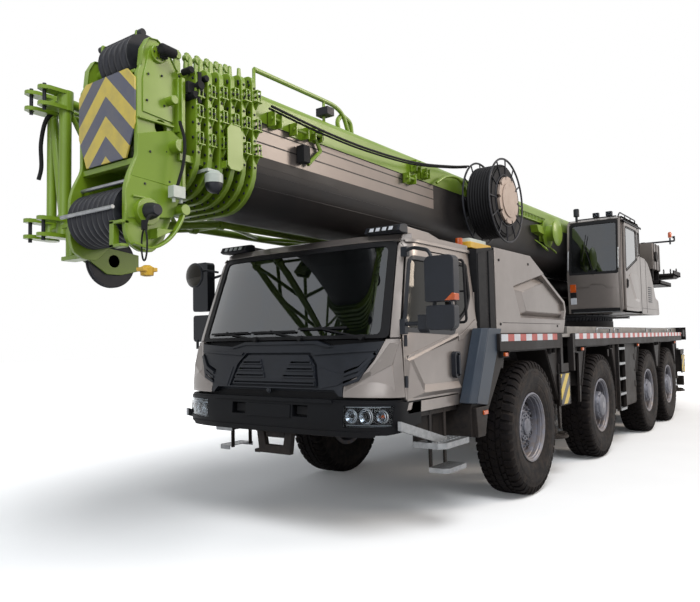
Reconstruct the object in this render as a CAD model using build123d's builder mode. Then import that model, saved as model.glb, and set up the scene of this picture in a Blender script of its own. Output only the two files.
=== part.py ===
from build123d import *
import math
import os

os.makedirs("parts", exist_ok=True)

# A four-axle all-terrain mobile crane with a seven-part telescopic boom, parked with its boom down.
# Millimetres. +X is forward, +Y is the machine's left, +Z is up. The origin is on the ground, under
# the middle of the machine's length and width.

# ---------------------------------------------------------------- driving sizes
overall_width = 2750
front_overhang = 4220            # from the first axle to the tip of the stowed jib's foot
axle_gaps = (2520, 2800, 1650)   # first to second axle, second to third, third to fourth
rear_overhang = 2210             # from the fourth axle to the rear bumper
tyre_diameter = 1370
tyre_width = 385
slew_from_front_axle = 4900      # the slewing centre's distance behind the first axle
boom_height = 3090               # middle of the boom's section above the ground
boom_foot_from_front_axle = 7000
boom_foot_height = 3050
part_line = 0.3                  # gap between pieces that sit together
running_gap = 5                  # gap between pieces that slide or swing past each other

machine_length = front_overhang + sum(axle_gaps) + rear_overhang
front_axle_x = machine_length / 2 - front_overhang
half_width = overall_width / 2
wheel_z = tyre_diameter / 2
wheel_y = half_width - tyre_width / 2
slew_x = front_axle_x - slew_from_front_axle
boom_foot_x = front_axle_x - boom_foot_from_front_axle
rear_end_x = -machine_length / 2
axle_x = [front_axle_x - sum(axle_gaps[:place]) for place in range(4)]
sides = (("left", 1), ("right", -1))


def ahead(distance):
    """X of a place given by its distance ahead of the first axle."""
    return front_axle_x + distance


def on_side(sign, low, high):
    """Lowest and highest Y of a span measured outwards from the middle, on one side."""
    return (low, high) if sign > 0 else (-high, -low)


def export(piece, name):
    """Label a finished piece and write it under its own name."""
    piece.part.label = name
    export_step(piece.part, f"parts/{name}.step")


# ---------------------------------------------------------------- shapes used by every sub-part
def block(x0, x1, y0, y1, z0, z1, mode=Mode.ADD):
    """Rectangular block between two corners."""
    with Locations(((x0 + x1) / 2, (y0 + y1) / 2, (z0 + z1) / 2)):
        Box(x1 - x0, y1 - y0, z1 - z0, mode=mode)


def side_prism(points, y0, y1, mode=Mode.ADD):
    """Outline in X and Z, carried across the machine from y0 to y1."""
    with BuildSketch(Plane.XZ.offset(-y1)) as outline:
        with BuildLine():
            Polyline(*points, close=True)
        make_face()
    extrude(outline.sketch, amount=y1 - y0, mode=mode)


def front_prism(points, x0, x1, mode=Mode.ADD):
    """Outline in Y and Z, carried along the machine from x0 to x1."""
    with BuildSketch(Plane.YZ.offset(x0)) as outline:
        with BuildLine():
            Polyline(*points, close=True)
        make_face()
    extrude(outline.sketch, amount=x1 - x0, mode=mode)


def rod_x(radius, x0, x1, y, z, mode=Mode.ADD):
    """Round bar along the machine."""
    with Locations(Location(((x0 + x1) / 2, y, z), (0, 90, 0))):
        Cylinder(radius, x1 - x0, mode=mode)


def rod_y(radius, y0, y1, x, z, mode=Mode.ADD):
    """Round bar across the machine."""
    with Locations(Location((x, (y0 + y1) / 2, z), (90, 0, 0))):
        Cylinder(radius, y1 - y0, mode=mode)


def rod_z(radius, z0, z1, x, y, mode=Mode.ADD):
    """Upright round bar."""
    with Locations((x, y, (z0 + z1) / 2)):
        Cylinder(radius, z1 - z0, mode=mode)


def strut(start, end, radius):
    """Round bar between two points."""
    run = Vector(*end) - Vector(*start)
    with BuildSketch(Plane(origin=start, z_dir=run)) as ring:
        Circle(radius)
    extrude(ring.sketch, amount=run.length)


def turned(profile, x, y, z, sign, mode=Mode.ADD):
    """Turn a profile about a line across the machine. Its points are (offset outwards, radius)."""
    with BuildSketch(Plane.YZ.offset(x)) as outline:
        with BuildLine():
            Polyline(*[(y + sign * offset, z + radius) for offset, radius in profile], close=True)
        make_face()
    revolve(outline.sketch, axis=Axis((x, 0, z), (0, 1, 0)), mode=mode)


# ---------------------------------------------------------------- tyres and wheels
tyre_radius = tyre_diameter / 2
half_tread = tyre_width / 2
bead_radius = 336
bead_half_width = 150
flange_radius = 352
rim_half_width = 164
rim_inner_radius = 306
spindle_radius = 60
spindle_gap = 0.5
hub_inner_offset = -70

tyre_side = [
    (bead_half_width, bead_radius),
    (bead_half_width, flange_radius + 6),
    (half_tread, 500),
    (half_tread - 10, 610),
    (half_tread - 42, tyre_radius),
]
tyre_profile = tyre_side + [(-offset, radius) for offset, radius in reversed(tyre_side)]

# Each axle's wheel: offset of the disc, outer offset of the hub and its radius at the disc and the cap.
disc_thickness = 18
wheel_kinds = [
    # disc offset, hub outer offset, hub radius, cap radius
    (40, 118, 175, 150),
    (10, half_tread - 2, 225, 175),
    (10, half_tread - 2, 225, 175),
    (10, half_tread - 2, 225, 175),
]

for axle, (x, kind) in enumerate(zip(axle_x, wheel_kinds), start=1):
    disc_offset, hub_outer, hub_radius, cap_radius = kind
    for side, sign in sides:
        with BuildPart() as tyre:
            turned(tyre_profile, x, sign * wheel_y, wheel_z, sign)
        export(tyre, f"tyre_{axle}_{side}")

        with BuildPart() as wheel:
            rim = [
                (-rim_half_width, rim_inner_radius),
                (-rim_half_width, flange_radius),
                (-bead_half_width - part_line, flange_radius),
                (-bead_half_width - part_line, bead_radius - part_line),
                (bead_half_width + part_line, bead_radius - part_line),
                (bead_half_width + part_line, flange_radius),
                (rim_half_width, flange_radius),
                (rim_half_width, rim_inner_radius),
            ]
            turned(rim, x, sign * wheel_y, wheel_z, sign)
            disc = [
                (disc_offset, hub_radius - 5),
                (disc_offset, rim_inner_radius + 5),
                (disc_offset + disc_thickness, rim_inner_radius + 5),
                (disc_offset + disc_thickness, hub_radius - 5),
            ]
            turned(disc, x, sign * wheel_y, wheel_z, sign)
            bore = spindle_radius + spindle_gap
            hub = [
                (hub_inner_offset, bore),
                (hub_inner_offset, 130),
                (disc_offset, hub_radius),
                (disc_offset + 40, hub_radius),
                (hub_outer, cap_radius),
                (hub_outer, 0),
                (disc_offset + 40, 0),
                (disc_offset + 40, bore),
            ]
            turned(hub, x, sign * wheel_y, wheel_z, sign)
        export(wheel, f"wheel_{axle}_{side}")

# ---------------------------------------------------------------- axles, suspension and knuckles
kingpin_y = 940
kingpin_radius = 30
kingpin_gap = 0.3
boss_radius = 75
boss_half_height = 109.5
fork_low = 110
fork_high = 140
fork_half_length = 75
fork_back = 1025
fork_outer = 1060
axle_tube_radius = 70
differential_radius = 200
suspension_y = 480
suspension_radius = 50
suspension_top = 1200
spindle_end = wheel_y + 40
axle_duties = [
    # steered, driven
    (True, False),
    (True, True),
    (False, True),
    (False, True),
]
hub_face = wheel_y + hub_inner_offset
spindle_flange_radius = 125

with BuildPart() as axle_set:
    for x, (steered, driven) in zip(axle_x, axle_duties):
        beam_end = kingpin_y if steered else hub_face - part_line
        rod_y(axle_tube_radius, -beam_end, beam_end, x, wheel_z)
        if driven:
            rod_y(differential_radius, -110, 110, x, wheel_z)
            rod_y(differential_radius - 60, -210, 210, x, wheel_z)
        for side, sign in sides:
            rod_z(suspension_radius, wheel_z, suspension_top, x, sign * suspension_y)
            if steered:
                rod_z(boss_radius, wheel_z - boss_half_height, wheel_z + boss_half_height, x, sign * kingpin_y)
                rod_z(
                    kingpin_radius + kingpin_gap,
                    wheel_z - boss_half_height,
                    wheel_z + boss_half_height,
                    x,
                    sign * kingpin_y,
                    mode=Mode.SUBTRACT,
                )
            else:
                low, high = on_side(sign, beam_end - 60, beam_end)
                rod_y(spindle_flange_radius, low, high, x, wheel_z)
                low, high = on_side(sign, beam_end - 1, spindle_end)
                rod_y(spindle_radius, low, high, x, wheel_z)
export(axle_set, "axle_set")

for axle, (x, (steered, driven)) in enumerate(zip(axle_x, axle_duties), start=1):
    for side, sign in sides if steered else ():
        with BuildPart() as knuckle:
            inner, outer = on_side(sign, kingpin_y - 70, fork_outer)
            for low, high in ((fork_low, fork_high), (-fork_high, -fork_low)):
                block(x - fork_half_length, x + fork_half_length, inner, outer, wheel_z + low, wheel_z + high)
            inner, outer = on_side(sign, fork_back, fork_outer)
            block(x - fork_half_length, x + fork_half_length, inner, outer, wheel_z - fork_high, wheel_z + fork_high)
            inner, outer = on_side(sign, fork_outer, hub_face - part_line)
            rod_y(spindle_flange_radius, inner, outer, x, wheel_z)
            inner, outer = on_side(sign, fork_outer, spindle_end)
            rod_y(spindle_radius, inner, outer, x, wheel_z)
            rod_z(kingpin_radius, wheel_z - fork_high - 15, wheel_z + fork_high + 15, x, sign * kingpin_y)
        export(knuckle, f"knuckle_{axle}_{side}")

# ---------------------------------------------------------------- outrigger sizes shared by frame and beams
beam_width = 200
beam_height = 300
box_wall = 12
pad_thickness = running_gap - part_line
tunnel_width = beam_width + 2 * running_gap
tunnel_height = beam_height + 2 * running_gap
box_length = 2 * tunnel_width + 3 * box_wall
box_height = tunnel_height + 2 * box_wall
box_z = 1147
box_half_width = 1040
beam_offset = (tunnel_width + box_wall) / 2
outriggers = [
    # name, middle of the cross box
    ("front", ahead(-1131)),
    ("rear", rear_end_x + 590),
]
jack_y = 1150
jack_barrel_radius = 95
jack_rod_radius = 65
jack_barrel_bottom = 700
jack_barrel_top = 1580
jack_pad_radius = 220
jack_pad_bottom = 440
jack_pad_height = 50
end_plate_outer = half_width
end_plate_thickness = 30
end_plate_half_length = 190
end_plate_bottom = 820
end_plate_top = 1190

# ---------------------------------------------------------------- carrier frame
frame_half_width = 420
frame_bottom = 900
frame_top = 1600
frame_rear_x = rear_end_x + 280
frame_step_x = ahead(800)
frame_nose_x = ahead(2200)
nose_bottom = 700
cab_floor_bottom = 1020
tub_radius = 950
tub_top = 1740
ring_radius = 900
ring_top = 1850
slew_gap = 0.5

with BuildPart() as chassis_frame:
    block(frame_rear_x, frame_step_x, -frame_half_width, frame_half_width, frame_bottom, frame_top)
    nose = [
        (ahead(450), frame_bottom + 10),
        (ahead(700), nose_bottom),
        (frame_nose_x, nose_bottom + 100),
        (frame_nose_x, cab_floor_bottom),
        (ahead(450), cab_floor_bottom),
    ]
    side_prism(nose, -frame_half_width, frame_half_width)
    rod_z(tub_radius, frame_top - 60, tub_top, slew_x, 0)
    rod_z(ring_radius, tub_top, ring_top, slew_x, 0)
    for name, box_x in outriggers:
        block(
            box_x - box_length / 2,
            box_x + box_length / 2,
            -box_half_width,
            box_half_width,
            box_z - box_height / 2,
            box_z + box_height / 2,
        )
    for x in axle_x:
        for side, sign in sides:
            inner, outer = on_side(sign, frame_half_width, suspension_y + 70)
            block(x - 75, x + 75, inner, outer, suspension_top, suspension_top + 90)
    for name, box_x in outriggers:
        for side, sign in sides:
            beam_x = box_x + sign * beam_offset
            block(
                beam_x - tunnel_width / 2,
                beam_x + tunnel_width / 2,
                -box_half_width,
                box_half_width,
                box_z - tunnel_height / 2,
                box_z + tunnel_height / 2,
                mode=Mode.SUBTRACT,
            )
    for name, box_x in outriggers:
        for side, sign in sides:
            beam_x = box_x + sign * beam_offset
            inner, outer = on_side(sign, box_half_width - 180, box_half_width)
            half = tunnel_width / 2
            floor_z = box_z - tunnel_height / 2
            ceiling_z = box_z + tunnel_height / 2
            block(beam_x - half, beam_x + half, inner, outer, floor_z, floor_z + pad_thickness)
            block(beam_x - half, beam_x + half, inner, outer, ceiling_z - pad_thickness, ceiling_z)
export(chassis_frame, "chassis_frame")

# ---------------------------------------------------------------- outrigger beams and jacks
for name, box_x in outriggers:
    for side, sign in sides:
        beam_x = box_x + sign * beam_offset
        with BuildPart() as beam:
            inner, outer = on_side(sign, -box_half_width + 40, end_plate_outer - end_plate_thickness)
            block(
                beam_x - beam_width / 2,
                beam_x + beam_width / 2,
                inner,
                outer,
                box_z - beam_height / 2,
                box_z + beam_height / 2,
            )
            inner, outer = on_side(sign, end_plate_outer - end_plate_thickness, end_plate_outer)
            block(
                beam_x - end_plate_half_length,
                beam_x + end_plate_half_length,
                inner,
                outer,
                end_plate_bottom,
                end_plate_top,
            )
            rod_z(jack_barrel_radius, jack_barrel_bottom, jack_barrel_top, beam_x, sign * jack_y)
            bore = jack_rod_radius + spindle_gap
            rod_z(bore, jack_barrel_bottom, jack_barrel_top - 30, beam_x, sign * jack_y, mode=Mode.SUBTRACT)
        export(beam, f"outrigger_beam_{name}_{side}")

        with BuildPart() as jack:
            pad_top = jack_pad_bottom + jack_pad_height
            rod_z(jack_pad_radius, jack_pad_bottom, pad_top, beam_x, sign * jack_y)
            rod_z(jack_barrel_radius, pad_top, pad_top + 60, beam_x, sign * jack_y)
            rod_z(jack_rod_radius, pad_top, jack_barrel_top - 80, beam_x, sign * jack_y)
        export(jack, f"outrigger_jack_{name}_{side}")

# ---------------------------------------------------------------- deck, skirts and mudguards
deck_top = 1650
skirt_inner = 1335
skirt_bottom = 1490
deck_front_x = ahead(830)
deck_rear_x = rear_end_x + 330
skirt_gap_half = 255
guard_thickness = 15
guard_lap = 5
guard_inner = 985
wing_inner = 1000
wing_outer = 1300

with BuildPart() as deck:
    block(deck_rear_x, deck_front_x, -half_width, half_width, frame_top, deck_top)
    for side, sign in sides:
        inner, outer = on_side(sign, skirt_inner, half_width)
        block(deck_rear_x, deck_front_x, inner, outer, skirt_bottom, frame_top)
        for name, box_x in outriggers:
            beam_x = box_x + sign * beam_offset
            block(
                max(beam_x - skirt_gap_half, deck_rear_x - 1),
                beam_x + skirt_gap_half,
                inner,
                outer,
                skirt_bottom,
                frame_top,
                mode=Mode.SUBTRACT,
            )
        # Slanted panel between the cab and the first wheel.
        wing = [
            (ahead(640), deck_top),
            (ahead(890), deck_top),
            (ahead(1225), cab_floor_bottom),
            (ahead(1320), cab_floor_bottom),
            (ahead(1320), 740),
            (ahead(1010), 740),
            (ahead(1010), 1000),
        ]
        inner, outer = on_side(sign, wing_inner, wing_outer)
        side_prism(wing, inner, outer)
        # Bent mudguard sheets over each wheel: half length at the top, at the shoulder and at the foot.
        for x, (top_half, foot_half, foot_z) in zip(
            axle_x, ((480, 850, 900), (600, 800, 1000), (560, 740, 1030), (560, 760, 1030))
        ):
            sheet = [
                (x - foot_half, foot_z),
                (x - foot_half - guard_thickness, foot_z),
                (x - top_half - guard_thickness, skirt_bottom),
                (x + top_half + guard_thickness, skirt_bottom),
                (x + foot_half + guard_thickness, foot_z),
                (x + foot_half, foot_z),
                (x + top_half, skirt_bottom - guard_thickness),
                (x - top_half, skirt_bottom - guard_thickness),
            ]
            inner, outer = on_side(sign, guard_inner, skirt_inner + guard_lap)
            if x == axle_x[0]:
                sheet[4:6] = [(x + 620, skirt_bottom - 60), (x + 605, skirt_bottom - 60)]
            side_prism(sheet, inner, outer)
            inner, outer = on_side(sign, guard_inner, guard_inner + guard_thickness)
            block(x - top_half, x + top_half, inner, outer, skirt_bottom - guard_thickness, frame_top)
    cut_radius = tub_radius + part_line
    rod_z(cut_radius, frame_top - 1, deck_top + 1, slew_x, 0, mode=Mode.SUBTRACT)
export(deck, "deck")

# ---------------------------------------------------------------- side boxes, ladders and rear bumper
side_box_front_x = ahead(-3800)
side_box_rear_x = ahead(-4550)
side_box_bottom = 540
side_box_inner = 900
ladder_front_x = ahead(-3375)
ladder_width = 400
ladder_bottom = 520
ladder_rail = 30
rungs = 5
bumper_rear_top = 720
bumper_rear_bottom = 520
bumper_rear_half = 1250

with BuildPart() as side_gear:
    for side, sign in sides:
        inner, outer = on_side(sign, side_box_inner, skirt_inner)
        block(side_box_rear_x, side_box_front_x, inner, outer, side_box_bottom, frame_top)
        inner, outer = on_side(sign, skirt_inner, half_width)
        ladder_rear_x = ladder_front_x - ladder_width
        for x in (ladder_front_x - ladder_rail, ladder_rear_x):
            block(x, x + ladder_rail, inner, outer, ladder_bottom, skirt_bottom)
        pitch = (skirt_bottom - ladder_bottom - 2 * ladder_rail) / rungs
        for rung in range(rungs):
            z = ladder_bottom + ladder_rail + rung * pitch
            block(ladder_rear_x, ladder_front_x, inner, outer, z, z + ladder_rail)
        inner, outer = on_side(sign, 300, 380)
        block(rear_end_x + 60, frame_rear_x, inner, outer, bumper_rear_bottom + 20, frame_bottom + 150)
    block(rear_end_x, rear_end_x + 120, -bumper_rear_half, bumper_rear_half, bumper_rear_bottom, bumper_rear_top)
export(side_gear, "side_gear")

# ---------------------------------------------------------------- rear tow jaw
tow_pin_radius = 25
tow_jaw_half = 60
tow_jaw_z = 960
tow_jaw_reach = 170
tow_jaw_height = 50
tow_pin_x = frame_rear_x - tow_jaw_reach + 70

with BuildPart() as tow_jaw:
    block(
        frame_rear_x - tow_jaw_reach,
        frame_rear_x,
        -tow_jaw_half,
        tow_jaw_half,
        tow_jaw_z,
        tow_jaw_z + tow_jaw_height,
    )
    rod_z(tow_pin_radius, tow_jaw_z, tow_jaw_z + tow_jaw_height, tow_pin_x, 0, mode=Mode.SUBTRACT)
export(tow_jaw, "tow_jaw")

# ---------------------------------------------------------------- engine and its hood
hood_half_width = 1200
hood_wall = 40
hood_outline = [
    (ahead(850), deck_top),
    (ahead(850), 2480),
    (ahead(480), 2520),
    (ahead(-475), 2520),
    (ahead(-1620), 2056),
    (ahead(-1560), deck_top),
]
hood_inside = [
    (ahead(850) - hood_wall, deck_top - 1),
    (ahead(850) - hood_wall, 2480 - hood_wall),
    (ahead(480), 2520 - hood_wall),
    (ahead(-475), 2520 - hood_wall),
    (ahead(-1620) + hood_wall + 5, 2056 - hood_wall),
    (ahead(-1560) + hood_wall + 5, deck_top - 1),
]

with BuildPart() as engine_hood:
    side_prism(hood_outline, -hood_half_width, hood_half_width)
    side_prism(hood_inside, hood_wall - hood_half_width, hood_half_width - hood_wall, mode=Mode.SUBTRACT)
export(engine_hood, "engine_hood")

with BuildPart() as engine_block:
    block(ahead(-950), ahead(450), -420, 420, deck_top, deck_top + 600)
export(engine_block, "engine_block")

# ---------------------------------------------------------------- carrier cab
cab_half_width = 1190
cab_wall = 60
cab_rear_x = ahead(900)
cab_front_x = ahead(2470)
screen_base = (ahead(2365), 1650)
screen_top = (ahead(2095), 2470)
cab_corner = 800                 # where the front starts to sweep back, and how far it does by the sides
cab_sweep = 150
cab_roof_z = 2500
door_thickness = cab_wall
door_gap = running_gap
cab_heel = (ahead(1240), cab_floor_bottom)
cab_haunch = (cab_rear_x, 1660)
cab_outline = [
    cab_heel,
    (cab_front_x, cab_floor_bottom),
    screen_base,
    screen_top,
    (screen_top[0] - 60, cab_roof_z),
    (cab_rear_x, cab_roof_z),
    cab_haunch,
]
cab_inside = [
    (cab_heel[0] + cab_wall - 15, cab_floor_bottom + cab_wall),
    (cab_front_x - cab_sweep - cab_wall, cab_floor_bottom + cab_wall),
    (screen_base[0] - cab_wall - 30, screen_base[1]),
    (screen_top[0] - cab_wall - 15, cab_roof_z - cab_wall),
    (cab_rear_x + cab_wall, cab_roof_z - cab_wall),
    (cab_haunch[0] + cab_wall, cab_haunch[1] + 15),
]
door_front_x = ahead(2250)
door_outline = [
    (door_front_x, 1130),
    (door_front_x, 1670),
    (ahead(2040), 2360),
    (ahead(1330), 2360),
    (ahead(1330), 1130),
]
door_opening = [
    (door_front_x + door_gap, 1130 - door_gap),
    (door_front_x + door_gap, 1670 + 1),
    (ahead(2040) + door_gap, 2360 + door_gap),
    (ahead(1330) - door_gap, 2360 + door_gap),
    (ahead(1330) - door_gap, 1130 - door_gap),
]
window_bottom = 1720
window_top = 2290
door_window = [
    (door_front_x - 75, window_bottom),
    (ahead(1988), window_top),
    (ahead(1410), window_top),
    (ahead(1410), window_bottom),
]
quarter_window = [
    (ahead(1230), 1740),
    (ahead(1230), 2290),
    (ahead(1020), 2290),
    (ahead(1020), 1740),
]
screen_low = 1700
screen_high = 2420
screen_half_width = 1010
pane_thickness = 6
pane_y = cab_half_width - 30
hinge_x = door_front_x + 6
hinge_radius = 14
hinge_y = cab_half_width + hinge_radius + part_line
hinge_heights = ((1240, 1330), (1560, 1650))


def screen_x(z, inward):
    """X on the windscreen's slope at one height, moved back by a distance."""
    slope = (screen_base[0] - screen_top[0]) / (screen_top[1] - screen_base[1])
    return screen_base[0] - slope * (z - screen_base[1]) - inward


def sweep_corners(front_x, low, high):
    """Cut both front corners back in plan, from the straight middle to the sides."""
    for side, sign in sides:
        with BuildSketch(Plane.XY.offset(low)) as corner:
            with BuildLine():
                Polyline(
                    (front_x, sign * cab_corner),
                    (front_x - cab_sweep - 0.5, sign * (cab_half_width + 1)),
                    (front_x + cab_sweep, sign * (cab_half_width + 1)),
                    (front_x + cab_sweep, sign * cab_corner),
                    close=True,
                )
            make_face()
        extrude(corner.sketch, amount=high - low, mode=Mode.SUBTRACT)


with BuildPart() as cab_shell:
    side_prism(cab_outline, -cab_half_width, cab_half_width)
    sweep_corners(cab_front_x, cab_floor_bottom - 1, screen_low - 40)
    side_prism(cab_inside, cab_wall - cab_half_width, cab_half_width - cab_wall, mode=Mode.SUBTRACT)
    block(
        screen_top[0] - 150,
        screen_base[0] + 50,
        -screen_half_width,
        screen_half_width,
        screen_low,
        screen_high,
        mode=Mode.SUBTRACT,
    )
    for outline in (door_opening, quarter_window):
        side_prism(outline, -cab_half_width - 1, cab_half_width + 1, mode=Mode.SUBTRACT)
export(cab_shell, "cab_shell")

with BuildPart() as cab_glass:
    screen = [
        (screen_x(screen_low, 15), screen_low),
        (screen_x(screen_high, 15), screen_high),
        (screen_x(screen_high, 15 + pane_thickness), screen_high),
        (screen_x(screen_low, 15 + pane_thickness), screen_low),
    ]
    side_prism(screen, -screen_half_width, screen_half_width)
    for side, sign in sides:
        inner, outer = on_side(sign, pane_y, pane_y + pane_thickness)
        side_prism(quarter_window, inner, outer)
export(cab_glass, "cab_glass")

# The right mirror is carried by its door on two arms.
door_mirror_inner = 1450
door_mirror_outer = 1690
door_mirror_bottom = 1625
door_mirror_top = 2480
door_mirror_rear_x = ahead(1785)
door_mirror_front_x = ahead(1905)
mirror_arm = 30

for side, sign in sides:
    with BuildPart() as door:
        inner, outer = on_side(sign, cab_half_width - door_thickness, cab_half_width)
        side_prism(door_outline, inner, outer)
        side_prism(door_window, inner, outer, mode=Mode.SUBTRACT)
        for low, high in hinge_heights:
            rod_z(hinge_radius, low, high, hinge_x, sign * hinge_y)
            block(hinge_x - 60, hinge_x, *on_side(sign, cab_half_width, hinge_y), low, high)
        inner, outer = on_side(sign, cab_half_width, cab_half_width + 30)
        block(ahead(1380), ahead(1520), inner, outer, 1500, 1540)
        if side == "right":
            inner, outer = on_side(sign, door_mirror_inner, door_mirror_outer)
            block(door_mirror_rear_x, door_mirror_front_x, inner, outer, door_mirror_bottom, door_mirror_top)
            inner, outer = on_side(sign, cab_half_width - 1, door_mirror_inner + 1)
            for z in (door_mirror_bottom, window_top + 15):
                block(door_mirror_rear_x, door_mirror_rear_x + mirror_arm, inner, outer, z, z + mirror_arm)
    export(door, f"door_{side}")

    with BuildPart() as door_glass:
        inner, outer = on_side(sign, pane_y, pane_y + pane_thickness)
        side_prism(door_window, inner, outer)
    export(door_glass, f"door_glass_{side}")

# ---------------------------------------------------------------- cab inside
cab_floor_top = cab_floor_bottom + cab_wall
seat_y = 560
seat_half_width = 250

dash_front_x = cab_front_x - cab_sweep - cab_wall - 10

with BuildPart() as cab_interior:
    dash = [
        (ahead(1960), 1330),
        (ahead(1940), 1600),
        (dash_front_x, 1610),
        (dash_front_x, 1330),
    ]
    dash_half = cab_half_width - cab_wall - part_line
    side_prism(dash, -dash_half, dash_half)
    with Locations(Location((ahead(1850), seat_y, 1590), (0, -60, 0))):
        Torus(215, 16)
    block(ahead(1836), ahead(1864), seat_y - 215, seat_y + 215, 1576, 1604)
    strut((ahead(1850), seat_y, 1590), (ahead(1975), seat_y, 1510), 28)
    for side, sign in sides:
        seat = [
            (ahead(1340), cab_floor_top),
            (ahead(1180), 1400),
            (ahead(1030), 2060),
            (ahead(1140), 2080),
            (ahead(1270), 1520),
            (ahead(1620), 1500),
            (ahead(1620), 1390),
            (ahead(1520), cab_floor_top),
        ]
        side_prism(seat, sign * seat_y - seat_half_width, sign * seat_y + seat_half_width)
export(cab_interior, "cab_interior")

# ---------------------------------------------------------------- bumper, lamps, mirrors and steps
bumper_bottom = 860
bumper_top = 1130
nose_lean = (screen_base[0] - cab_front_x) / (screen_base[1] - cab_floor_bottom)
bumper_front_x = ahead(2520)
mirror_outer = 1690
mirror_inner = 1450
mirror_bottom = 1680
mirror_top = 2230
mirror_back_x = ahead(2270)
mirror_front_x = ahead(2390)
step_inner = 1160
step_outer = 1330
step_rear_x = ahead(1480)
step_front_x = ahead(1935)
step_top = 770
step_plate = 30
low_step_rear_x = ahead(1540)
low_step_front_x = ahead(1870)
low_step_top = 560

with BuildPart() as cab_fittings:
    bumper = [
        (ahead(2000), cab_floor_bottom),
        (ahead(2000), bumper_bottom + 60),
        (ahead(2330), bumper_bottom),
        (bumper_front_x, bumper_bottom + 20),
        (bumper_front_x, bumper_top),
        (cab_front_x + nose_lean * (bumper_top - cab_floor_bottom), bumper_top),
        (cab_front_x, cab_floor_bottom),
    ]
    side_prism(bumper, -cab_half_width, cab_half_width)
    sweep_corners(bumper_front_x, bumper_bottom - 1, bumper_top + 1)
    block(ahead(1900), frame_nose_x, -frame_half_width - 1, frame_half_width + 1, 600, cab_floor_bottom, mode=Mode.SUBTRACT)
    # Tow bracket that hangs under the bumper's middle.
    for y in (-190, 190):
        block(ahead(2420), ahead(2470), y - 30, y + 30, 700, bumper_bottom + 20)
    block(ahead(2420), ahead(2470), -220, 220, 665, 705)
    for side, sign in sides:
        # Fold-out steps on two hangers under the door.
        inner, outer = on_side(sign, step_inner, step_outer)
        block(step_rear_x, step_front_x, inner, outer, step_top - step_plate, step_top)
        block(low_step_rear_x, low_step_front_x, inner, outer, low_step_top - step_plate, low_step_top)
        inner, outer = on_side(sign, step_inner, step_inner + 20)
        for x in (low_step_rear_x + 20, low_step_front_x - 60):
            block(x, x + 40, inner, outer, low_step_top - step_plate, cab_floor_bottom)
        inner, outer = on_side(sign, 780, 1120)
        block(ahead(1880), ahead(2075), inner, outer, cab_roof_z + 15, cab_roof_z + 60)
        block(ahead(1880), ahead(2010), inner, outer, cab_roof_z, cab_roof_z + 15)
    # Left mirror on its arms, ahead of the door's hinge.
    block(mirror_back_x, mirror_front_x, mirror_inner, mirror_outer, mirror_bottom, mirror_top)
    for z in (mirror_bottom + 40, mirror_top - 250):
        block(mirror_back_x, mirror_back_x + mirror_arm, cab_half_width, mirror_inner, z, z + mirror_arm)
    bracket_x = hinge_x + hinge_radius + running_gap + 1
    block(bracket_x, mirror_back_x + mirror_arm, cab_half_width, cab_half_width + 30, mirror_bottom - 10, mirror_bottom + 80)
export(cab_fittings, "cab_fittings")

# ---------------------------------------------------------------- superstructure
table_bottom = ring_top + slew_gap
table_top = 2250
table_half_width = 520
table_front_x = slew_x + ring_radius
table_rear_x = slew_x - 2950
cheek_inner = 500
cheek_outer = 560
pivot_radius = 70
pivot_gap = 0.3
tail_x = slew_x - 3780
tail_floor_x = tail_x + 960
tail_floor_bottom = 2600
tail_floor_top = 2680
tray_half_width = 1200
cylinder_foot_x = ahead(-5750)
cylinder_z = 2460
cylinder_eye_radius = 110
cylinder_eye_half = 60
foot_lug_inner = cylinder_eye_half + part_line
foot_lug_outer = 120
drum_x = tail_x + 490
drum_z = 2950
drum_radius = 200
drum_half = 330
cover_front_x = ahead(-5250)
cover_rear_x = ahead(-6400)
cover_outer = 1325

with BuildPart() as superstructure:
    rod_z(ring_radius, table_bottom, table_bottom + 100, slew_x, 0)
    block(table_rear_x, table_front_x, -table_half_width, table_half_width, table_bottom + 100, table_top)
    cheek = [
        (boom_foot_x + 1400, table_top - 1),
        (boom_foot_x + 300, 3250),
        (boom_foot_x - 250, 3250),
        (boom_foot_x - 750, 3150),
        (tail_x, 3150),
        (tail_x, tail_floor_bottom),
        (table_rear_x, tail_floor_bottom),
        (table_rear_x, table_top - 1),
    ]
    for side, sign in sides:
        inner, outer = on_side(sign, cheek_inner, cheek_outer)
        side_prism(cheek, inner, outer)
        rod_y(pivot_radius + 60, inner, outer, boom_foot_x, boom_foot_height)
        inner, outer = on_side(sign, foot_lug_inner, foot_lug_outer)
        block(cylinder_foot_x - 100, cylinder_foot_x + 100, inner, outer, table_top, cylinder_z)
        rod_y(100, inner, outer, cylinder_foot_x, cylinder_z)
        inner, outer = on_side(sign, cheek_inner - 1, tray_half_width)
        block(tail_x + 180, boom_foot_x - 450, inner, outer, tail_floor_bottom, tail_floor_top)
    rod_y(
        pivot_radius + pivot_gap,
        -cheek_outer,
        cheek_outer,
        boom_foot_x,
        boom_foot_height,
        mode=Mode.SUBTRACT,
    )
    block(tail_x, tail_floor_x, -cheek_inner, cheek_inner, tail_floor_bottom, tail_floor_top)
    rod_y(40, -cheek_inner, cheek_inner, drum_x, drum_z)
    rod_y(drum_radius, -drum_half, drum_half, drum_x, drum_z)
    for y0, y1 in ((-drum_half - 20, -drum_half), (drum_half, drum_half + 20)):
        rod_y(drum_radius + 60, y0, y1, drum_x, drum_z)
    # Curved cover behind the operator's cab.
    cover = [
        (cover_front_x, 1960),
        (cover_front_x, 2900),
        (ahead(-5450), 2880),
        (ahead(-5900), 2640),
        (ahead(-6300), 2220),
        (cover_rear_x, 1990),
        (cover_rear_x, 1960),
    ]
    side_prism(cover, cheek_outer + 20, cover_outer)
    block(ahead(-6350), cover_front_x, table_half_width - 1, cheek_outer + 21, 1980, table_top - 10)
export(superstructure, "superstructure")

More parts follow.
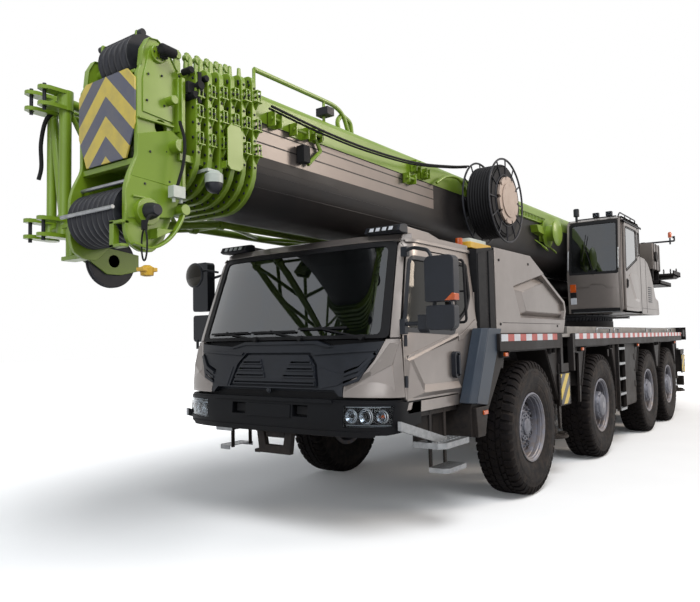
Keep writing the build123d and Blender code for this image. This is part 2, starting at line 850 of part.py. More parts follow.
# ---------------------------------------------------------------- operator's cab
operator_inner = 520
operator_outer = 1330
operator_wall = 40
operator_bottom = 1960
operator_rear_x = ahead(-5200)
operator_outline = [
    (ahead(-3890), operator_bottom),
    (ahead(-3850), 2560),
    (ahead(-3960), 3380),
    (ahead(-4080), 3470),
    (ahead(-5120), 3470),
    (operator_rear_x, 3390),
    (operator_rear_x, operator_bottom),
]
operator_inside = [
    (ahead(-3890) - operator_wall, operator_bottom + operator_wall),
    (ahead(-3850) - operator_wall, 2560),
    (ahead(-3960) - operator_wall, 3380 - 10),
    (ahead(-4080) - 10, 3470 - operator_wall),
    (ahead(-5120), 3470 - operator_wall),
    (operator_rear_x + operator_wall, 3390 - 20),
    (operator_rear_x + operator_wall, operator_bottom + operator_wall),
]
operator_screen_low = 2600
operator_screen_high = 3340
operator_screen_inner = operator_inner + 50
operator_screen_outer = operator_outer - 50
operator_door_opening = [
    (ahead(-4060), 2020),
    (ahead(-4060), 3320),
    (ahead(-4850), 3320),
    (ahead(-4850), 2020),
]
operator_side_window = [
    (ahead(-4060), 2560),
    (ahead(-4120), 3330),
    (ahead(-5080), 3330),
    (ahead(-5080), 2560),
]
operator_rear_low = 2950
operator_rear_high = 3320
door_skin = 35
door_slide_gap = part_line
rail_bottom = 3370


def operator_screen_x(z, inward):
    """X on the slope of the operator's windscreen at one height, moved back by a distance."""
    (low_x, low_z), (high_x, high_z) = operator_outline[1], operator_outline[2]
    return low_x + (high_x - low_x) * (z - low_z) / (high_z - low_z) - inward


with BuildPart() as operator_cab:
    side_prism(operator_outline, operator_inner, operator_outer)
    side_prism(
        operator_inside,
        operator_inner + operator_wall,
        operator_outer - operator_wall,
        mode=Mode.SUBTRACT,
    )
    block(
        ahead(-4120),
        ahead(-3800),
        operator_screen_inner,
        operator_screen_outer,
        operator_screen_low,
        operator_screen_high,
        mode=Mode.SUBTRACT,
    )
    side_prism(operator_door_opening, operator_outer - operator_wall - 1, operator_outer + 1, mode=Mode.SUBTRACT)
    side_prism(operator_side_window, operator_inner - 1, operator_inner + operator_wall + 1, mode=Mode.SUBTRACT)
    block(
        operator_rear_x - 1,
        operator_rear_x + operator_wall + 1,
        operator_screen_inner,
        operator_screen_outer,
        operator_rear_low,
        operator_rear_high,
        mode=Mode.SUBTRACT,
    )
    block(
        ahead(-5150),
        ahead(-4020),
        operator_outer - 1,
        half_width,
        rail_bottom,
        rail_bottom + 35,
    )
export(operator_cab, "operator_cab")

with BuildPart() as operator_glass:
    screen = [
        (operator_screen_x(operator_screen_low, 12), operator_screen_low),
        (operator_screen_x(operator_screen_high, 12), operator_screen_high),
        (operator_screen_x(operator_screen_high, 12 + pane_thickness), operator_screen_high),
        (operator_screen_x(operator_screen_low, 12 + pane_thickness), operator_screen_low),
    ]
    side_prism(screen, operator_screen_inner, operator_screen_outer)
    side_prism(operator_side_window, operator_inner + 15, operator_inner + 15 + pane_thickness)
    block(
        operator_rear_x + 15,
        operator_rear_x + 15 + pane_thickness,
        operator_screen_inner,
        operator_screen_outer,
        operator_rear_low,
        operator_rear_high,
    )
export(operator_glass, "operator_glass")

with BuildPart() as operator_seat:
    seat = [
        (ahead(-4950), operator_bottom + operator_wall),
        (ahead(-4900), 2380),
        (ahead(-5080), 3050),
        (ahead(-4980), 3070),
        (ahead(-4780), 2500),
        (ahead(-4420), 2480),
        (ahead(-4420), 2370),
        (ahead(-4600), operator_bottom + operator_wall),
    ]
    side_prism(seat, 680, 1160)
    for y0, y1 in ((585, 675), (1165, 1255)):
        block(ahead(-4850), ahead(-4450), y0, y1, operator_bottom + operator_wall, 2620)
export(operator_seat, "operator_seat")

with BuildPart() as operator_door:
    skin_inner = operator_outer + running_gap
    skin_outer = skin_inner + door_skin
    door_bottom = 1990
    block(ahead(-4880), ahead(-4030), skin_inner, skin_outer, door_bottom, rail_bottom - door_slide_gap)
    block(ahead(-4810), ahead(-4100), skin_inner - 1, skin_outer + 1, 2480, 3270, mode=Mode.SUBTRACT)
    block(ahead(-4810), ahead(-4100), skin_inner + 12, skin_inner + 12 + pane_thickness, 2480, 3270)
export(operator_door, "operator_door")

# ---------------------------------------------------------------- boom sections
section_count = 7
base_half_width = 450
base_half_height = 440
section_step = 38                # how far each section's faces lie inside those of the one before
section_wall = 10
slide_gap = 0.4                  # between a section and the wear pads in the mouth of the one before
mouth_x = ahead(3150)
collar_thickness = 60
collar_pitch = 95
collar_half_width = 505
collar_bottom = 2585
collar_top = 3605
collar_step = 15
lug_y = 190
lug_thickness = 24
lug_height = 175
base_rear_x = boom_foot_x - 450
section_rear_x = boom_foot_x + 300
section_rear_step = 30


def section_outline(half_wide, half_high, grow=0):
    """The boom's section: small radii at the top corners and large ones under its belly."""
    Rectangle(2 * (half_wide + grow), 2 * (half_high + grow))
    edge = half_wide / base_half_width
    fillet(vertices().group_by(Axis.Y)[0], 300 * edge + grow)
    fillet(vertices().group_by(Axis.Y)[-1], 60 * edge + grow)


def section_tube(half_wide, half_high, x0, x1):
    """One length of boom, hollow."""
    with BuildSketch(Plane.YZ.offset(x0)) as ring:
        with Locations((0, boom_height)):
            with BuildSketch(mode=Mode.PRIVATE) as outer:
                section_outline(half_wide, half_high)
            with BuildSketch(mode=Mode.PRIVATE) as inner:
                section_outline(half_wide, half_high, -section_wall)
            add(outer.sketch)
            add(inner.sketch, mode=Mode.SUBTRACT)
    extrude(ring.sketch, amount=x1 - x0)


def collar_plate(place, next_half_wide, next_half_high):
    """Plate around a section's mouth, with the wear pads that carry the next one, and two tall lugs."""
    x0 = mouth_x + place * collar_pitch
    shrink = place * collar_step
    half = collar_half_width - shrink
    with BuildSketch(Plane.YZ.offset(x0)) as plate:
        with Locations((0, (collar_bottom + collar_top) / 2)):
            with BuildSketch(mode=Mode.PRIVATE) as outer:
                Rectangle(2 * half, collar_top - collar_bottom - 2 * shrink)
                fillet(vertices().group_by(Axis.Y)[0], 320 * half / collar_half_width)
                fillet(vertices().group_by(Axis.Y)[-1], 60)
            add(outer.sketch)
        with Locations((0, boom_height)):
            with BuildSketch(mode=Mode.PRIVATE) as inner:
                section_outline(next_half_wide, next_half_high, slide_gap)
            add(inner.sketch, mode=Mode.SUBTRACT)
    extrude(plate.sketch, amount=collar_thickness)
    for side, sign in sides:
        inner_y, outer_y = on_side(sign, lug_y - lug_thickness / 2, lug_y + lug_thickness / 2)
        block(x0, x0 + collar_thickness, inner_y, outer_y, collar_top - shrink - 20, collar_top + lug_height)


def section_half_width(place):
    """Half width of a section, counted from 0 for the base."""
    return base_half_width - place * section_step


def section_half_height(place):
    """Half height of a section, counted from 0 for the base."""
    return base_half_height - place * section_step


jib_inner_y = 660
jib_outer_y = 1030
chord_radius = 38
bracket_places = (ahead(2700), ahead(-3600))
rod_eye_x = ahead(-2200)
neck_length = 190
eye_lug_inner = cylinder_eye_half + running_gap
eye_lug_outer = 120
boom_bottom = boom_height - base_half_height

with BuildPart() as boom_base:
    section_tube(base_half_width, base_half_height, base_rear_x, mouth_x + collar_thickness)
    collar_plate(0, section_half_width(1), section_half_height(1))
    for side, sign in sides:
        inner, outer = on_side(sign, base_half_width - 1, cheek_inner - running_gap)
        rod_y(pivot_radius + 60, inner, outer, boom_foot_x, boom_foot_height)
        inner, outer = on_side(sign, base_half_width - 1, cheek_outer)
        rod_y(pivot_radius, inner, outer, boom_foot_x, boom_foot_height)
        inner, outer = on_side(sign, eye_lug_inner, eye_lug_outer)
        lug = [
            (rod_eye_x - 240, boom_bottom + 1),
            (rod_eye_x - neck_length + 40, boom_bottom - 70),
            (rod_eye_x - 100, cylinder_z - 60),
            (rod_eye_x + 100, cylinder_z - 60),
            (rod_eye_x + 240, boom_bottom + 1),
        ]
        side_prism(lug, inner, outer)
    # Brackets that carry the stowed jib on the right side.
    for x in bracket_places:
        block(x - 40, x + 40, -jib_inner_y + chord_radius + part_line, 1 - base_half_width, 2700, 3300)
export(boom_base, "boom_base")

for place in range(1, section_count - 1):
    with BuildPart() as section:
        front_x = mouth_x + place * collar_pitch + collar_thickness
        rear_x = section_rear_x + (place - 1) * section_rear_step
        section_tube(section_half_width(place), section_half_height(place), rear_x, front_x)
        collar_plate(place, section_half_width(place + 1), section_half_height(place + 1))
    export(section, f"boom_section_{place + 1}")

# ---------------------------------------------------------------- last section with the boom's head
head_plate_inner = 290
head_plate_outer = 325
head_rear_x = ahead(3740)
head_face_x = ahead(4090)
head_flange_half = 385
head_outline = [
    (head_rear_x, 3470),
    (ahead(3840), 3610),
    (ahead(3930), 3665),
    (ahead(4010), 3650),
    (ahead(4050), 3560),
    (ahead(4060), 3440),
    (head_face_x, 3400),
    (head_face_x, 2840),
    (ahead(4180), 2640),
    (ahead(4180), 2330),
    (ahead(4080), 2215),
    (ahead(3960), 2215),
    (ahead(3860), 2330),
    (head_rear_x, 2600),
]
upper_sheave_x = ahead(3930)
upper_sheave_z = 3560
upper_sheave_radius = 165
upper_pack_half = 160
upper_pack_y = 60
lower_sheave_x = ahead(4030)
lower_sheave_z = 2475
lower_sheave_radius = 190
lower_pack_half = 260
sheave_axle_radius = 45
nose_pin_x = ahead(4035)
nose_y = -500
nose_low = 2225
nose_high = 2490
nose_lug = 30

with BuildPart() as boom_section_7:
    last = section_count - 1
    rear_x = section_rear_x + (last - 1) * section_rear_step
    section_tube(section_half_width(last), section_half_height(last), rear_x, head_rear_x + 60)
    block(head_rear_x, head_rear_x + 60, -head_flange_half, head_flange_half, 2610, 3440)
    for side, sign in sides:
        inner, outer = on_side(sign, head_plate_inner, head_plate_outer)
        side_prism(head_outline, inner, outer)
    for x, z in ((upper_sheave_x, upper_sheave_z), (lower_sheave_x, lower_sheave_z)):
        rod_y(sheave_axle_radius, -head_plate_outer, head_plate_outer, x, z)
    upper_start = upper_pack_y - upper_pack_half
    rod_y(upper_sheave_radius, upper_start, upper_start + 2 * upper_pack_half, upper_sheave_x, upper_sheave_z)
    rod_y(lower_sheave_radius, -lower_pack_half, lower_pack_half, lower_sheave_x, lower_sheave_z)
    # Nose sheet across both cheeks, its corners cut back.
    sheet_half = head_plate_outer - 5
    front_plate = [
        (-sheet_half, 3060),
        (-235, 2840),
        (235, 2840),
        (sheet_half, 3060),
        (sheet_half, 3350),
        (250, 3430),
        (-250, 3430),
        (-sheet_half, 3350),
    ]
    front_prism(front_plate, head_face_x - 2, head_face_x + 18)
    for z in (2860, 3180):
        block(ahead(3975), ahead(4000), -head_plate_inner - 1, head_plate_inner + 1, z, z + 40)
    # Hinge lugs of the folded nose sheave, on the right.
    for z in (nose_low, nose_high - nose_lug):
        block(nose_pin_x - 55, nose_pin_x + 55, nose_y - 55, 1 - head_plate_outer, z, z + nose_lug)
export(boom_section_7, "boom_section_7")

# ---------------------------------------------------------------- nose sheave, folded back along the head
nose_hub_x = ahead(3720)
nose_hub_z = 2246
nose_sheave_radius = 200
nose_sheave_half = 28
nose_cheek = 12

with BuildPart() as nose_sheave:
    low = nose_low + nose_lug + part_line
    high = nose_high - nose_lug - part_line
    rod_z(45, low, high, nose_pin_x, nose_y)
    for side, sign in sides:
        inner, outer = on_side(sign, nose_sheave_half + 4, nose_sheave_half + 4 + nose_cheek)
        arm = [
            (nose_pin_x - 30, low + 5),
            (nose_pin_x - 30, high - 5),
            (nose_hub_x + 150, high - 40),
            (nose_hub_x + 30, nose_hub_z + 90),
            (nose_hub_x - 220, nose_hub_z + 60),
            (nose_hub_x - 220, nose_hub_z - 60),
            (nose_hub_x - 60, nose_hub_z - 100),
            (nose_hub_x + 60, nose_hub_z - 100),
            (nose_pin_x - 70, low + 5),
        ]
        side_prism(arm, nose_y + inner, nose_y + outer)
    reach = nose_sheave_half + 4 + nose_cheek
    block(nose_pin_x - 32, nose_pin_x - 10, nose_y - reach, nose_y + reach, low + 5, high - 5)
    rod_y(nose_sheave_radius, nose_y - nose_sheave_half, nose_y + nose_sheave_half, nose_hub_x, nose_hub_z)
    rod_y(50, nose_y - reach, nose_y + reach, nose_hub_x, nose_hub_z)
export(nose_sheave, "nose_sheave")

# ---------------------------------------------------------------- hose reel on the boom's left side
reel_x = ahead(-600)
reel_z = 3210
reel_radius = 500
reel_inner_y = 560
reel_outer_y = 900
reel_rim = 30

with BuildPart() as hose_reel:
    rod_y(75, base_half_width, reel_outer_y, reel_x, reel_z)
    for y0 in (reel_inner_y, reel_outer_y - reel_rim):
        rod_y(reel_radius, y0, y0 + reel_rim, reel_x, reel_z)
        rod_y(reel_radius - 50, y0 - 1, y0 + reel_rim + 1, reel_x, reel_z, mode=Mode.SUBTRACT)
    rod_y(reel_radius - 40, reel_inner_y + 60, reel_outer_y - 60, reel_x, reel_z)
    rod_y(75, base_half_width, reel_outer_y, reel_x, reel_z)
    for y0 in (reel_inner_y, reel_outer_y - 90):
        for turn in range(4):
            with Locations(Location((reel_x, y0 + 45, reel_z), (0, turn * 45, 0))):
                Box(2 * reel_radius - 40, 90, 30)
    rod_y(275, reel_outer_y - 60, reel_outer_y + 40, reel_x, reel_z)
export(hose_reel, "hose_reel")

# ---------------------------------------------------------------- luffing cylinder
barrel_radius = 140
barrel_bore = 100.5
rod_radius = 100
barrel_length = 3080
rod_inner_start = 620
rod_eye_half = cylinder_eye_half
neck_half_height = 75
foot_neck = 130

with BuildPart() as luff_barrel:
    rod_x(barrel_radius, cylinder_foot_x + foot_neck, cylinder_foot_x + barrel_length, 0, cylinder_z)
    rod_x(barrel_bore, cylinder_foot_x + 260, cylinder_foot_x + barrel_length, 0, cylinder_z, mode=Mode.SUBTRACT)
    block(
        cylinder_foot_x,
        cylinder_foot_x + foot_neck + 1,
        -cylinder_eye_half,
        cylinder_eye_half,
        cylinder_z - neck_half_height,
        cylinder_z + neck_half_height,
    )
    rod_y(cylinder_eye_radius - 10, -cylinder_eye_half, cylinder_eye_half, cylinder_foot_x, cylinder_z)
export(luff_barrel, "luff_barrel")

with BuildPart() as luff_rod:
    rod_x(rod_radius, cylinder_foot_x + rod_inner_start, rod_eye_x - neck_length, 0, cylinder_z)
    block(
        rod_eye_x - neck_length - 1,
        rod_eye_x - 60,
        -rod_eye_half,
        rod_eye_half,
        cylinder_z - neck_half_height,
        cylinder_z + neck_half_height,
    )
    rod_y(cylinder_eye_radius, -rod_eye_half, rod_eye_half, rod_eye_x, cylinder_z)
    rod_y(55, -rod_eye_half, rod_eye_half, rod_eye_x, cylinder_z, mode=Mode.SUBTRACT)
export(luff_rod, "luff_rod")

# ---------------------------------------------------------------- lattice jib, stowed on the boom's right side
jib_rear_x = ahead(-5200)
jib_taper_x = ahead(2450)
jib_foot_x = ahead(4000)
jib_low_z = 2720
jib_high_z = 3260
foot_low_z = 2480
foot_high_z = 3440
foot_outer_y = 840
lace_radius = 22
post_radius = 45
flange_radius = 52
flange_thickness = 30
bays = 9
fork_plate = 20
fork_reach = 150

with BuildPart() as jib:
    corners = [
        # y and height along the jib, y and height at its foot
        (-jib_inner_y, jib_low_z, -jib_inner_y, foot_low_z),
        (-jib_inner_y, jib_high_z, -jib_inner_y, foot_high_z),
        (-jib_outer_y, jib_high_z, -foot_outer_y, foot_high_z),
        (-jib_outer_y, jib_low_z, -foot_outer_y, foot_low_z),
    ]
    for y, run_z, foot_y, foot_z in corners:
        # The foot is pinned to the lattice by flanges, a hairline apart.
        strut((jib_foot_x, foot_y, foot_z), (jib_taper_x + flange_thickness / 2, y, run_z), chord_radius)
        rod_x(flange_radius, jib_taper_x, jib_taper_x + flange_thickness, y, run_z)
        strut((jib_rear_x, y, run_z), (jib_taper_x - part_line, y, run_z), chord_radius)
    lattice_front_x = jib_taper_x - 2 * lace_radius
    bay = (lattice_front_x - jib_rear_x) / bays
    faces = [(corners[i], corners[(i + 1) % 4]) for i in range(4)]
    for first, second in faces:
        for step in range(bays):
            x = jib_rear_x + step * bay
            a, b = (first, second) if step % 2 == 0 else (second, first)
            strut((x, a[0], a[1]), (x + bay, b[0], b[1]), lace_radius)
        for x in (jib_rear_x + 30, lattice_front_x):
            strut((x, first[0], first[1]), (x, second[0], second[1]), lace_radius + 6)
    # Foot frame: two posts, two cross tubes and a diagonal, with fork ears in front.
    for y in (-jib_inner_y, -foot_outer_y):
        rod_z(post_radius, foot_low_z - 60, foot_high_z + 60, jib_foot_x, y)
        for z in (foot_low_z, foot_high_z):
            for offset in (-70, 50):
                block(
                    jib_foot_x,
                    machine_length / 2,
                    y - 40,
                    y + 40,
                    z + offset,
                    z + offset + fork_plate,
                )
    for z in (foot_low_z, foot_high_z):
        rod_y(post_radius - 7, -foot_outer_y, -jib_inner_y, jib_foot_x, z)
    strut((jib_foot_x, -jib_inner_y, foot_low_z), (jib_foot_x, -foot_outer_y, foot_high_z), 30)
export(jib, "jib")
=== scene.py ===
"""A four-axle all-terrain mobile crane, dressed with its panels, paint, tyres and fittings.

Every piece is a surface worked out from two parameters, or an outline carried along a path. Lengths are
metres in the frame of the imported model: +X forward, +Y to the machine's left, +Z up from the ground.
"""

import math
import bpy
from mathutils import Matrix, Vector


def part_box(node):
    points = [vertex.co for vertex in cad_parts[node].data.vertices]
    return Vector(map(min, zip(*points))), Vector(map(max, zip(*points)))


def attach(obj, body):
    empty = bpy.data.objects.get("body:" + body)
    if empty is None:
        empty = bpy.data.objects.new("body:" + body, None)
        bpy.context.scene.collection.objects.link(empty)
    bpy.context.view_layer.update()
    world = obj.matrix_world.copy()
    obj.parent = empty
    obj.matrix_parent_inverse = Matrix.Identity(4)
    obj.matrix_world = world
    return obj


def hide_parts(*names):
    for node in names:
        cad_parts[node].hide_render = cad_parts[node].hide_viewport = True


bl_info = {
    "name": "All-terrain mobile crane",
    "version": (1, 0, 0),
    "blender": (4, 5, 0),
    "location": "3D Viewport > Sidebar > Crane",
    "description": "Builds a four-axle mobile crane with a telescopic boom around its packed frame",
    "category": "Object",
}

import bmesh
import bpy
import numpy as np
from bpy.props import FloatProperty, FloatVectorProperty, IntProperty, PointerProperty
from mathutils import Matrix, Vector
from mathutils.geometry import delaunay_2d_cdt

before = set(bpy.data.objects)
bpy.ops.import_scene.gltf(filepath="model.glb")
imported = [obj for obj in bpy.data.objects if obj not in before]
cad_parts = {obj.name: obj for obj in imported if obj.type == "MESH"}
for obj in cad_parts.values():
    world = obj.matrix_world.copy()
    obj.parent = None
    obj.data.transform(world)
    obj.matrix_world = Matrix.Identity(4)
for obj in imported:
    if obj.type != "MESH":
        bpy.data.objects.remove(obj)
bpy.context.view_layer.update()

# ------------------------------------------------------------------ places read from the frame
def middle(node, axis):
    """Middle of a node's box along one axis."""
    low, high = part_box(node)
    return (low[axis] + high[axis]) / 2


FRONT_AXLE = middle("tyre_1_left", 0)
WHEEL_Y = middle("tyre_1_left", 1)
WHEEL_Z = middle("tyre_1_left", 2)
AXLES = [middle(f"tyre_{axle}_left", 0) for axle in (1, 2, 3, 4)]
SIDES = (("left", 1), ("right", -1))
BEAMS = [(place, side, sign) for place in ("front", "rear") for side, sign in SIDES]


def ahead(distance):
    """X of a place given by its distance ahead of the first axle."""
    return FRONT_AXLE + distance


def forward(points, columns=1):
    """Points whose first column turns from distances ahead of the first axle to X, or the first two."""
    points = np.array(points, float)
    points[:, :columns] += FRONT_AXLE
    return points


SLEW_X = ahead(-4.90)

# ------------------------------------------------------------------ shapes as whole arrays
class Form:
    """Points with faces kept as one run of corner numbers, each face's corner count, and its paint number."""

    def __init__(self, points, corners, counts, paints=0):
        self.points = np.asarray(points, float).reshape(-1, 3)
        self.corners = np.asarray(corners, int).ravel()
        self.counts = np.asarray(counts, int).ravel()
        self.paints = np.broadcast_to(np.asarray(paints, int), self.counts.shape).copy()

    def painted(self, paint):
        """The same form with every face given one paint number."""
        return Form(self.points, self.corners, self.counts, paint)

    def mapped(self, change):
        """The same form with its points changed as one array."""
        return Form(change(self.points), self.corners, self.counts, self.paints)

    def moved(self, x=0.0, y=0.0, z=0.0):
        """The form shifted by x, y and z."""
        return self.mapped(lambda points: points + (x, y, z))

    def turned(self, angle, axis, centre=(0, 0, 0)):
        """The form turned about an axis through a centre, by an angle in degrees."""
        turn = np.array(Matrix.Rotation(math.radians(angle), 3, axis))
        return self.mapped(lambda points: (points - centre) @ turn.T + centre)

    def mirrored(self):
        """The form seen in the plane Y = 0, with its faces reversed so that they still point outwards."""
        return Form(self.points * (1, -1, 1), self.corners[::-1], self.counts[::-1], self.paints[::-1])

    def both(self):
        """The form and its mirror image."""
        return join(self, self.mirrored())

    def on(self, sign):
        """The form for one side: itself on the left, mirrored on the right."""
        return self if sign > 0 else self.mirrored()

    def around(self, many, axis, centre, start=0.0):
        """Copies spaced evenly round an axis through a centre."""
        return join(*[self.turned(start + 360 * k / many, axis, centre) for k in range(many)])


def join(*forms):
    """Several forms as one."""
    starts = np.cumsum([0] + [len(form.points) for form in forms])
    return Form(np.vstack([form.points for form in forms]),
                np.concatenate([form.corners + start for form, start in zip(forms, starts)]),
                np.concatenate([form.counts for form in forms]),
                np.concatenate([form.paints for form in forms]))


def grid(points, across=False, along=False, caps=False, paints=0):
    """Surface through an (m, n, 3) grid of points. Rows may close on themselves (across), columns too
    (along), and caps close the first and last row with one face each. paints is one number or one for each
    cell."""
    rows, columns = points.shape[:2]
    number = np.arange(rows * columns).reshape(rows, columns)
    if across:
        number = np.hstack([number, number[:, :1]])
    if along:
        number = np.vstack([number, number[:1]])
    quads = np.stack([number[:-1, :-1], number[:-1, 1:], number[1:, 1:], number[1:, :-1]], -1)
    quads = quads.reshape(-1, 4)
    shades = np.broadcast_to(paints, (number.shape[0] - 1, number.shape[1] - 1)).ravel()
    corners, counts = quads.ravel(), np.full(len(quads), 4)
    if caps:
        first, last = np.arange(columns)[::-1], np.arange(columns) + (rows - 1) * columns
        corners = np.concatenate([corners, first, last])
        counts = np.concatenate([counts, [columns, columns]])
        shades = np.concatenate([shades, shades[:1], shades[-1:]])
    return Form(points, corners, counts, shades)


def axes_of(axis):
    """Two directions across an axis and the axis itself, as rows: u, v, w."""
    return {"x": np.array([(0, 1, 0), (0, 0, 1), (1, 0, 0)], float),
            "y": np.array([(1, 0, 0), (0, 0, 1), (0, 1, 0)], float),
            "z": np.array([(1, 0, 0), (0, 1, 0), (0, 0, 1)], float)}[axis]


def flat(axis):
    """Placing function of a flat sheet: u and v lie across the axis and w runs along it."""
    turn = axes_of(axis)
    return lambda u, v, w: np.stack([u, v, np.broadcast_to(w, np.shape(u))], -1) @ turn


def evened(ring, step):
    """A closed ring with every edge cut into equal pieces no longer than step: p(k) + f (p(k+1) - p(k))."""
    ring = np.asarray(ring, float)
    if step is None:
        return ring
    run = np.roll(ring, -1, 0) - ring
    many = np.maximum(1, np.ceil(np.hypot(*run.T) / step).astype(int))
    which = np.repeat(np.arange(len(ring)), many)
    part = (np.arange(many.sum()) - np.repeat(np.cumsum(many) - many, many)) / np.repeat(many, many)
    return ring[which] + part[:, None] * run[which]


def inside(points, ring):
    """Whether each point lies inside a closed ring: it does where a level line to it crosses the ring an
    odd number of times."""
    x, y = points[:, :1], points[:, 1:]
    x0, y0 = ring.T
    x1, y1 = np.roll(ring, -1, 0).T
    spans = (y0 > y) != (y1 > y)
    rise = np.where(y1 == y0, 1, y1 - y0)
    return (spans & (x < x0 + (y - y0) * (x1 - x0) / rise)).sum(1) % 2 == 1


def plate(outline, low, high, place, holes=(), step=None, paint=0):
    """Panel with an outline and holes in u and v, laid at two levels w = low and high by place(u, v, w),
    with walls round every edge. With a step its face is cut into triangles of about that size, so it can
    follow a curve."""
    rings = [evened(ring, step) for ring in (outline, *holes)]
    rim = np.vstack(rings)
    starts = np.cumsum([0] + [len(ring) for ring in rings])
    here = np.arange(len(rim))
    after = np.concatenate([np.roll(np.arange(a, b), -1) for a, b in zip(starts[:-1], starts[1:])])
    if step is None and not holes:
        face, counts, points = here, [len(here)], rim
    else:
        points = rim
        if step is not None:
            (u0, v0), (u1, v1) = rim.min(0), rim.max(0)
            u, v = np.meshgrid(np.arange(u0 + step / 2, u1, step), np.arange(v0 + step / 2, v1, step))
            fill = np.stack([u.ravel(), v.ravel()], -1)
            keep = inside(fill, rings[0])
            for ring in rings[1:]:
                keep &= ~inside(fill, ring)
            fill = fill[keep]
            gaps = np.hypot(*(fill[:, None] - rim[None]).transpose(2, 0, 1))
            near = gaps.min(1) if len(fill) else np.zeros(0)
            points = np.vstack([rim, fill[near > step * 0.45]])
        cut = delaunay_2d_cdt([Vector(p) for p in points], list(zip(here.tolist(), after.tolist())), [], 1,
                              1e-7)
        points = np.array([tuple(p) for p in cut[0]])
        face = np.array(cut[2], int).reshape(-1, 3)
        centres = points[face].mean(1)
        keep = inside(centres, rings[0])
        for ring in rings[1:]:
            keep &= ~inside(centres, ring)
        face = face[keep]
        counts = np.full(len(face), 3)
        face = face.ravel()
    many = len(points)
    both = np.vstack([place(points[:, 0], points[:, 1], low), place(points[:, 0], points[:, 1], high)])
    wall = np.stack([here, after, after + many, here + many], -1)
    back = np.concatenate([part[::-1] for part in np.split(face, np.cumsum(counts)[:-1])])
    corners = np.concatenate([back, face + many, wall.ravel()])
    return Form(both, corners, np.concatenate([counts, counts, np.full(len(wall), 4)]), paint)


def prism(outline, low, high, axis="y", holes=(), paint=0):
    """Outline carried straight along an axis from low to high. Its points are (x, z) for y, (y, z) for x,
    (x, y) for z."""
    return plate(outline, low, high, flat(axis), holes, None, paint)


def blocks(rows, paint=0):
    """Rectangular blocks from rows of x0, x1, y0, y1, z0, z1."""
    rows = np.asarray(rows, float).reshape(-1, 6)
    pick = np.array([(0, 2, 4), (1, 2, 4), (1, 3, 4), (0, 3, 4),
                     (0, 2, 5), (1, 2, 5), (1, 3, 5), (0, 3, 5)])
    cube = np.array([(3, 2, 1, 0), (4, 5, 6, 7), (0, 1, 5, 4), (1, 2, 6, 5), (2, 3, 7, 6), (3, 0, 4, 7)])
    corners = cube[None] + (np.arange(len(rows)) * 8)[:, None, None]
    return Form(rows[:, pick], corners, np.full(len(rows) * 6, 4), paint)


def blocks_ahead(rows, paint=0):
    """Rectangular blocks whose x0 and x1 are distances ahead of the first axle."""
    return blocks(forward(rows, 2), paint)


def spun(profile, centre, axis="y", steps=48, ring=False, paints=0):
    """Profile of (distance along the axis, radius) points turned once round it. A ring's profile closes on
    itself, and any other is closed by a flat cap at each end."""
    along, radius = np.asarray(profile, float).T
    angle = np.linspace(0, 2 * np.pi, steps, endpoint=False)
    u, v, w = axes_of(axis)
    across = np.cos(angle)[None, :, None] * u + np.sin(angle)[None, :, None] * v
    points = radius[:, None, None] * across + along[:, None, None] * w + np.asarray(centre, float)
    return grid(points, across=True, along=ring, caps=not ring, paints=paints)


def disc(centre, radius, low, high, axis="y", steps=24, paint=0):
    """Round bar or plate along an axis, from low to high of its centre."""
    return spun([(low, radius), (high, radius)], centre, axis, steps).painted(paint)


def bars(starts, ends, radius, sides=8, paint=0):
    """Straight round bars between pairs of points: a circle carried from each start to its end."""
    starts, ends = np.asarray(starts, float).reshape(-1, 3), np.asarray(ends, float).reshape(-1, 3)
    run = (ends - starts) / np.linalg.norm(ends - starts, axis=1, keepdims=True)
    other = np.where(np.abs(run[:, 2:]) > 0.9, (1.0, 0.0, 0.0), (0.0, 0.0, 1.0))
    u = np.cross(other, run)
    u /= np.linalg.norm(u, axis=1, keepdims=True)
    v = np.cross(run, u)
    angle = np.linspace(0, 2 * np.pi, sides, endpoint=False)
    ring = radius * (np.cos(angle)[None, :, None] * u[:, None] + np.sin(angle)[None, :, None] * v[:, None])
    points = np.stack([starts[:, None] + ring, ends[:, None] + ring], 1)
    here = np.arange(sides)
    after = np.roll(here, -1)
    wall = np.stack([here, after, after + sides, here + sides], -1).ravel()
    face = np.concatenate([here[::-1], here + sides, wall])
    corners = face[None] + (np.arange(len(starts)) * 2 * sides)[:, None]
    return Form(points, corners, np.tile([sides, sides] + [4] * sides, len(starts)), paint)


def bolts(places, direction, radius=0.012, height=0.012, sides=6, paint=0):
    """Bolt heads at an (n, 3) array of places, standing out along one direction."""
    places = np.asarray(places, float).reshape(-1, 3)
    return bars(places, places + np.asarray(direction, float) * height, radius, sides, paint)


def bent(points, radius, steps=5):
    """Path with its corners rounded: each is (1-t)^2 a + 2t(1-t) corner + t^2 b between points a radius
    before and after."""
    points = np.asarray(points, float)
    before, here, after = points[:-2], points[1:-1], points[2:]
    back, on = before - here, after - here
    reach_back, reach_on = (np.linalg.norm(run, axis=1, keepdims=True) for run in (back, on))
    start = here + back / reach_back * np.minimum(radius, reach_back * 0.48)
    stop = here + on / reach_on * np.minimum(radius, reach_on * 0.48)
    t = np.linspace(0, 1, steps)[None, :, None]
    curve = (1 - t) ** 2 * start[:, None] + 2 * t * (1 - t) * here[:, None] + t**2 * stop[:, None]
    return np.vstack([points[:1], curve.reshape(-1, 3), points[-1:]])


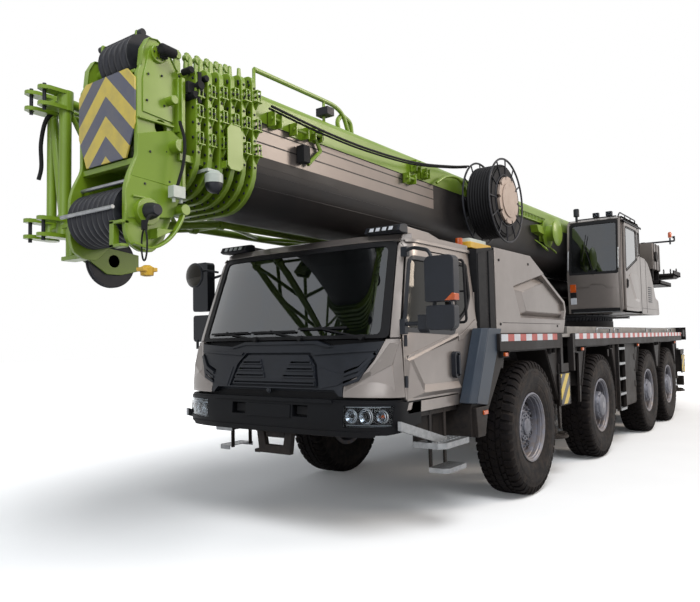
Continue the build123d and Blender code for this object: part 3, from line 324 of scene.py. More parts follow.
def smooth_path(points, steps=8):
    """Smooth path through points: on each span a cubic that leaves every point along the line between its
    neighbours."""
    p = np.asarray(points, float)
    p = np.vstack([2 * p[:1] - p[1:2], p, 2 * p[-1:] - p[-2:-1]])
    a, b, c, d = p[:-3, None], p[1:-2, None], p[2:-1, None], p[3:, None]
    t = np.linspace(0, 1, steps, endpoint=False)[None, :, None]
    square, cube = 2 * a - 5 * b + 4 * c - d, 3 * b - a - 3 * c + d
    curve = 0.5 * (2 * b + (c - a) * t + square * t**2 + cube * t**3)
    return np.vstack([curve.reshape(-1, 3), p[-2:-1]])


def carried(outline, path, up=(0, 0, 1), closed=False, paints=0, caps=True):
    """Outline in (side, up) carried along a path. At each point of the path the side direction is the run
    crossed with up, and the other direction is the side crossed with the run."""
    path = np.asarray(path, float)
    run = (np.roll(path, -1, 0) - np.roll(path, 1, 0)) if closed else np.gradient(path, axis=0)
    run /= np.linalg.norm(run, axis=1, keepdims=True)
    side = np.cross(run, up)
    side /= np.linalg.norm(side, axis=1, keepdims=True)
    over = np.cross(side, run)
    outline = np.asarray(outline, float)
    points = path[:, None] + outline[None, :, :1] * side[:, None] + outline[None, :, 1:] * over[:, None]
    return grid(points, across=True, along=closed, caps=caps and not closed, paints=paints)


def circle(radius, sides=8):
    """Outline of a circle."""
    angle = np.linspace(0, 2 * np.pi, sides, endpoint=False)
    return radius * np.stack([np.cos(angle), np.sin(angle)], -1)


def tube(path, radius, sides=8, closed=False, paint=0):
    """Round tube along a path. Its outline stands on the normal of the plane that the path lies nearest
    to."""
    path = np.asarray(path, float)
    normal = np.linalg.svd(path - path.mean(0))[2][-1]
    return carried(circle(radius, sides), path, normal, closed).painted(paint)


def rounded(half_wide, half_high, radii, steps=6, centre=(0, 0)):
    """Rectangle with a radius at each corner, from the lower left one round through the lower right."""
    signs = ((-1, -1, 180), (1, -1, 270), (1, 1, 0), (-1, 1, 90))
    radii = np.broadcast_to(radii, 4)
    turn = np.radians(np.linspace(0, 90, steps))
    parts = [np.stack([centre[0] + sx * (half_wide - r) + r * np.cos(np.radians(start) + turn),
                       centre[1] + sy * (half_high - r) + r * np.sin(np.radians(start) + turn)], -1)
             for (sx, sy, start), r in zip(signs, radii)]
    return np.vstack(parts)


def oblong(half_wide, half_high):
    """Outline of a flat bar, from its lower left corner round."""
    return [(-half_wide, -half_high), (half_wide, -half_high), (half_wide, half_high),
            (-half_wide, half_high)]


def round_points(centre, radius, many, start=0.0):
    """Points spaced evenly round a circle in X and Z: centre + radius (cos a, 0, sin a)."""
    angle = start + 2 * np.pi * np.arange(many) / many
    return np.asarray(centre, float) + radius * np.stack([np.cos(angle), 0 * angle, np.sin(angle)], -1)


def coils(centre, places, radius, wire, sides, steps):
    """Hose or rope wound on a drum along Y: a ring of a round wire at each place."""
    around = circle(wire, sides)
    return join(*[spun(around + (y, radius), centre, "y", steps, ring=True) for y in places])


def softened(outline, radius, steps=4):
    """Flat outline with every corner rounded, by the same curve as a bent path."""
    ring = np.asarray(outline, float)
    ring = np.hstack([ring, np.zeros((len(ring), 1))])
    return bent(np.vstack([ring[-1:], ring, ring[:1]]), radius, steps)[1:-1, :2]


# ------------------------------------------------------------------ finishes
def linear(code):
    """Linear colour of an sRGB hex value: each channel c gives ((c + 0.055) / 1.055) ** 2.4."""
    parts = [int(code[k : k + 2], 16) / 255 for k in (1, 3, 5)]
    return tuple(c / 12.92 if c <= 0.04045 else ((c + 0.055) / 1.055) ** 2.4 for c in parts) + (1.0,)


def add(tree, kind, sockets=None, **settings):
    """One node with its settings. A socket given another node's output is linked to it, and any other is
    set."""
    made = tree.nodes.new(kind)
    for name, value in settings.items():
        setattr(made, name, value)
    for key, value in (sockets or {}).items():
        if isinstance(value, bpy.types.NodeSocket):
            tree.links.new(value, made.inputs[key])
        else:
            made.inputs[key].default_value = value
    return made


def shade(colour):
    """Value of a colour socket: a hex value made linear, or a paint setting's colour."""
    return linear(colour) if isinstance(colour, str) else (*colour, 1.0)


MM = 0.001


def blank(name):
    """A new material, its tree, and the object's own coordinates in it."""
    made = bpy.data.materials.new(name)
    made.use_nodes = True
    made.node_tree.nodes.clear()
    return made, made.node_tree, add(made.node_tree, "ShaderNodeTexCoord").outputs["Object"]


def surface(name, clean, worn, roughness=(0.3, 0.45), cloud_mm=250, grain_mm=6, grain=0.05, dust=None,
            **shader):
    """Sprayed, moulded or machined surface: its colour drifts between two over cloud_mm, its roughness
    follows, and a fine grain of grain_mm stands on it. dust is (colour, height in metres below which it
    gathers)."""
    made, tree, place = blank(name)
    noise = add(tree, "ShaderNodeTexNoise",
                {"Vector": place, "Scale": 1 / (cloud_mm * MM), "Detail": 4.0, "Roughness": 0.6})
    clouds = noise.outputs["Fac"]
    drift = add(tree, "ShaderNodeMapRange", {0: clouds, 1: 0.35, 2: 0.7}).outputs[0]
    colour = add(tree, "ShaderNodeMix", {0: drift, 6: shade(clean), 7: shade(worn)},
                 data_type="RGBA").outputs[2]
    rough = add(tree, "ShaderNodeMapRange",
                {0: clouds, 1: 0.3, 2: 0.7, 3: roughness[0], 4: roughness[1]}).outputs[0]
    if dust:
        height = add(tree, "ShaderNodeSeparateXYZ", {0: place}).outputs["Z"]
        low = add(tree, "ShaderNodeMapRange", {0: height, 1: 0.2, 2: dust[1], 3: 1.0, 4: 0.0}).outputs[0]
        specks = add(tree, "ShaderNodeTexNoise",
                     {"Vector": place, "Scale": 1 / (60 * MM), "Detail": 5.0, "Roughness": 0.65})
        patches = add(tree, "ShaderNodeMapRange", {0: specks.outputs["Fac"], 1: 0.35, 2: 0.62}).outputs[0]
        cover = add(tree, "ShaderNodeMath", {0: low, 1: patches}, operation="MULTIPLY").outputs[0]
        colour = add(tree, "ShaderNodeMix", {0: cover, 6: colour, 7: linear(dust[0])},
                     data_type="RGBA").outputs[2]
    fine = add(tree, "ShaderNodeTexNoise", {"Vector": place, "Scale": 1 / (grain_mm * MM), "Detail": 2.0})
    bump = add(tree, "ShaderNodeBump",
               {"Height": fine.outputs["Fac"], "Strength": grain, "Distance": grain_mm * MM * 0.3})
    skin = add(tree, "ShaderNodeBsdfPrincipled",
               {"Base Color": colour, "Roughness": rough, "Normal": bump.outputs[0], **shader})
    add(tree, "ShaderNodeOutputMaterial", {0: skin.outputs[0]})
    return made


def lime_enamel():
    """Two-pack polyurethane enamel, sprayed on welded steel: an even lime green with a soft gloss and faint
    orange peel."""
    paint = bpy.context.scene.crane_paint
    return surface("lime polyurethane enamel, sprayed", paint.boom, paint.boom_worn, (0.34, 0.46), 700, 9,
                   0.05, IOR=1.48, **{"Coat Weight": 0.12, "Coat Roughness": 0.15})


def bronze_enamel():
    """Metallic enamel in a warm grey bronze, sprayed as a band: it darkens as it turns away from the
    light."""
    return surface("bronze metallic enamel, sprayed", "#5F5854", "#6B635F", (0.36, 0.46), 500, 5, 0.05,
                   Metallic=0.5, **{"Coat Weight": 0.15, "Coat Roughness": 0.15})


def belly_black():
    """Satin black enamel on the boom's belly, with a thin film of road dust."""
    return surface("black satin enamel, sprayed", "#191718", "#242120", (0.4, 0.52), 400, 8, 0.05, IOR=1.42,
                   **{"Specular IOR Level": 0.25})


def champagne_enamel():
    """Metallic base coat under clear lacquer: a warm champagne with fine flake that brightens where it
    faces the light."""
    paint = bpy.context.scene.crane_paint
    return surface("champagne metallic base coat, lacquered", paint.cab, paint.cab_worn, (0.32, 0.42), 600,
                   4, 0.04, Metallic=0.6, **{"Coat Weight": 0.25, "Coat Roughness": 0.1})


def slate_enamel():
    """Satin slate blue enamel of the panel between the cab and the wheel."""
    return surface("slate satin enamel, sprayed", "#2E3743", "#363F4A", (0.42, 0.52), 300, 6, 0.05, IOR=1.5,
                   dust=("#5A5048", 1.2), **{"Specular IOR Level": 0.25})


def grained_plastic():
    """Grained black ABS, moulded: the mask, roof pods and mirror shells, with a fine leathery grain."""
    return surface("black ABS, moulded with a grain", "#181B21", "#1F2229", (0.4, 0.52), 250, 5, 0.16,
                   IOR=1.5, **{"Specular IOR Level": 0.25})


def bumper_plastic():
    """Unpainted black polypropylene, moulded: darker and flatter than the mask, with dust low down."""
    return surface("black polypropylene, moulded", "#0D0E11", "#141518", (0.45, 0.6), 250, 6, 0.18,
                   IOR=1.45, dust=("#2B2623", 1.0), **{"Specular IOR Level": 0.12})


def soft_black():
    """Black rubber and weatherstrip, extruded: flat and slightly grey."""
    return surface("black EPDM rubber, extruded", "#141416", "#1D1D1F", (0.6, 0.75), 80, 4, 0.12, IOR=1.52,
                   **{"Specular IOR Level": 0.15})


def frame_enamel():
    """Dark grey chassis enamel, sprayed, with dry road dust on its lower parts."""
    return surface("graphite chassis enamel, sprayed", "#1E1C1D", "#282524", (0.45, 0.62), 300, 10, 0.08,
                   IOR=1.45, dust=("#3A332E", 1.4), **{"Specular IOR Level": 0.15})


def deck_steel():
    """Chequered steel deck, painted grey and rubbed bright where it is walked on."""
    return surface("painted chequer plate, rubbed", "#6B6864", "#8C8985", (0.42, 0.6), 120, 12, 0.3,
                   Metallic=0.3)


def wheel_enamel():
    """Silver-grey wheel enamel, baked on pressed steel, with brake dust near the hub."""
    return surface("silver wheel enamel, baked", "#7C7E8A", "#6A6C77", (0.42, 0.55), 180, 6, 0.06,
                   Metallic=0.15, dust=("#7A6E64", 1.2))


def beige_enamel():
    """Warm beige enamel on the hose reel's face, sprayed on spun steel."""
    return surface("beige enamel, sprayed on spun steel", "#A8978B", "#9A8A7F", (0.4, 0.5), 200, 5, 0.04,
                   Metallic=0.3)


def hub_steel():
    """Cast hub and nuts under grey paint, a shade darker than the disc."""
    return surface("painted cast iron, rubbed", "#6E7079", "#5B5C64", (0.45, 0.6), 90, 5, 0.2, Metallic=0.4)


def chrome():
    """Hard chrome on a ground rod: bright and nearly even."""
    return surface("hard chrome, ground", "#C9CACC", "#BDBEC1", (0.08, 0.14), 90, 3, 0.02, Metallic=1.0)


def zinc_steel():
    """Zinc-plated steel and aluminium treads: a pale, slightly cloudy grey."""
    return surface("zinc-plated steel, brushed", "#8E9092", "#797B7E", (0.35, 0.5), 60, 3, 0.12,
                   Metallic=0.8)


def dark_steel():
    """Bare dark steel of pins, sheaves and guards under a film of grease."""
    return surface("oiled dark steel, machined", "#191A1F", "#26272D", (0.4, 0.6), 60, 5, 0.1,
                   Metallic=0.25, **{"Specular IOR Level": 0.3})


def signal_yellow():
    """Signal yellow powder coat on tanks, weights and beacons' bases."""
    return surface("yellow powder coat, baked", "#CFA52B", "#BF9526", (0.4, 0.5), 120, 4, 0.08, IOR=1.5)


def orange_lens():
    """Amber acrylic lens, moulded: orange and glossy with light in its depth."""
    return surface("amber acrylic, moulded", "#C8581E", "#AE4A18", (0.12, 0.2), 60, 5, 0.05, IOR=1.49)


def tape_red():
    """Red retroreflective tape with a fine grid of cells, drawn coarse enough to show."""
    return surface("red reflective tape, embossed", "#A8321F", "#95291A", (0.3, 0.42), 120, 6, 0.1, IOR=1.5)


def tape_white():
    """White retroreflective tape beside the red."""
    return surface("white reflective tape, embossed", "#C9CCD2", "#B4B7BE", (0.3, 0.42), 120, 6, 0.1,
                   IOR=1.5)


def pale_plastic():
    """Light grey polycarbonate of junction boxes and lamps' rims."""
    return surface("light grey polycarbonate, moulded", "#B9C0B8", "#A8AFA8", (0.4, 0.5), 120, 4, 0.06,
                   IOR=1.58)


def lamp_inside():
    """Vapour-plated lamp bowl: a bright mirror with soft ripples."""
    return surface("vapour-plated lamp bowl", "#A2A6AB", "#6E7277", (0.10, 0.22), 12, 6, 0.5, Metallic=1.0)


def seat_cloth():
    """Woven dark grey seat cloth over foam, its threads drawn at 6 mm so that they show."""
    return surface("dark grey polyester weave", "#2A2A2D", "#353539", (0.75, 0.9), 90, 6, 0.35,
                   **{"Sheen Weight": 0.3})


def lens_glass():
    """Clear polycarbonate lamp cover, moulded: the bowls show through it under a thin sheen."""
    made, tree, place = blank("clear polycarbonate, moulded")
    haze = add(tree, "ShaderNodeTexNoise",
               {"Vector": place, "Scale": 1 / (60 * MM), "Detail": 2.0}).outputs["Fac"]
    rough = add(tree, "ShaderNodeMapRange", {0: haze, 1: 0.4, 2: 0.7, 3: 0.0, 4: 0.04}).outputs[0]
    skin = add(tree, "ShaderNodeBsdfPrincipled",
               {"Roughness": rough, "Base Color": linear("#DDE3E8"), "IOR": 1.2,
                "Transmission Weight": 1.0})
    add(tree, "ShaderNodeOutputMaterial", {0: skin.outputs[0]})
    return made


def tinted_glass():
    """Green-grey laminated windscreen glass, floated: dark from outside, with the seats just visible
    through it."""
    made, tree, place = blank("tinted laminated glass, floated")
    film = add(tree, "ShaderNodeTexNoise",
               {"Vector": place, "Scale": 1 / (400 * MM), "Detail": 3.0}).outputs["Fac"]
    rough = add(tree, "ShaderNodeMapRange", {0: film, 1: 0.4, 2: 0.7, 3: 0.01, 4: 0.05}).outputs[0]
    skin = add(tree, "ShaderNodeBsdfPrincipled",
               {"Roughness": rough, "Base Color": linear("#2C3234"), "IOR": 1.52,
                "Transmission Weight": 0.92, "Specular IOR Level": 0.9,
                "Specular Tint": (0.80, 0.88, 1.0, 1.0), "Coat Weight": 1.0, "Coat IOR": 1.65,
                "Coat Roughness": 0.02})
    add(tree, "ShaderNodeOutputMaterial", {0: skin.outputs[0]})
    return made


def smoked_glass():
    """Smoked toughened side glass, floated: nearly black from outside, with a faint sheen."""
    made, tree, place = blank("smoked toughened glass, floated")
    film = add(tree, "ShaderNodeTexNoise",
               {"Vector": place, "Scale": 1 / (350 * MM), "Detail": 3.0}).outputs["Fac"]
    rough = add(tree, "ShaderNodeMapRange", {0: film, 1: 0.4, 2: 0.7, 3: 0.02, 4: 0.08}).outputs[0]
    skin = add(tree, "ShaderNodeBsdfPrincipled",
               {"Roughness": rough, "Base Color": linear("#1B1A17"), "IOR": 1.45,
                "Transmission Weight": 0.6, "Specular IOR Level": 0.1,
                "Specular Tint": (0.9, 0.85, 0.75, 1.0)})
    add(tree, "ShaderNodeOutputMaterial", {0: skin.outputs[0]})
    return made


def mirror_glass():
    """Silvered mirror glass."""
    return surface("silvered mirror glass", "#B8C2CC", "#AEB8C2", (0.02, 0.05), 300, 20, 0.01, Metallic=1.0)


def tyre_rubber():
    """Carbon-black tyre rubber, vulcanised: matt, brown with dry dust in its grooves and low on the
    sidewall."""
    made, tree, place = blank("tyre rubber, vulcanised")
    clouds = add(tree, "ShaderNodeTexNoise",
                 {"Vector": place, "Scale": 1 / (90 * MM), "Detail": 5.0, "Roughness": 0.65}).outputs["Fac"]
    cover = add(tree, "ShaderNodeMapRange", {0: clouds, 1: 0.42, 2: 0.72, 3: 0.0, 4: 0.75}).outputs[0]
    colour = add(tree, "ShaderNodeMix", {0: cover, 6: linear("#151314"), 7: linear("#3A322D")},
                 data_type="RGBA").outputs[2]
    fine = add(tree, "ShaderNodeTexNoise", {"Vector": place, "Scale": 1 / (7 * MM), "Detail": 3.0})
    bump = add(tree, "ShaderNodeBump", {"Height": fine.outputs["Fac"], "Strength": 0.25, "Distance": 0.002})
    skin = add(tree, "ShaderNodeBsdfPrincipled",
               {"Base Color": colour, "Normal": bump.outputs[0], "Roughness": 0.8, "IOR": 1.52,
                "Specular IOR Level": 0.2})
    add(tree, "ShaderNodeOutputMaterial", {0: skin.outputs[0]})
    return made


def tread_rubber():
    """Worn face of the tread and its lugs: blacker than the sidewall, faintly scuffed."""
    return surface("tyre tread, scuffed rubber", "#141214", "#211D1B", (0.7, 0.85), 60, 4, 0.15, IOR=1.4,
                   **{"Specular IOR Level": 0.12})


def striped(name, first, second, pitch, lean, across, folded):
    """Sheet with slanted bands of two colours: a point's band number is (Z + lean times its side distance)
    / pitch, where the side distance is read on the axis across, and has no sign where the bands are folded
    in the middle."""
    made, tree, place = blank(name)
    split = add(tree, "ShaderNodeSeparateXYZ", {0: place})
    side = split.outputs[across]
    if folded:
        side = add(tree, "ShaderNodeMath", {0: side}, operation="ABSOLUTE").outputs[0]
    slant = add(tree, "ShaderNodeMath", {0: side, 1: lean, 2: split.outputs["Z"]}, operation="MULTIPLY_ADD")
    band = add(tree, "ShaderNodeMath", {0: slant.outputs[0], 1: pitch}, operation="DIVIDE")
    part = add(tree, "ShaderNodeMath", {0: band.outputs[0]}, operation="FRACT")
    pick = add(tree, "ShaderNodeMath", {0: part.outputs[0], 1: 0.5}, operation="GREATER_THAN").outputs[0]
    colour = add(tree, "ShaderNodeMix", {0: pick, 6: linear(first), 7: linear(second)},
                 data_type="RGBA").outputs[2]
    clouds = add(tree, "ShaderNodeTexNoise",
                 {"Vector": place, "Scale": 1 / (120 * MM), "Detail": 4.0, "Roughness": 0.6}).outputs["Fac"]
    dirt = add(tree, "ShaderNodeMapRange", {0: clouds, 1: 0.4, 2: 0.75, 3: 0.0, 4: 0.35}).outputs[0]
    dulled = add(tree, "ShaderNodeMix", {0: dirt, 6: colour, 7: linear("#6E6A5E")},
                 data_type="RGBA").outputs[2]
    cells = add(tree, "ShaderNodeTexNoise", {"Vector": place, "Scale": 1 / (8 * MM), "Detail": 1.0})
    bump = add(tree, "ShaderNodeBump", {"Height": cells.outputs["Fac"], "Strength": 0.1, "Distance": 0.002})
    skin = add(tree, "ShaderNodeBsdfPrincipled",
               {"Base Color": dulled, "Normal": bump.outputs[0], "Roughness": 0.42, "IOR": 1.5})
    add(tree, "ShaderNodeOutputMaterial", {0: skin.outputs[0]})
    return made


def chevron_sheet():
    """Reflective sheet with inverted V bands in yellow and grey on the boom's nose."""
    return striped("chevron reflective sheet", "#CDB74E", "#4C4F60", 0.275, 0.95, "Y", True)


def hazard_sheet():
    """Reflective sheet with slanted yellow and black bands on the outriggers' end plates."""
    return striped("hazard reflective sheet", "#D2B426", "#1B1B1C", 0.25, 1.0, "X", False)


def in_sight(tree):
    """One for a ray from the eye, through glass or off metal, and zero for the light that a surface sends
    on."""
    rays = add(tree, "ShaderNodeLightPath")
    seen = rays.outputs["Is Camera Ray"]
    for kind in ("Is Transmission Ray", "Is Glossy Ray"):
        seen = add(tree, "ShaderNodeMath", {0: seen, 1: rays.outputs[kind]}, operation="MAXIMUM").outputs[0]
    return seen


def pale_floor():
    """Pale studio floor, painted matt. The eye, glass and metal see it white, with the shadow kept near the
    crane and a glow that grows with distance, so that it meets the backdrop without a line. It sends little
    light back up at the object."""
    made, tree, place = blank("pale floor, painted matt")
    clouds = add(tree, "ShaderNodeTexNoise",
                 {"Vector": place, "Scale": 1 / (900 * MM), "Detail": 3.0}).outputs["Fac"]
    colour = add(tree, "ShaderNodeMix", {0: clouds, 6: linear("#F6F6F6"), 7: linear("#F0F0F0")},
                 data_type="RGBA").outputs[2]
    matt = add(tree, "ShaderNodeBsdfDiffuse", {"Color": colour, "Roughness": 0.6}).outputs[0]
    narrow = add(tree, "ShaderNodeVectorMath", {0: place, 1: (0.45, 1.0, 1.0)},
                 operation="MULTIPLY").outputs["Vector"]
    away = add(tree, "ShaderNodeVectorMath", {0: narrow}, operation="LENGTH").outputs["Value"]
    strength = add(tree, "ShaderNodeMapRange", {0: away, 1: 2.5, 2: 8.5, 3: 0.02, 4: 1.0},
                   interpolation_type="SMOOTHSTEP").outputs[0]
    glow = add(tree, "ShaderNodeEmission", {"Strength": strength}).outputs[0]
    both = add(tree, "ShaderNodeAddShader", {0: matt, 1: glow}).outputs[0]
    dark = add(tree, "ShaderNodeBsdfDiffuse", {"Color": linear("#8A8988"), "Roughness": 0.6}).outputs[0]
    skin = add(tree, "ShaderNodeMixShader", {0: in_sight(tree), 1: dark, 2: both})
    add(tree, "ShaderNodeOutputMaterial", {0: skin.outputs[0]})
    return made


FINISHES = {"lime": lime_enamel, "bronze": bronze_enamel, "belly": belly_black,
            "champagne": champagne_enamel, "slate": slate_enamel, "abs": grained_plastic,
            "bumper": bumper_plastic, "rubber": soft_black, "frame": frame_enamel, "deck": deck_steel,
            "wheel": wheel_enamel, "hub": hub_steel, "chrome": chrome, "zinc": zinc_steel,
            "steel": dark_steel, "yellow": signal_yellow, "amber": orange_lens, "red": tape_red,
            "white": tape_white, "pale": pale_plastic, "bowl": lamp_inside, "cloth": seat_cloth,
            "lens": lens_glass, "glass": tinted_glass, "mirror": mirror_glass, "tyre": tyre_rubber,
            "chevron": chevron_sheet, "hazard": hazard_sheet, "floor": pale_floor, "beige": beige_enamel,
            "tread": tread_rubber, "smoked": smoked_glass}
made_finishes = {}


def finish(key):
    """The material of one finish, made once."""
    if key not in made_finishes:
        made_finishes[key] = FINISHES[key]()
    return made_finishes[key]


def piece(name, form, finishes, body, replaces=(), bevel_mm=0.0, segments=1, smooth=35):
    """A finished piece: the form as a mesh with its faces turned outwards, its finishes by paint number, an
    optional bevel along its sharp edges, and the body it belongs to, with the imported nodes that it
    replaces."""
    mesh = bpy.data.meshes.new(name)
    mesh.vertices.add(len(form.points))
    mesh.vertices.foreach_set("co", form.points.astype(np.float32).ravel())
    mesh.loops.add(len(form.corners))
    mesh.loops.foreach_set("vertex_index", form.corners.astype(np.int32))
    mesh.polygons.add(len(form.counts))
    mesh.polygons.foreach_set("loop_start", (np.cumsum(form.counts) - form.counts).astype(np.int32))
    for key in finishes:
        mesh.materials.append(finish(key))
    mesh.polygons.foreach_set("material_index", form.paints.astype(np.int32))
    mesh.update(calc_edges=True)
    mesh.validate()
    shell = bmesh.new()
    shell.from_mesh(mesh)
    bmesh.ops.recalc_face_normals(shell, faces=shell.faces)
    shell.to_mesh(mesh)
    shell.free()
    mesh.shade_smooth()
    mesh.set_sharp_from_angle(angle=math.radians(smooth))
    made = bpy.data.objects.new(name, mesh)
    bpy.context.scene.collection.objects.link(made)
    if bevel_mm:
        edge = made.modifiers.new("rounded edges", "BEVEL")
        edge.width = bevel_mm * MM
        edge.segments = segments
        edge.limit_method = "ANGLE"
        edge.angle_limit = math.radians(40)
        edge.harden_normals = False
    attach(made, body)
    if replaces:
        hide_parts(*replaces)
    return made


def refinish(node, key):
    """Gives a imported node, whose shape stays, its finish."""
    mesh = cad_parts[node].data
    mesh.materials.clear()
    mesh.materials.append(finish(key))


# ------------------------------------------------------------------ sizes and colours that a user may change
class CraneBoomSettings(bpy.types.PropertyGroup):
    """Sizes of the boom's dress."""

    band_top: FloatProperty(name="Band top", description="Height of the bronze band's upper edge",
                            default=3.29, unit="LENGTH")
    band_low: FloatProperty(name="Band bottom", description="Height of the bronze band's lower edge",
                            default=3.027, unit="LENGTH")
    bolt_pitch: FloatProperty(name="Bolt pitch", description="Spacing of the bolts round a collar",
                              default=0.11, unit="LENGTH")


class CraneWheelSettings(bpy.types.PropertyGroup):
    """Sizes of the tyres and wheels."""

    lugs: IntProperty(name="Tread lugs", description="Shoulder lugs round one tyre", default=46, min=20,
                      max=70, subtype="UNSIGNED")
    lug_depth: FloatProperty(name="Lug depth", description="Depth of the tread's grooves", default=0.022,
                             unit="LENGTH")
    nuts: IntProperty(name="Wheel nuts", description="Nuts round one wheel's hub", default=10, min=6, max=20,
                      subtype="UNSIGNED")


class CraneCabSettings(bpy.types.PropertyGroup):
    """Sizes of the carrier cab's dress."""

    seam: FloatProperty(name="Seam", description="Width of the gaps between panels", default=0.006,
                        unit="LENGTH")
    skin: FloatProperty(name="Panel thickness", description="Depth of a panel's returned edge",
                        default=0.03, unit="LENGTH")


def paint_setting(name, place, code):
    """Colour setting of an enamel, with the linear colour of an sRGB hex value as its default."""
    return FloatVectorProperty(name=name, description=f"Colour of the enamel on {place}", subtype="COLOR",
                               min=0.0, max=1.0, default=linear(code)[:3])


class CranePaintSettings(bpy.types.PropertyGroup):
    """The two main paints, each with the colour that it drifts to where it is worn."""

    boom: paint_setting("Boom", "the boom and the jib", "#74901F")
    boom_worn: paint_setting("Boom, worn", "the boom and the jib where it is worn", "#688219")
    cab: paint_setting("Cabs", "the cabs and the hood", "#817A76")
    cab_worn: paint_setting("Cabs, worn", "the cabs and the hood where it is worn", "#746E6B")


class CraneStageSettings(bpy.types.PropertyGroup):
    """The floor, the lamps and the camera."""

    focal_length: FloatProperty(name="Focal length",
                                description="Camera's focal length in millimetres on a 36 mm film",
                                default=34.24, unit="CAMERA")
    key_power: FloatProperty(name="Key light", description="Power of the main lamp in watts",
                             default=2300.0, unit="POWER")
    sky: FloatProperty(name="Sky", description="Strength of the even light from all round", default=0.45,
                       min=0.0, max=2.0, subtype="FACTOR")


# ------------------------------------------------------------------ the boom's surface
BOOM_Z = 3.090
BASE_HALF_WIDE, BASE_HALF_HIGH, SECTION_STEP = 0.450, 0.440, 0.038
MOUTH = ahead(3.150)
WALL, BELLY_RADIUS, TOP_RADIUS = 0.012, 0.300, 0.060
BAND_LINES = ((3.128, 3.140), (3.229, 3.241))
COLLAR_PITCH, COLLAR_THICK, COLLAR_STEP = 0.095, 0.060, 0.015
COLLAR_HALF, COLLAR_LOW, COLLAR_HIGH = 0.505, 2.585, 3.605
LIME, BRONZE, BLACK = 0, 1, 2


def boom_outline(place, grow=0.0):
    """Section of one boom part in Y and Z: small radii at its top corners and large ones under its belly."""
    wide, high = BASE_HALF_WIDE - place * SECTION_STEP, BASE_HALF_HIGH - place * SECTION_STEP
    edge = wide / BASE_HALF_WIDE
    low_radius, high_radius = BELLY_RADIUS * edge + grow, TOP_RADIUS * edge + grow
    return rounded(wide + grow, high + grow, (low_radius, low_radius, high_radius, high_radius), 10,
                   (0, BOOM_Z))


def ring_tube(outer, inner, x0, x1, paints=0):
    """Hollow length along X between two outlines with as many points each: out along the outside, back
    along the inside."""
    points = np.stack([np.column_stack([np.full(len(line), x), line])
                       for x, line in ((x0, outer), (x1, outer), (x1, inner), (x0, inner))])
    return grid(points, across=True, along=True, paints=paints)


def banded_tube():
    """The base section: its outline cut at the heights where its paint changes, carried along the boom in
    two lengths. Green lies above the band; the bronze band with two dark lines runs from the mouth back,
    and black lies below."""
    settings = bpy.context.scene.crane_boom
    cuts = [settings.band_low, *np.ravel(BAND_LINES), settings.band_top]
    base = boom_outline(0)
    order = np.argsort(np.arctan2(base[:, 1] - BOOM_Z, base[:, 0]))
    ring = base[order]
    extra = np.array([(sign * BASE_HALF_WIDE, z) for z in cuts for sign in (-1, 1)])
    ring = np.vstack([ring, extra])
    ring = ring[np.argsort(np.arctan2(ring[:, 1] - BOOM_Z, ring[:, 0]))]
    z = (ring[:, 1] + np.roll(ring[:, 1], -1)) / 2
    dark = (z < settings.band_low) | np.any([(z > low) & (z < high) for low, high in BAND_LINES], 0)
    front = np.where(z > settings.band_top, LIME, np.where(dark, BLACK, BRONZE))
    rear = np.where(z > settings.band_top, LIME, BLACK)
    x0, band_end, x1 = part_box("boom_base")[0].x, ahead(0.36), MOUTH + COLLAR_THICK
    centre = np.array([0, BOOM_Z])
    inner = centre + (ring - centre) * (1 - WALL / BASE_HALF_HIGH)
    stations = [(x0, ring), (band_end, ring), (x1, ring), (x1, inner), (x0, inner)]
    points = np.stack([np.column_stack([np.full(len(line), x), line]) for x, line in stations])
    many = len(ring)
    paints = np.stack([rear, front, front, np.full(many, BLACK), np.full(many, BLACK)])
    return grid(points, across=True, along=True, paints=paints)


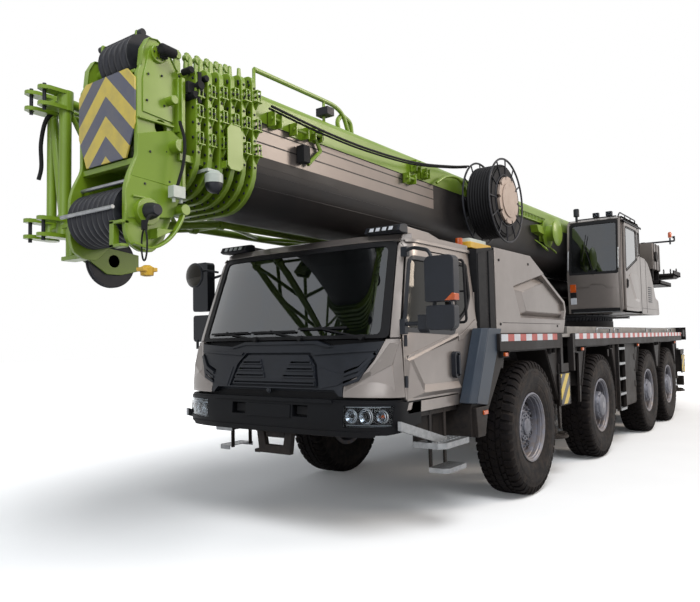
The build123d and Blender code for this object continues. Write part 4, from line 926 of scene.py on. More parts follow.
def collar(place):
    """Plate round a section's mouth: its ring, a thinner flange behind it, lugs on top, side ribs and
    bolts."""
    x0 = MOUTH + place * COLLAR_PITCH
    shrink = place * COLLAR_STEP
    half, low, high = COLLAR_HALF - shrink, COLLAR_LOW + shrink, COLLAR_HIGH - shrink
    tip = 3.775 - 0.01 * place
    middle_z = (low + high) / 2
    radius = 0.32 * half / COLLAR_HALF

    def inset(by, corner, edge):
        """The plate's outline moved inwards, with the radii of its lower and upper corners."""
        return rounded(half - by, (high - low) / 2 - by, (corner, corner, edge, edge), 8, (0, middle_z))

    outer, lip = inset(0, radius, 0.06), inset(0.035, radius - 0.03, 0.05)
    bore = boom_outline(place + 1, 0.004)
    inner = bore[np.linspace(0, len(bore) - 1, len(outer)).round().astype(int)]
    # Lugs on top: a tall plate with an eye each side, and outside it a lower one that leans on the corner.
    pairs = [prism([(x0 + 0.002, high - 0.03), (x0 + 0.002, high + 0.09), (x0 + 0.016, tip),
                    (x0 + 0.046, tip), (x0 + 0.058, high + 0.09), (x0 + 0.058, high - 0.03)],
                   0.178, 0.202),
             prism([(x0 + 0.01, high - 0.02), (x0 + 0.02, high + 0.10), (x0 + 0.045, high + 0.10),
                    (x0 + 0.055, high - 0.02)],
                   0.330, 0.350),
             disc((x0 + 0.03, 0, tip - 0.04), 0.030, 0.168, 0.212, "y", 14)]
    # Clamps down the flank: a shelf on a gusset with a small frame that stands on it.
    root, out = half - 0.012, half + 0.042 - 0.3 * shrink
    for z in (3.40 - shrink, 3.18, 2.99):
        pairs.append(blocks([(x0 - 0.010, x0 + 0.052, root, out, z - 0.006, z + 0.006),
                             (x0 + 0.004, x0 + 0.014, out - 0.012, out, z, z + 0.085),
                             (x0 + 0.036, x0 + 0.046, out - 0.012, out, z, z + 0.085),
                             (x0 + 0.004, x0 + 0.046, root, out, z + 0.078, z + 0.088)]))
        pairs.append(prism([(root, z), (out, z), (root, z - 0.075)], x0 + 0.016, x0 + 0.028, "x"))
        pairs.append(bars([(x0 + 0.025, root, z + 0.04)], [(x0 + 0.025, out + 0.010, z + 0.04)], 0.009, 8, 3))
    flank = np.array([(x0 + 0.039, sign * half, z)
                      for sign in (-1, 1)
                      for z in np.arange(low + radius, high - 0.06, 0.10)])
    pins = bars(flank - (0, 0.001, 0), flank + np.sign(flank[:, 1:2]) * (0, 0.008, 0), 0.010, 6, 3)
    # Bolts round the plate's front face: points one pitch apart, less those that crowd at a corner.
    spaced = evened(inset(0.028, radius - 0.025, 0.045), bpy.context.scene.crane_boom.bolt_pitch)
    apart = np.cumsum(np.concatenate([[1.0], np.hypot(*(spaced[1:] - spaced[:-1]).T)])) // 0.07
    spaced = spaced[apart != np.concatenate([[-1], apart[:-1]])]
    heads = np.column_stack([np.full(len(spaced), x0 + COLLAR_THICK), spaced])
    return join(ring_tube(outer, inner, x0 + 0.018, x0 + COLLAR_THICK),
                ring_tube(lip, inner, x0, x0 + 0.02), join(*pairs).both(), pins,
                bolts(heads, (1, 0, 0), 0.011, 0.010, paint=3))


class CRANE_OT_boom(bpy.types.Operator):
    """Dress the boom's base section: painted tube, mouth collar, side brackets, hoses and the long top rod"""

    bl_idname = "crane.boom"
    bl_label = "Boom base"

    def execute(self, context):
        """Builds the base tube with its painted bands, its collar and what is bolted to it."""
        base = banded_tube()
        # Seam plate along each flank's top edge.
        trim = blocks([(ahead(-7.3), MOUTH, 0.448, 0.456, 3.286, 3.294)], BLACK).both()
        foot = join(disc((ahead(-7.0), 0, 3.05), 0.13, 0.449, 0.495, "y", 40),
                    disc((ahead(-7.0), 0, 3.05), 0.07, 0.449, 0.560, "y", 32)).both().painted(BLACK)
        lugs = prism(forward([(-2.44, 2.651), (-2.35, 2.58), (-2.30, 2.40), (-2.10, 2.40), (-1.96, 2.651)]),
                     0.065, 0.120).both()
        # Doubler plates wrapped round the belly, each ending a little further back.
        wrap = []
        for end, grow, high_z in ((2.10, 0.006, 3.02), (1.20, 0.012, 2.92), (0.30, 0.018, 2.84)):
            line = boom_outline(0, grow)
            low_part = line[line[:, 1] < high_z]
            low_part = low_part[np.argsort(np.arctan2(low_part[:, 0], BOOM_Z - low_part[:, 1]))]
            inner = low_part * (1 - 0.02 / 0.45) + np.array([0, BOOM_Z * 0.02 / 0.45])
            edge_ring = np.vstack([low_part, inner[::-1]])
            rings = np.stack([np.column_stack([np.full(len(edge_ring), x), edge_ring])
                              for x in (ahead(end), MOUTH - 0.01)])
            wrap.append(grid(rings, across=True, caps=True).painted(BLACK))
        piece("boom_base_tube", join(base, *wrap, trim, foot, lugs, collar(0)),
              ("lime", "bronze", "belly", "steel"), "boom", ("boom_base",), 4, 1)

        # Side brackets on the left flank: small welded cleats that carry hoses and pins.
        y = BASE_HALF_WIDE
        cleats = []
        for x, z, long, tall in ((2.95, 3.33, 0.09, 0.12), (2.66, 3.31, 0.16, 0.10),
                                 (2.45, 3.33, 0.10, 0.11), (0.80, 3.40, 0.10, 0.12),
                                 (0.93, 3.25, 0.14, 0.10), (0.60, 3.36, 0.08, 0.10)):
            x0, x1, low, high = x - long / 2, x + long / 2, z - tall / 2, z + tall / 2
            cleats.append(blocks_ahead([(x0, x1, y - 0.004, y + 0.012, low, high),
                                        (x0, x0 + 0.012, y, y + 0.085, low, high),
                                        (x1 - 0.012, x1, y, y + 0.085, low, high)]))
            cleats.append(bars(forward([(x0 - 0.02, y + 0.06, z)]), forward([(x1 + 0.02, y + 0.06, z)]),
                               0.014, 10))
        # Sloping brace with an eye, and the small arch over the band's end.
        cleats.append(bars(forward([(2.37, y + 0.03, 3.216), (2.47, y + 0.03, 3.35)]),
                           forward([(2.54, y + 0.03, 3.065), (2.37, y + 0.03, 3.216)]), 0.016, 10))
        arch = smooth_path(forward([(0.39, y + 0.06, 3.30), (0.20, y + 0.08, 3.40), (-0.05, y + 0.09, 3.43),
                                    (-0.25, y + 0.08, 3.36), (-0.33, y + 0.06, 3.28)]), 6)
        cleats.append(tube(arch, 0.016, 8))
        piece("boom_side_cleats", join(*cleats), ("lime",), "boom", (), 2, 1)
        box = blocks_ahead([(2.58, 2.66, y + 0.01, y + 0.09, 3.06, 3.20),
                            (2.36, 2.42, y + 0.01, y + 0.06, 3.30, 3.38)])
        hose = smooth_path(forward([(3.05, y + 0.10, 3.40), (2.405, y + 0.12, 3.352),
                                    (1.741, y + 0.12, 3.351), (0.932, y + 0.12, 3.40),
                                    (0.157, y + 0.12, 3.52), (-0.25, y + 0.14, 3.60)]), 8)
        piece("boom_side_hoses",
              join(box, tube(hose, 0.011, 8), tube(hose + (0, -0.025, -0.012), 0.009, 8)), ("rubber",),
              "boom", (), 2, 1)

        # Long bent rod over the boom's top with its loop bracket and cross plate.
        rod = bent(forward([(3.03, 0.35, 3.745), (2.0, 0.35, 3.745), (1.86, 0.35, 3.70),
                            (1.78, 0.35, 3.53)]), 0.08)
        loop = bent(forward([(1.70, 0.33, 3.54), (1.72, 0.33, 3.66), (1.86, 0.33, 3.70), (1.93, 0.33, 3.62),
                             (1.90, 0.33, 3.53)]), 0.04)
        posts = bars(forward([(x, 0.35, 3.525) for x in (3.03, 2.15)]),
                     forward([(x, 0.35, 3.75) for x in (3.03, 2.15)]), 0.014, 8)
        piece("boom_top_rod",
              join(tube(rod, 0.020, 10), tube(loop, 0.022, 10), posts,
                   blocks_ahead([(2.10, 2.20, 0.30, 0.43, 3.60, 3.67)]).painted(1)),
              ("lime", "steel"), "boom", (), 2, 1)
        # Brackets that carry the jib on the right.
        side = [(-0.449, 2.70), (-0.621, 2.74), (-0.621, 3.30), (-0.449, 3.34)]
        hole = [(-0.50, 2.82), (-0.58, 2.84), (-0.58, 3.20), (-0.50, 3.22)]
        carriers = []
        for x in (ahead(2.70), ahead(-3.60)):
            carriers += [prism(side, x + start, x + start + 0.02, "x", (hole,)) for start in (-0.04, 0.02)]
            carriers.append(blocks([(x - 0.04, x + 0.04, -0.621, -0.605, 2.74, 3.30)]))
        piece("jib_brackets", join(*carriers), ("lime",), "boom", (), 3, 1)
        return {"FINISHED"}


class CRANE_OT_sections(bpy.types.Operator):
    """Dress the sliding boom sections behind the head, each with its collar"""

    bl_idname = "crane.sections"
    bl_label = "Boom sections"

    def execute(self, context):
        """Builds each section's hollow tube and its collar, apart from the last, which is built with the
        head."""
        for place in range(1, 6):
            outer, inner = boom_outline(place), boom_outline(place, -0.01)
            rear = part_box(f"boom_section_{place + 1}")[0].x
            tube_form = ring_tube(outer, inner, rear, MOUTH + place * COLLAR_PITCH + COLLAR_THICK)
            piece(f"boom_section_{place + 1}_dress", join(tube_form, collar(place)),
                  ("lime", "bronze", "belly", "steel"), f"section_{place + 1}",
                  (f"boom_section_{place + 1}",), 3, 1)
        return {"FINISHED"}


# ------------------------------------------------------------------ the boom's head
def grooved(radius, half, centre, grooves, depth=0.022, steps=48):
    """Pack of rope sheaves side by side: its radius falls by depth in each groove as 1 - |cos| of the way
    across."""
    along = np.linspace(-half, half, grooves * 6 + 1)
    wave = np.abs(np.cos(np.pi * (along + half) / (2 * half) * grooves))
    profile = np.column_stack([along, radius - depth * (1 - wave**0.5)])
    return spun(np.vstack([[(-half, 0.05)], profile, [(half, 0.05)]]), centre, "y", steps)


class CRANE_OT_boom_head(bpy.types.Operator):
    """Dress the last section and the boom's head with its sheaves, nose sheet, guards and trip weight"""

    bl_idname = "crane.boom_head"
    bl_label = "Boom head"

    def execute(self, context):
        """Builds the head around the two sheave axes."""
        low_x, low_z, top_x, top_z = ahead(4.03), 2.475, ahead(3.93), 3.56
        rear, face = ahead(3.74), ahead(4.09)
        outer, inner = boom_outline(6), boom_outline(6, -0.01)
        tube_form = ring_tube(outer, inner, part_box("boom_section_7")[0].x, rear + 0.06)
        bulkhead = plate([(-0.385, 2.62), (0.385, 2.62), (0.385, 3.44), (-0.385, 3.44)], rear, rear + 0.03,
                         flat("x"))
        outline = [(3.74, 3.46), (3.84, 3.605), (3.93, 3.66), (4.00, 3.65), (4.045, 3.57), (4.058, 3.45),
                   (4.09, 3.40), (4.09, 2.84), (4.15, 2.72), (4.18, 2.62), (4.18, 2.34), (4.15, 2.26),
                   (4.07, 2.215), (3.97, 2.215), (3.88, 2.30), (3.80, 2.50), (3.74, 2.60)]
        outline = softened(forward(outline), 0.03, 3)
        hole = circle(0.050, 16) + (ahead(3.90), 3.07)
        cheek = prism(outline, 0.292, 0.325, "y", (hole,))
        rim_high = forward([(3.76, 3.49), (3.84, 3.605), (3.93, 3.66), (4.00, 3.65), (4.045, 3.57),
                            (4.058, 3.45)])
        rim = carried(oblong(0.004, 0.026), [(x, 0.308, z) for x, z in rim_high], (0, 1, 0))
        # Lower half of each cheek: a box that stands out from the plate and slopes back at its front edge.
        low_box = forward([(3.76, 2.66), (3.76, 3.00), (3.84, 3.055), (4.085, 2.985), (4.085, 2.84),
                           (4.14, 2.70)])
        swell = join(slab([(x, z, w)
                           for (x, z), w in zip(low_box, (0.378, 0.378, 0.360, 0.330, 0.327, 0.327))],
                          0.310, flat("y")),
                     slab(forward([(3.76, 2.66, 0.378), (4.14, 2.70, 0.327), (4.175, 2.60, 0.327),
                                   (4.16, 2.42, 0.327), (3.83, 2.46, 0.362)]),
                          0.310, flat("y")))
        # Doubler plates, ribs and bosses on the cheek's outer face.
        doubler = join(prism(forward([(3.78, 3.36), (3.84, 3.53), (4.00, 3.57), (4.05, 3.36), (4.05, 3.14),
                                      (3.80, 3.12)]),
                             0.322, 0.333),
                       blocks_ahead([(3.80, 4.085, 0.322, 0.345, 3.086, 3.100),
                                     (3.765, 3.785, 0.322, 0.362, 3.06, 3.44),
                                     (3.88, 4.13, 0.322, 0.346, 2.560, 2.574)]),
                       prism(forward([(3.85, 2.37), (3.99, 2.37), (3.99, 2.30)]), 0.325, 0.400))
        bosses = join(*[disc((ahead(x), 0, z), r, 0.322, y, "y", 24)
                        for x, z, r, y in ((3.93, 3.56, 0.062, 0.352), (4.03, 2.475, 0.090, 0.372),
                                           (3.824, 2.942, 0.045, 0.440), (3.775, 2.515, 0.038, 0.430),
                                           (3.84, 3.26, 0.030, 0.400))])
        steel_bits = join(spun([(0.34, 0.060), (0.41, 0.052), (0.46, 0.036)], (ahead(4.03), 0, 2.475), "y",
                               24),
                          bolts(round_points((top_x, 0.352, top_z), 0.045, 6), (0, 1, 0), 0.007, 0.008),
                          bolts(forward([(3.88, 0.352, 2.90), (4.00, 0.338, 2.88), (3.86, 0.358, 2.70),
                                         (4.04, 0.336, 2.66), (3.88, 0.333, 3.22), (4.02, 0.333, 3.22),
                                         (3.90, 0.333, 3.42), (4.01, 0.333, 3.40)]),
                                (0, 1, 0), 0.009, 0.010))
        frame_bars = join(blocks_ahead([(3.76, 3.97, -0.292, 0.292, 2.860, 2.885),
                                        (3.76, 3.97, -0.292, 0.292, 3.180, 3.205),
                                        (3.76, 3.83, -0.292, 0.292, 2.640, 2.665),
                                        (4.03, 4.085, -0.292, 0.292, 2.795, 2.835),
                                        (4.03, 4.085, -0.292, 0.292, 3.40, 3.425)]),
                          disc((top_x, 0, top_z), 0.045, -0.35, 0.35, "y", 20),
                          disc((low_x, 0, low_z), 0.045, -0.35, 0.35, "y", 20))
        # Rod over the head's top on its two ears, with a roller at each end.
        ears = join(*[prism(forward([(3.86, 3.60), (3.925, 3.765), (3.975, 3.765), (3.99, 3.61)]),
                            y - 0.010, y + 0.010)
                      for y in (-0.235, 0.155)])
        stand = blocks_ahead([(3.88, 3.97, -0.245, -0.225, 3.44, 3.62),
                              (3.88, 3.97, 0.145, 0.165, 3.44, 3.62)])
        rod_high = join(bars(forward([(3.95, -0.285, 3.745)]), forward([(3.95, 0.195, 3.745)]), 0.014, 10),
                        disc((ahead(3.95), 0, 3.745), 0.026, -0.285, -0.245, "y", 14),
                        disc((ahead(3.95), 0, 3.745), 0.026, 0.165, 0.205, "y", 14)).painted(1)
        lugs = blocks_ahead([(3.98, 4.09, -0.555, -0.322, 2.225, 2.255),
                             (3.98, 4.09, -0.555, -0.322, 2.460, 2.490)])
        # Post with its two plates at the head's lower front corner.
        post = blocks_ahead([(4.165, 4.21, 0.20, 0.245, 2.235, 2.41),
                             (4.15, 4.21, 0.20, 0.325, 2.235, 2.255),
                             (4.15, 4.21, 0.20, 0.325, 2.385, 2.405)])
        # Bracket arm from the cheek that carries the dome camera, and a curved strap under the lower pins.
        arm = join(blocks_ahead([(3.44, 3.80, 0.372, 0.396, 2.855, 2.905),
                                 (3.44, 3.47, 0.372, 0.50, 2.855, 2.905)]),
                   carried(oblong(0.008, 0.024),
                           smooth_path(forward([(4.13, 0.34, 2.26), (4.02, 0.37, 2.235), (3.90, 0.39, 2.30),
                                                (3.81, 0.40, 2.42), (3.76, 0.40, 2.55)]), 5),
                           (0, 1, 0)))
        green = join(tube_form, bulkhead, cheek.both(), rim.both(), swell.both(), doubler.both(),
                     bosses.both(), frame_bars, ears, stand, lugs, post, arm)
        piece("boom_head", join(green, steel_bits.both().painted(1), rod_high), ("lime", "steel"),
              "section_7", ("boom_section_7",), 3, 1)
        piece("head_sheaves",
              join(grooved(0.165, 0.160, (top_x, 0.060, top_z), 5),
                   grooved(0.190, 0.262, (low_x, 0, low_z), 9)),
              ("steel",), "section_7", (), 0)
        places = [(low_x + dx, z) for dx, z in ((0.215, 2.485), (0.06, 2.69), (-0.16, 2.33))]
        guards = bars([(x, -0.292, z) for x, z in places], [(x, 0.292, z) for x, z in places], 0.013, 10)
        piece("head_rope_guards", guards, ("zinc",), "section_7", (), 0)
        sheet = [(-0.235, 3.435), (0.235, 3.435), (0.318, 3.355), (0.318, 3.06), (0.225, 2.838),
                 (-0.225, 2.838), (-0.318, 3.06), (-0.318, 3.355)]
        piece("nose_sheet", prism(sheet, face, face + 0.012, "x"), ("chevron",), "section_7",
              (), 2, 1)
        # Work lamp and valve cluster on the cheek's upper part.
        lamp_form = join(spun([(-0.07, 0.018), (-0.06, 0.034), (0.05, 0.038), (0.06, 0.030)],
                              (ahead(3.90), 0.395, 3.575), "x", 20),
                         blocks_ahead([(3.88, 3.93, 0.333, 0.38, 3.53, 3.57)]))
        knobs = join(*[disc((ahead(x), 0, z), r, 0.34, y, "y", 14)
                       for x, z, r, y in ((3.72, 3.50, 0.024, 0.43), (3.66, 3.40, 0.030, 0.46),
                                          (3.60, 3.47, 0.022, 0.45), (3.69, 3.33, 0.026, 0.44),
                                          (3.61, 3.35, 0.018, 0.43))],
                     blocks_ahead([(3.60, 3.74, 0.385, 0.415, 3.34, 3.42),
                                   (3.64, 3.67, 0.385, 0.44, 3.28, 3.50)]))
        piece("head_valves", join(lamp_form, knobs), ("rubber",), "section_7", (), 2, 1)

        # Junction box, hoses and dome camera on the left cheek.
        box = join(blocks_ahead([(3.80, 3.90, 0.395, 0.455, 2.58, 2.66)]),
                   bars(forward([(3.82, 0.43, 2.58), (3.88, 0.43, 2.58)]),
                        forward([(3.82, 0.43, 2.55), (3.88, 0.43, 2.55)]), 0.012, 8))
        piece("head_junction_box", box, ("pale",), "section_7", (), 3, 2)
        lead = smooth_path(forward([(3.823, 0.425, 3.11), (3.80, 0.445, 2.98), (3.815, 0.45, 2.82),
                                    (3.848, 0.43, 2.665)]), 8)
        ring_angle = np.linspace(0, 2 * np.pi, 40, endpoint=False)
        ring = np.column_stack([ahead(4.105) + 0.02 * np.sin(ring_angle), 0.42 + 0.055 * np.sin(ring_angle),
                                2.244 + 0.10 * np.cos(ring_angle)])
        drop = smooth_path(forward([(4.03, 0.44, 2.44), (4.10, 0.46, 2.42), (4.12, 0.44, 2.34)]), 8)
        piece("head_leads",
              join(tube(lead, 0.011, 8), tube(ring, 0.006, 6, closed=True), tube(drop, 0.010, 8),
                   disc((ahead(4.105), 0.42, 0), 0.020, 2.34, 2.40, "z", 16)),
              ("rubber",), "section_7", (), 0)
        weight = join(spun([(2.045, 0.020), (2.05, 0.040), (2.10, 0.044), (2.115, 0.020)],
                           (ahead(4.085), 0.42, 0), "z", 20),
                      blocks_ahead([(4.03, 4.14, 0.385, 0.455, 2.075, 2.10)]))
        piece("trip_weight", weight, ("yellow",), "section_7", (), 2, 1)
        angle = np.linspace(0, np.pi, 9)
        ball = spun(np.column_stack([-0.062 * np.cos(angle[1:-1]), 0.062 * np.sin(angle[1:-1])]),
                    (ahead(3.553), 0.46, 2.72), "z", 20)
        cap = spun([(-0.01, 0.064), (0.05, 0.064), (0.08, 0.03)], (ahead(3.553), 0.46, 2.74), "z",
                   20).painted(1)
        piece("head_camera",
              join(ball, cap, blocks_ahead([(3.50, 3.61, 0.30, 0.46, 2.81, 2.83)]).painted(1)),
              ("steel", "pale"), "section_7", (), 0)
        piece("camera_guard",
              prism(forward([(3.33, 2.87), (3.36, 2.84), (3.45, 2.84), (3.48, 2.87), (3.48, 3.13),
                             (3.45, 3.165), (3.36, 3.165), (3.33, 3.13)]),
                    0.515, 0.525),
              ("lime",), "boom", (), 2, 1)
        # Folded nose sheave on the right.
        hub = (ahead(3.72), -0.50, 2.246)
        wheel = spun([(-0.028, 0.05), (-0.028, 0.196), (-0.012, 0.200), (0.0, 0.178), (0.012, 0.200),
                      (0.028, 0.196), (0.028, 0.05)],
                     hub, "y", 48)
        arm = [(4.005, 2.26), (4.005, 2.455), (3.87, 2.42), (3.75, 2.34), (3.50, 2.31), (3.50, 2.185),
               (3.66, 2.145), (3.78, 2.145), (3.965, 2.26)]
        arms = join(*[prism(forward(arm), y, y + 0.012) for y in (-0.544, -0.468)])
        piece("nose_sheave_dress",
              join(arms, disc((ahead(4.035), -0.50, 0), 0.045, 2.256, 2.459, "z", 24),
                   disc(hub, 0.05, -0.044, 0.044, "y", 24), wheel.painted(1),
                   blocks_ahead([(4.0, 4.03, -0.544, -0.456, 2.27, 2.44)])),
              ("lime", "steel"), "section_7", ("nose_sheave",), 2, 1)
        return {"FINISHED"}


REEL_RIM, HOSE_TURNS = 0.487, 9


class CRANE_OT_hose_reel(bpy.types.Operator):
    """Dress the hose reel on the boom's left side"""

    bl_idname = "crane.hose_reel"
    bl_label = "Hose reel"

    def execute(self, context):
        """Builds two spoked rims, the wound hose between them, and the notched disc in front."""
        x, z = ahead(-0.60), 3.21
        rims = []
        for y in (0.570, 0.890):
            rims.append(tube(round_points((x, y, z), REEL_RIM, 72), 0.012, 8, closed=True))
            rims.append(tube(round_points((x, y, z), 0.30, 72), 0.008, 6, closed=True))
            rims.append(bars(round_points((x, y, z), 0.07, 12), round_points((x, y, z), REEL_RIM, 12),
                             0.009, 6))
        wound = coils((x, 0, z), np.linspace(0.60, 0.86, HOSE_TURNS), 0.41, 0.017, 8, 56)
        drum = spun([(0.575, 0.06), (0.575, 0.395), (0.885, 0.395), (0.885, 0.06)], (x, 0, z), "y", 56)
        axle = disc((x, 0, z), 0.075, 0.448, 0.900, "y", 24)
        piece("hose_reel_frame", join(*rims, axle), ("steel",), "boom", ("hose_reel",), 0)
        piece("hose_reel_hose", join(wound, drum), ("rubber",), "boom", (), 0)
        # Notched disc: radius falls in ten short notches round the rim.
        angle = np.linspace(0, 2 * np.pi, 120, endpoint=False)
        edge = np.where((np.arange(120) % 12) < 2, 0.235, 0.275)
        outline = np.column_stack([x + edge * np.cos(angle), z + edge * np.sin(angle)])
        cover = join(prism(outline, 0.895, 0.925), disc((x, 0, z), 0.20, 0.925, 0.938, "y", 48),
                     bolts(round_points((x, 0.938, z), 0.17, 8), (0, 1, 0), 0.010, 0.002))
        piece("hose_reel_disc", cover, ("beige",), "boom", (), 3, 1)
        return {"FINISHED"}


class CRANE_OT_jib(bpy.types.Operator):
    """Dress the stowed lattice jib on the boom's right side"""

    bl_idname = "crane.jib"
    bl_label = "Lattice jib"

    def execute(self, context):
        """Builds four chords, laced on every face, the spreading foot and its forks."""
        inner, outer, rear, taper, foot = -0.660, -1.030, ahead(-5.2), ahead(2.45), ahead(4.0)
        foot_outer = -0.840
        # Each chord: its place along the jib, then its place at the foot.
        corners = [(inner, 2.72, inner, 2.48), (inner, 3.26, inner, 3.44), (outer, 3.26, foot_outer, 3.44),
                   (outer, 2.72, foot_outer, 2.48)]
        forms = []
        for y, run_z, foot_y, foot_z in corners:
            forms.append(bars([(rear, y, run_z), (taper, y, run_z)],
                              [(taper, y, run_z), (foot, foot_y, foot_z)], 0.037, 16))
            forms.append(disc((taper, y, run_z), 0.052, -0.03, 0.03, "x", 20))
            forms.append(bolts([(taper - 0.034, y + 0.040 * math.cos(a), run_z + 0.040 * math.sin(a))
                                for a in np.arange(4) * math.pi / 2 + 0.8],
                               (1, 0, 0), 0.008, 0.068, paint=1))
        bays = 9
        edges = np.linspace(rear, taper - 0.044, bays + 1)
        even = np.arange(bays) % 2 == 0
        for (y0, z0, v0, f0), (y1, z1, v1, f1) in zip(corners, corners[1:] + corners[:1]):
            starts = np.column_stack([edges[:-1], np.where(even, y0, y1), np.where(even, z0, z1)])
            ends = np.column_stack([edges[1:], np.where(even, y1, y0), np.where(even, z1, z0)])
            forms.append(bars(starts, ends, 0.021, 10))
            forms.append(bars([(rear + 0.03, y0, z0), (taper - 0.044, y0, z0)],
                              [(rear + 0.03, y1, z1), (taper - 0.044, y1, z1)], 0.027, 10))
            # Lacing of the spreading foot.
            part = np.linspace(0, 1, 4)
            low = np.column_stack([taper + (foot - taper) * part, y0 + (v0 - y0) * part,
                                   z0 + (f0 - z0) * part])
            high = np.column_stack([taper + (foot - taper) * part, y1 + (v1 - y1) * part,
                                    z1 + (f1 - z1) * part])
            forms.append(bars(low[:-1], high[1:], 0.020, 10))
        for y in (inner, foot_outer):
            forms.append(disc((foot, y, 0), 0.045 if y == inner else 0.036, 2.42, 3.50, "z", 20))
            for z in (2.48, 3.44):
                for offset in (-0.07, 0.05):
                    ear = np.array([(foot, y - 0.055), (foot + 0.15, y - 0.050), (foot + 0.205, y - 0.025),
                                    (foot + 0.212, y), (foot + 0.205, y + 0.025), (foot + 0.15, y + 0.050),
                                    (foot, y + 0.055)])
                    forms.append(prism(ear, z + offset - 0.004, z + offset + 0.024, "z",
                                       (circle(0.018, 10) + (foot + 0.160, y),)))
                forms.append(disc((foot, y, 0), 0.058, z - 0.075, z + 0.075, "z", 20))
        forms.append(bars([(foot, foot_outer, 2.48), (foot, foot_outer, 3.44), (foot, inner, 2.48)],
                          [(foot, inner, 2.48), (foot, inner, 3.44), (foot, foot_outer, 3.44)], 0.034, 12))
        # Pin handles on the foot.
        forms.append(bars([(foot + 0.165, y, z) for y in (inner, foot_outer) for z in (2.38, 3.34)],
                          [(foot + 0.165, y, z) for y in (inner, foot_outer) for z in (2.56, 3.535)], 0.014,
                          8, 1))
        hoses = [tube(smooth_path([(foot - 0.05, foot_outer + 0.05, 3.40),
                                   (foot + 0.05, foot_outer + 0.02, 3.34),
                                   (foot + 0.07, foot_outer - 0.03, 3.16),
                                   (foot + 0.05, foot_outer - 0.06, 2.98),
                                   (foot + 0.06, foot_outer - 0.08, 2.88)], 8),
                      0.016, 8, paint=2)]
        piece("jib_lattice", join(*forms, *hoses), ("lime", "steel", "rubber"), "boom",
              ("jib",), 0)
        return {"FINISHED"}


# ------------------------------------------------------------------ tyres and wheels
def round_axle(radius, y, many):
    """Points spaced evenly round a wheel's axis, from its top: (radius sin a, y, radius cos a)."""
    a = 2 * np.pi * np.arange(many) / many
    return np.column_stack([radius * np.sin(a), np.full(many, y), radius * np.cos(a)])


def tyre_form():
    """One tyre about the wheel's centre, outwards along +Y: a turned casing, and on it two rows of shoulder
    lugs half a pitch apart, two rows of slanted blocks and a middle rib cut by zigzag slits."""
    settings = bpy.context.scene.crane_wheels
    lugs, depth = settings.lugs, settings.lug_depth
    # Casing: distance from the middle plane and radius, from the tread's floor to the bead and back inside.
    half = np.array([(0.100, 0.660), (0.140, 0.656), (0.168, 0.645), (0.180, 0.620), (0.186, 0.595),
                     (0.190, 0.562), (0.192, 0.538), (0.1900, 0.535), (0.1922, 0.531), (0.1915, 0.500),
                     (0.1890, 0.472), (0.1855, 0.447), (0.1830, 0.445), (0.1835, 0.440), (0.176, 0.412),
                     (0.165, 0.384), (0.157, 0.366), (0.150, 0.350)])
    inside = [(0.146, 0.347), (0.138, 0.42), (0.0, 0.60), (-0.138, 0.42), (-0.146, 0.347)]
    profile = np.vstack([half[::-1] * (-1, 1), half, inside])
    casing = spun(profile, (0, 0, 0), "y", 96, ring=True)
    pitch = 2 * np.pi / lugs

    def block(stations, first, last, lean):
        """Block on the tread: stations are (y, outer radius); it spans two turns (in pitches) that lean
        along y."""
        y, r = np.asarray(stations, float).T
        shift = lean * np.abs(y) / 0.19
        corners = []
        for turn, drop in ((first, 0.0), (last, 0.0), (last, depth), (first, depth)):
            angle = (turn + shift) * pitch
            sink = drop * np.clip((0.66 - r) / -0.03, 0.35, 1)
            corners.append(np.stack([(r - sink) * np.sin(angle), y - np.sign(y) * (drop - sink) * 0.8,
                                     (r - sink) * np.cos(angle)], -1))
        return grid(np.stack(corners, 1), across=True, caps=True, paints=1)

    shoulder = [(0.100, 0.6845), (0.138, 0.6815), (0.160, 0.6750), (0.176, 0.6590), (0.1845, 0.6330),
                (0.1885, 0.6050)]
    row = [(0.050, 0.6850), (0.090, 0.6848)]
    rib = [(0.0, 0.6850), (0.034, 0.6850)]
    forms = [block(shoulder, 0.00, 0.60, 0.25),
             block([(-y, r) for y, r in shoulder[::-1]], 0.50, 1.10, 0.25), block(row, 0.10, 0.86, -0.8),
             block([(-y, r) for y, r in row[::-1]], 0.60, 1.36, -0.8), block(rib, 0.0, 0.90, 0.9),
             block([(-y, r) for y, r in rib[::-1]], 0.0, 0.90, -0.9)]
    tread = join(*forms).around(lugs, "Y", (0, 0, 0))
    # Ring of short ribs on the sidewall.
    marks = bars(round_axle(0.555, 0.1895, 90), round_axle(0.578, 0.1880, 90), 0.0022, 4)
    return join(casing, tread, marks)


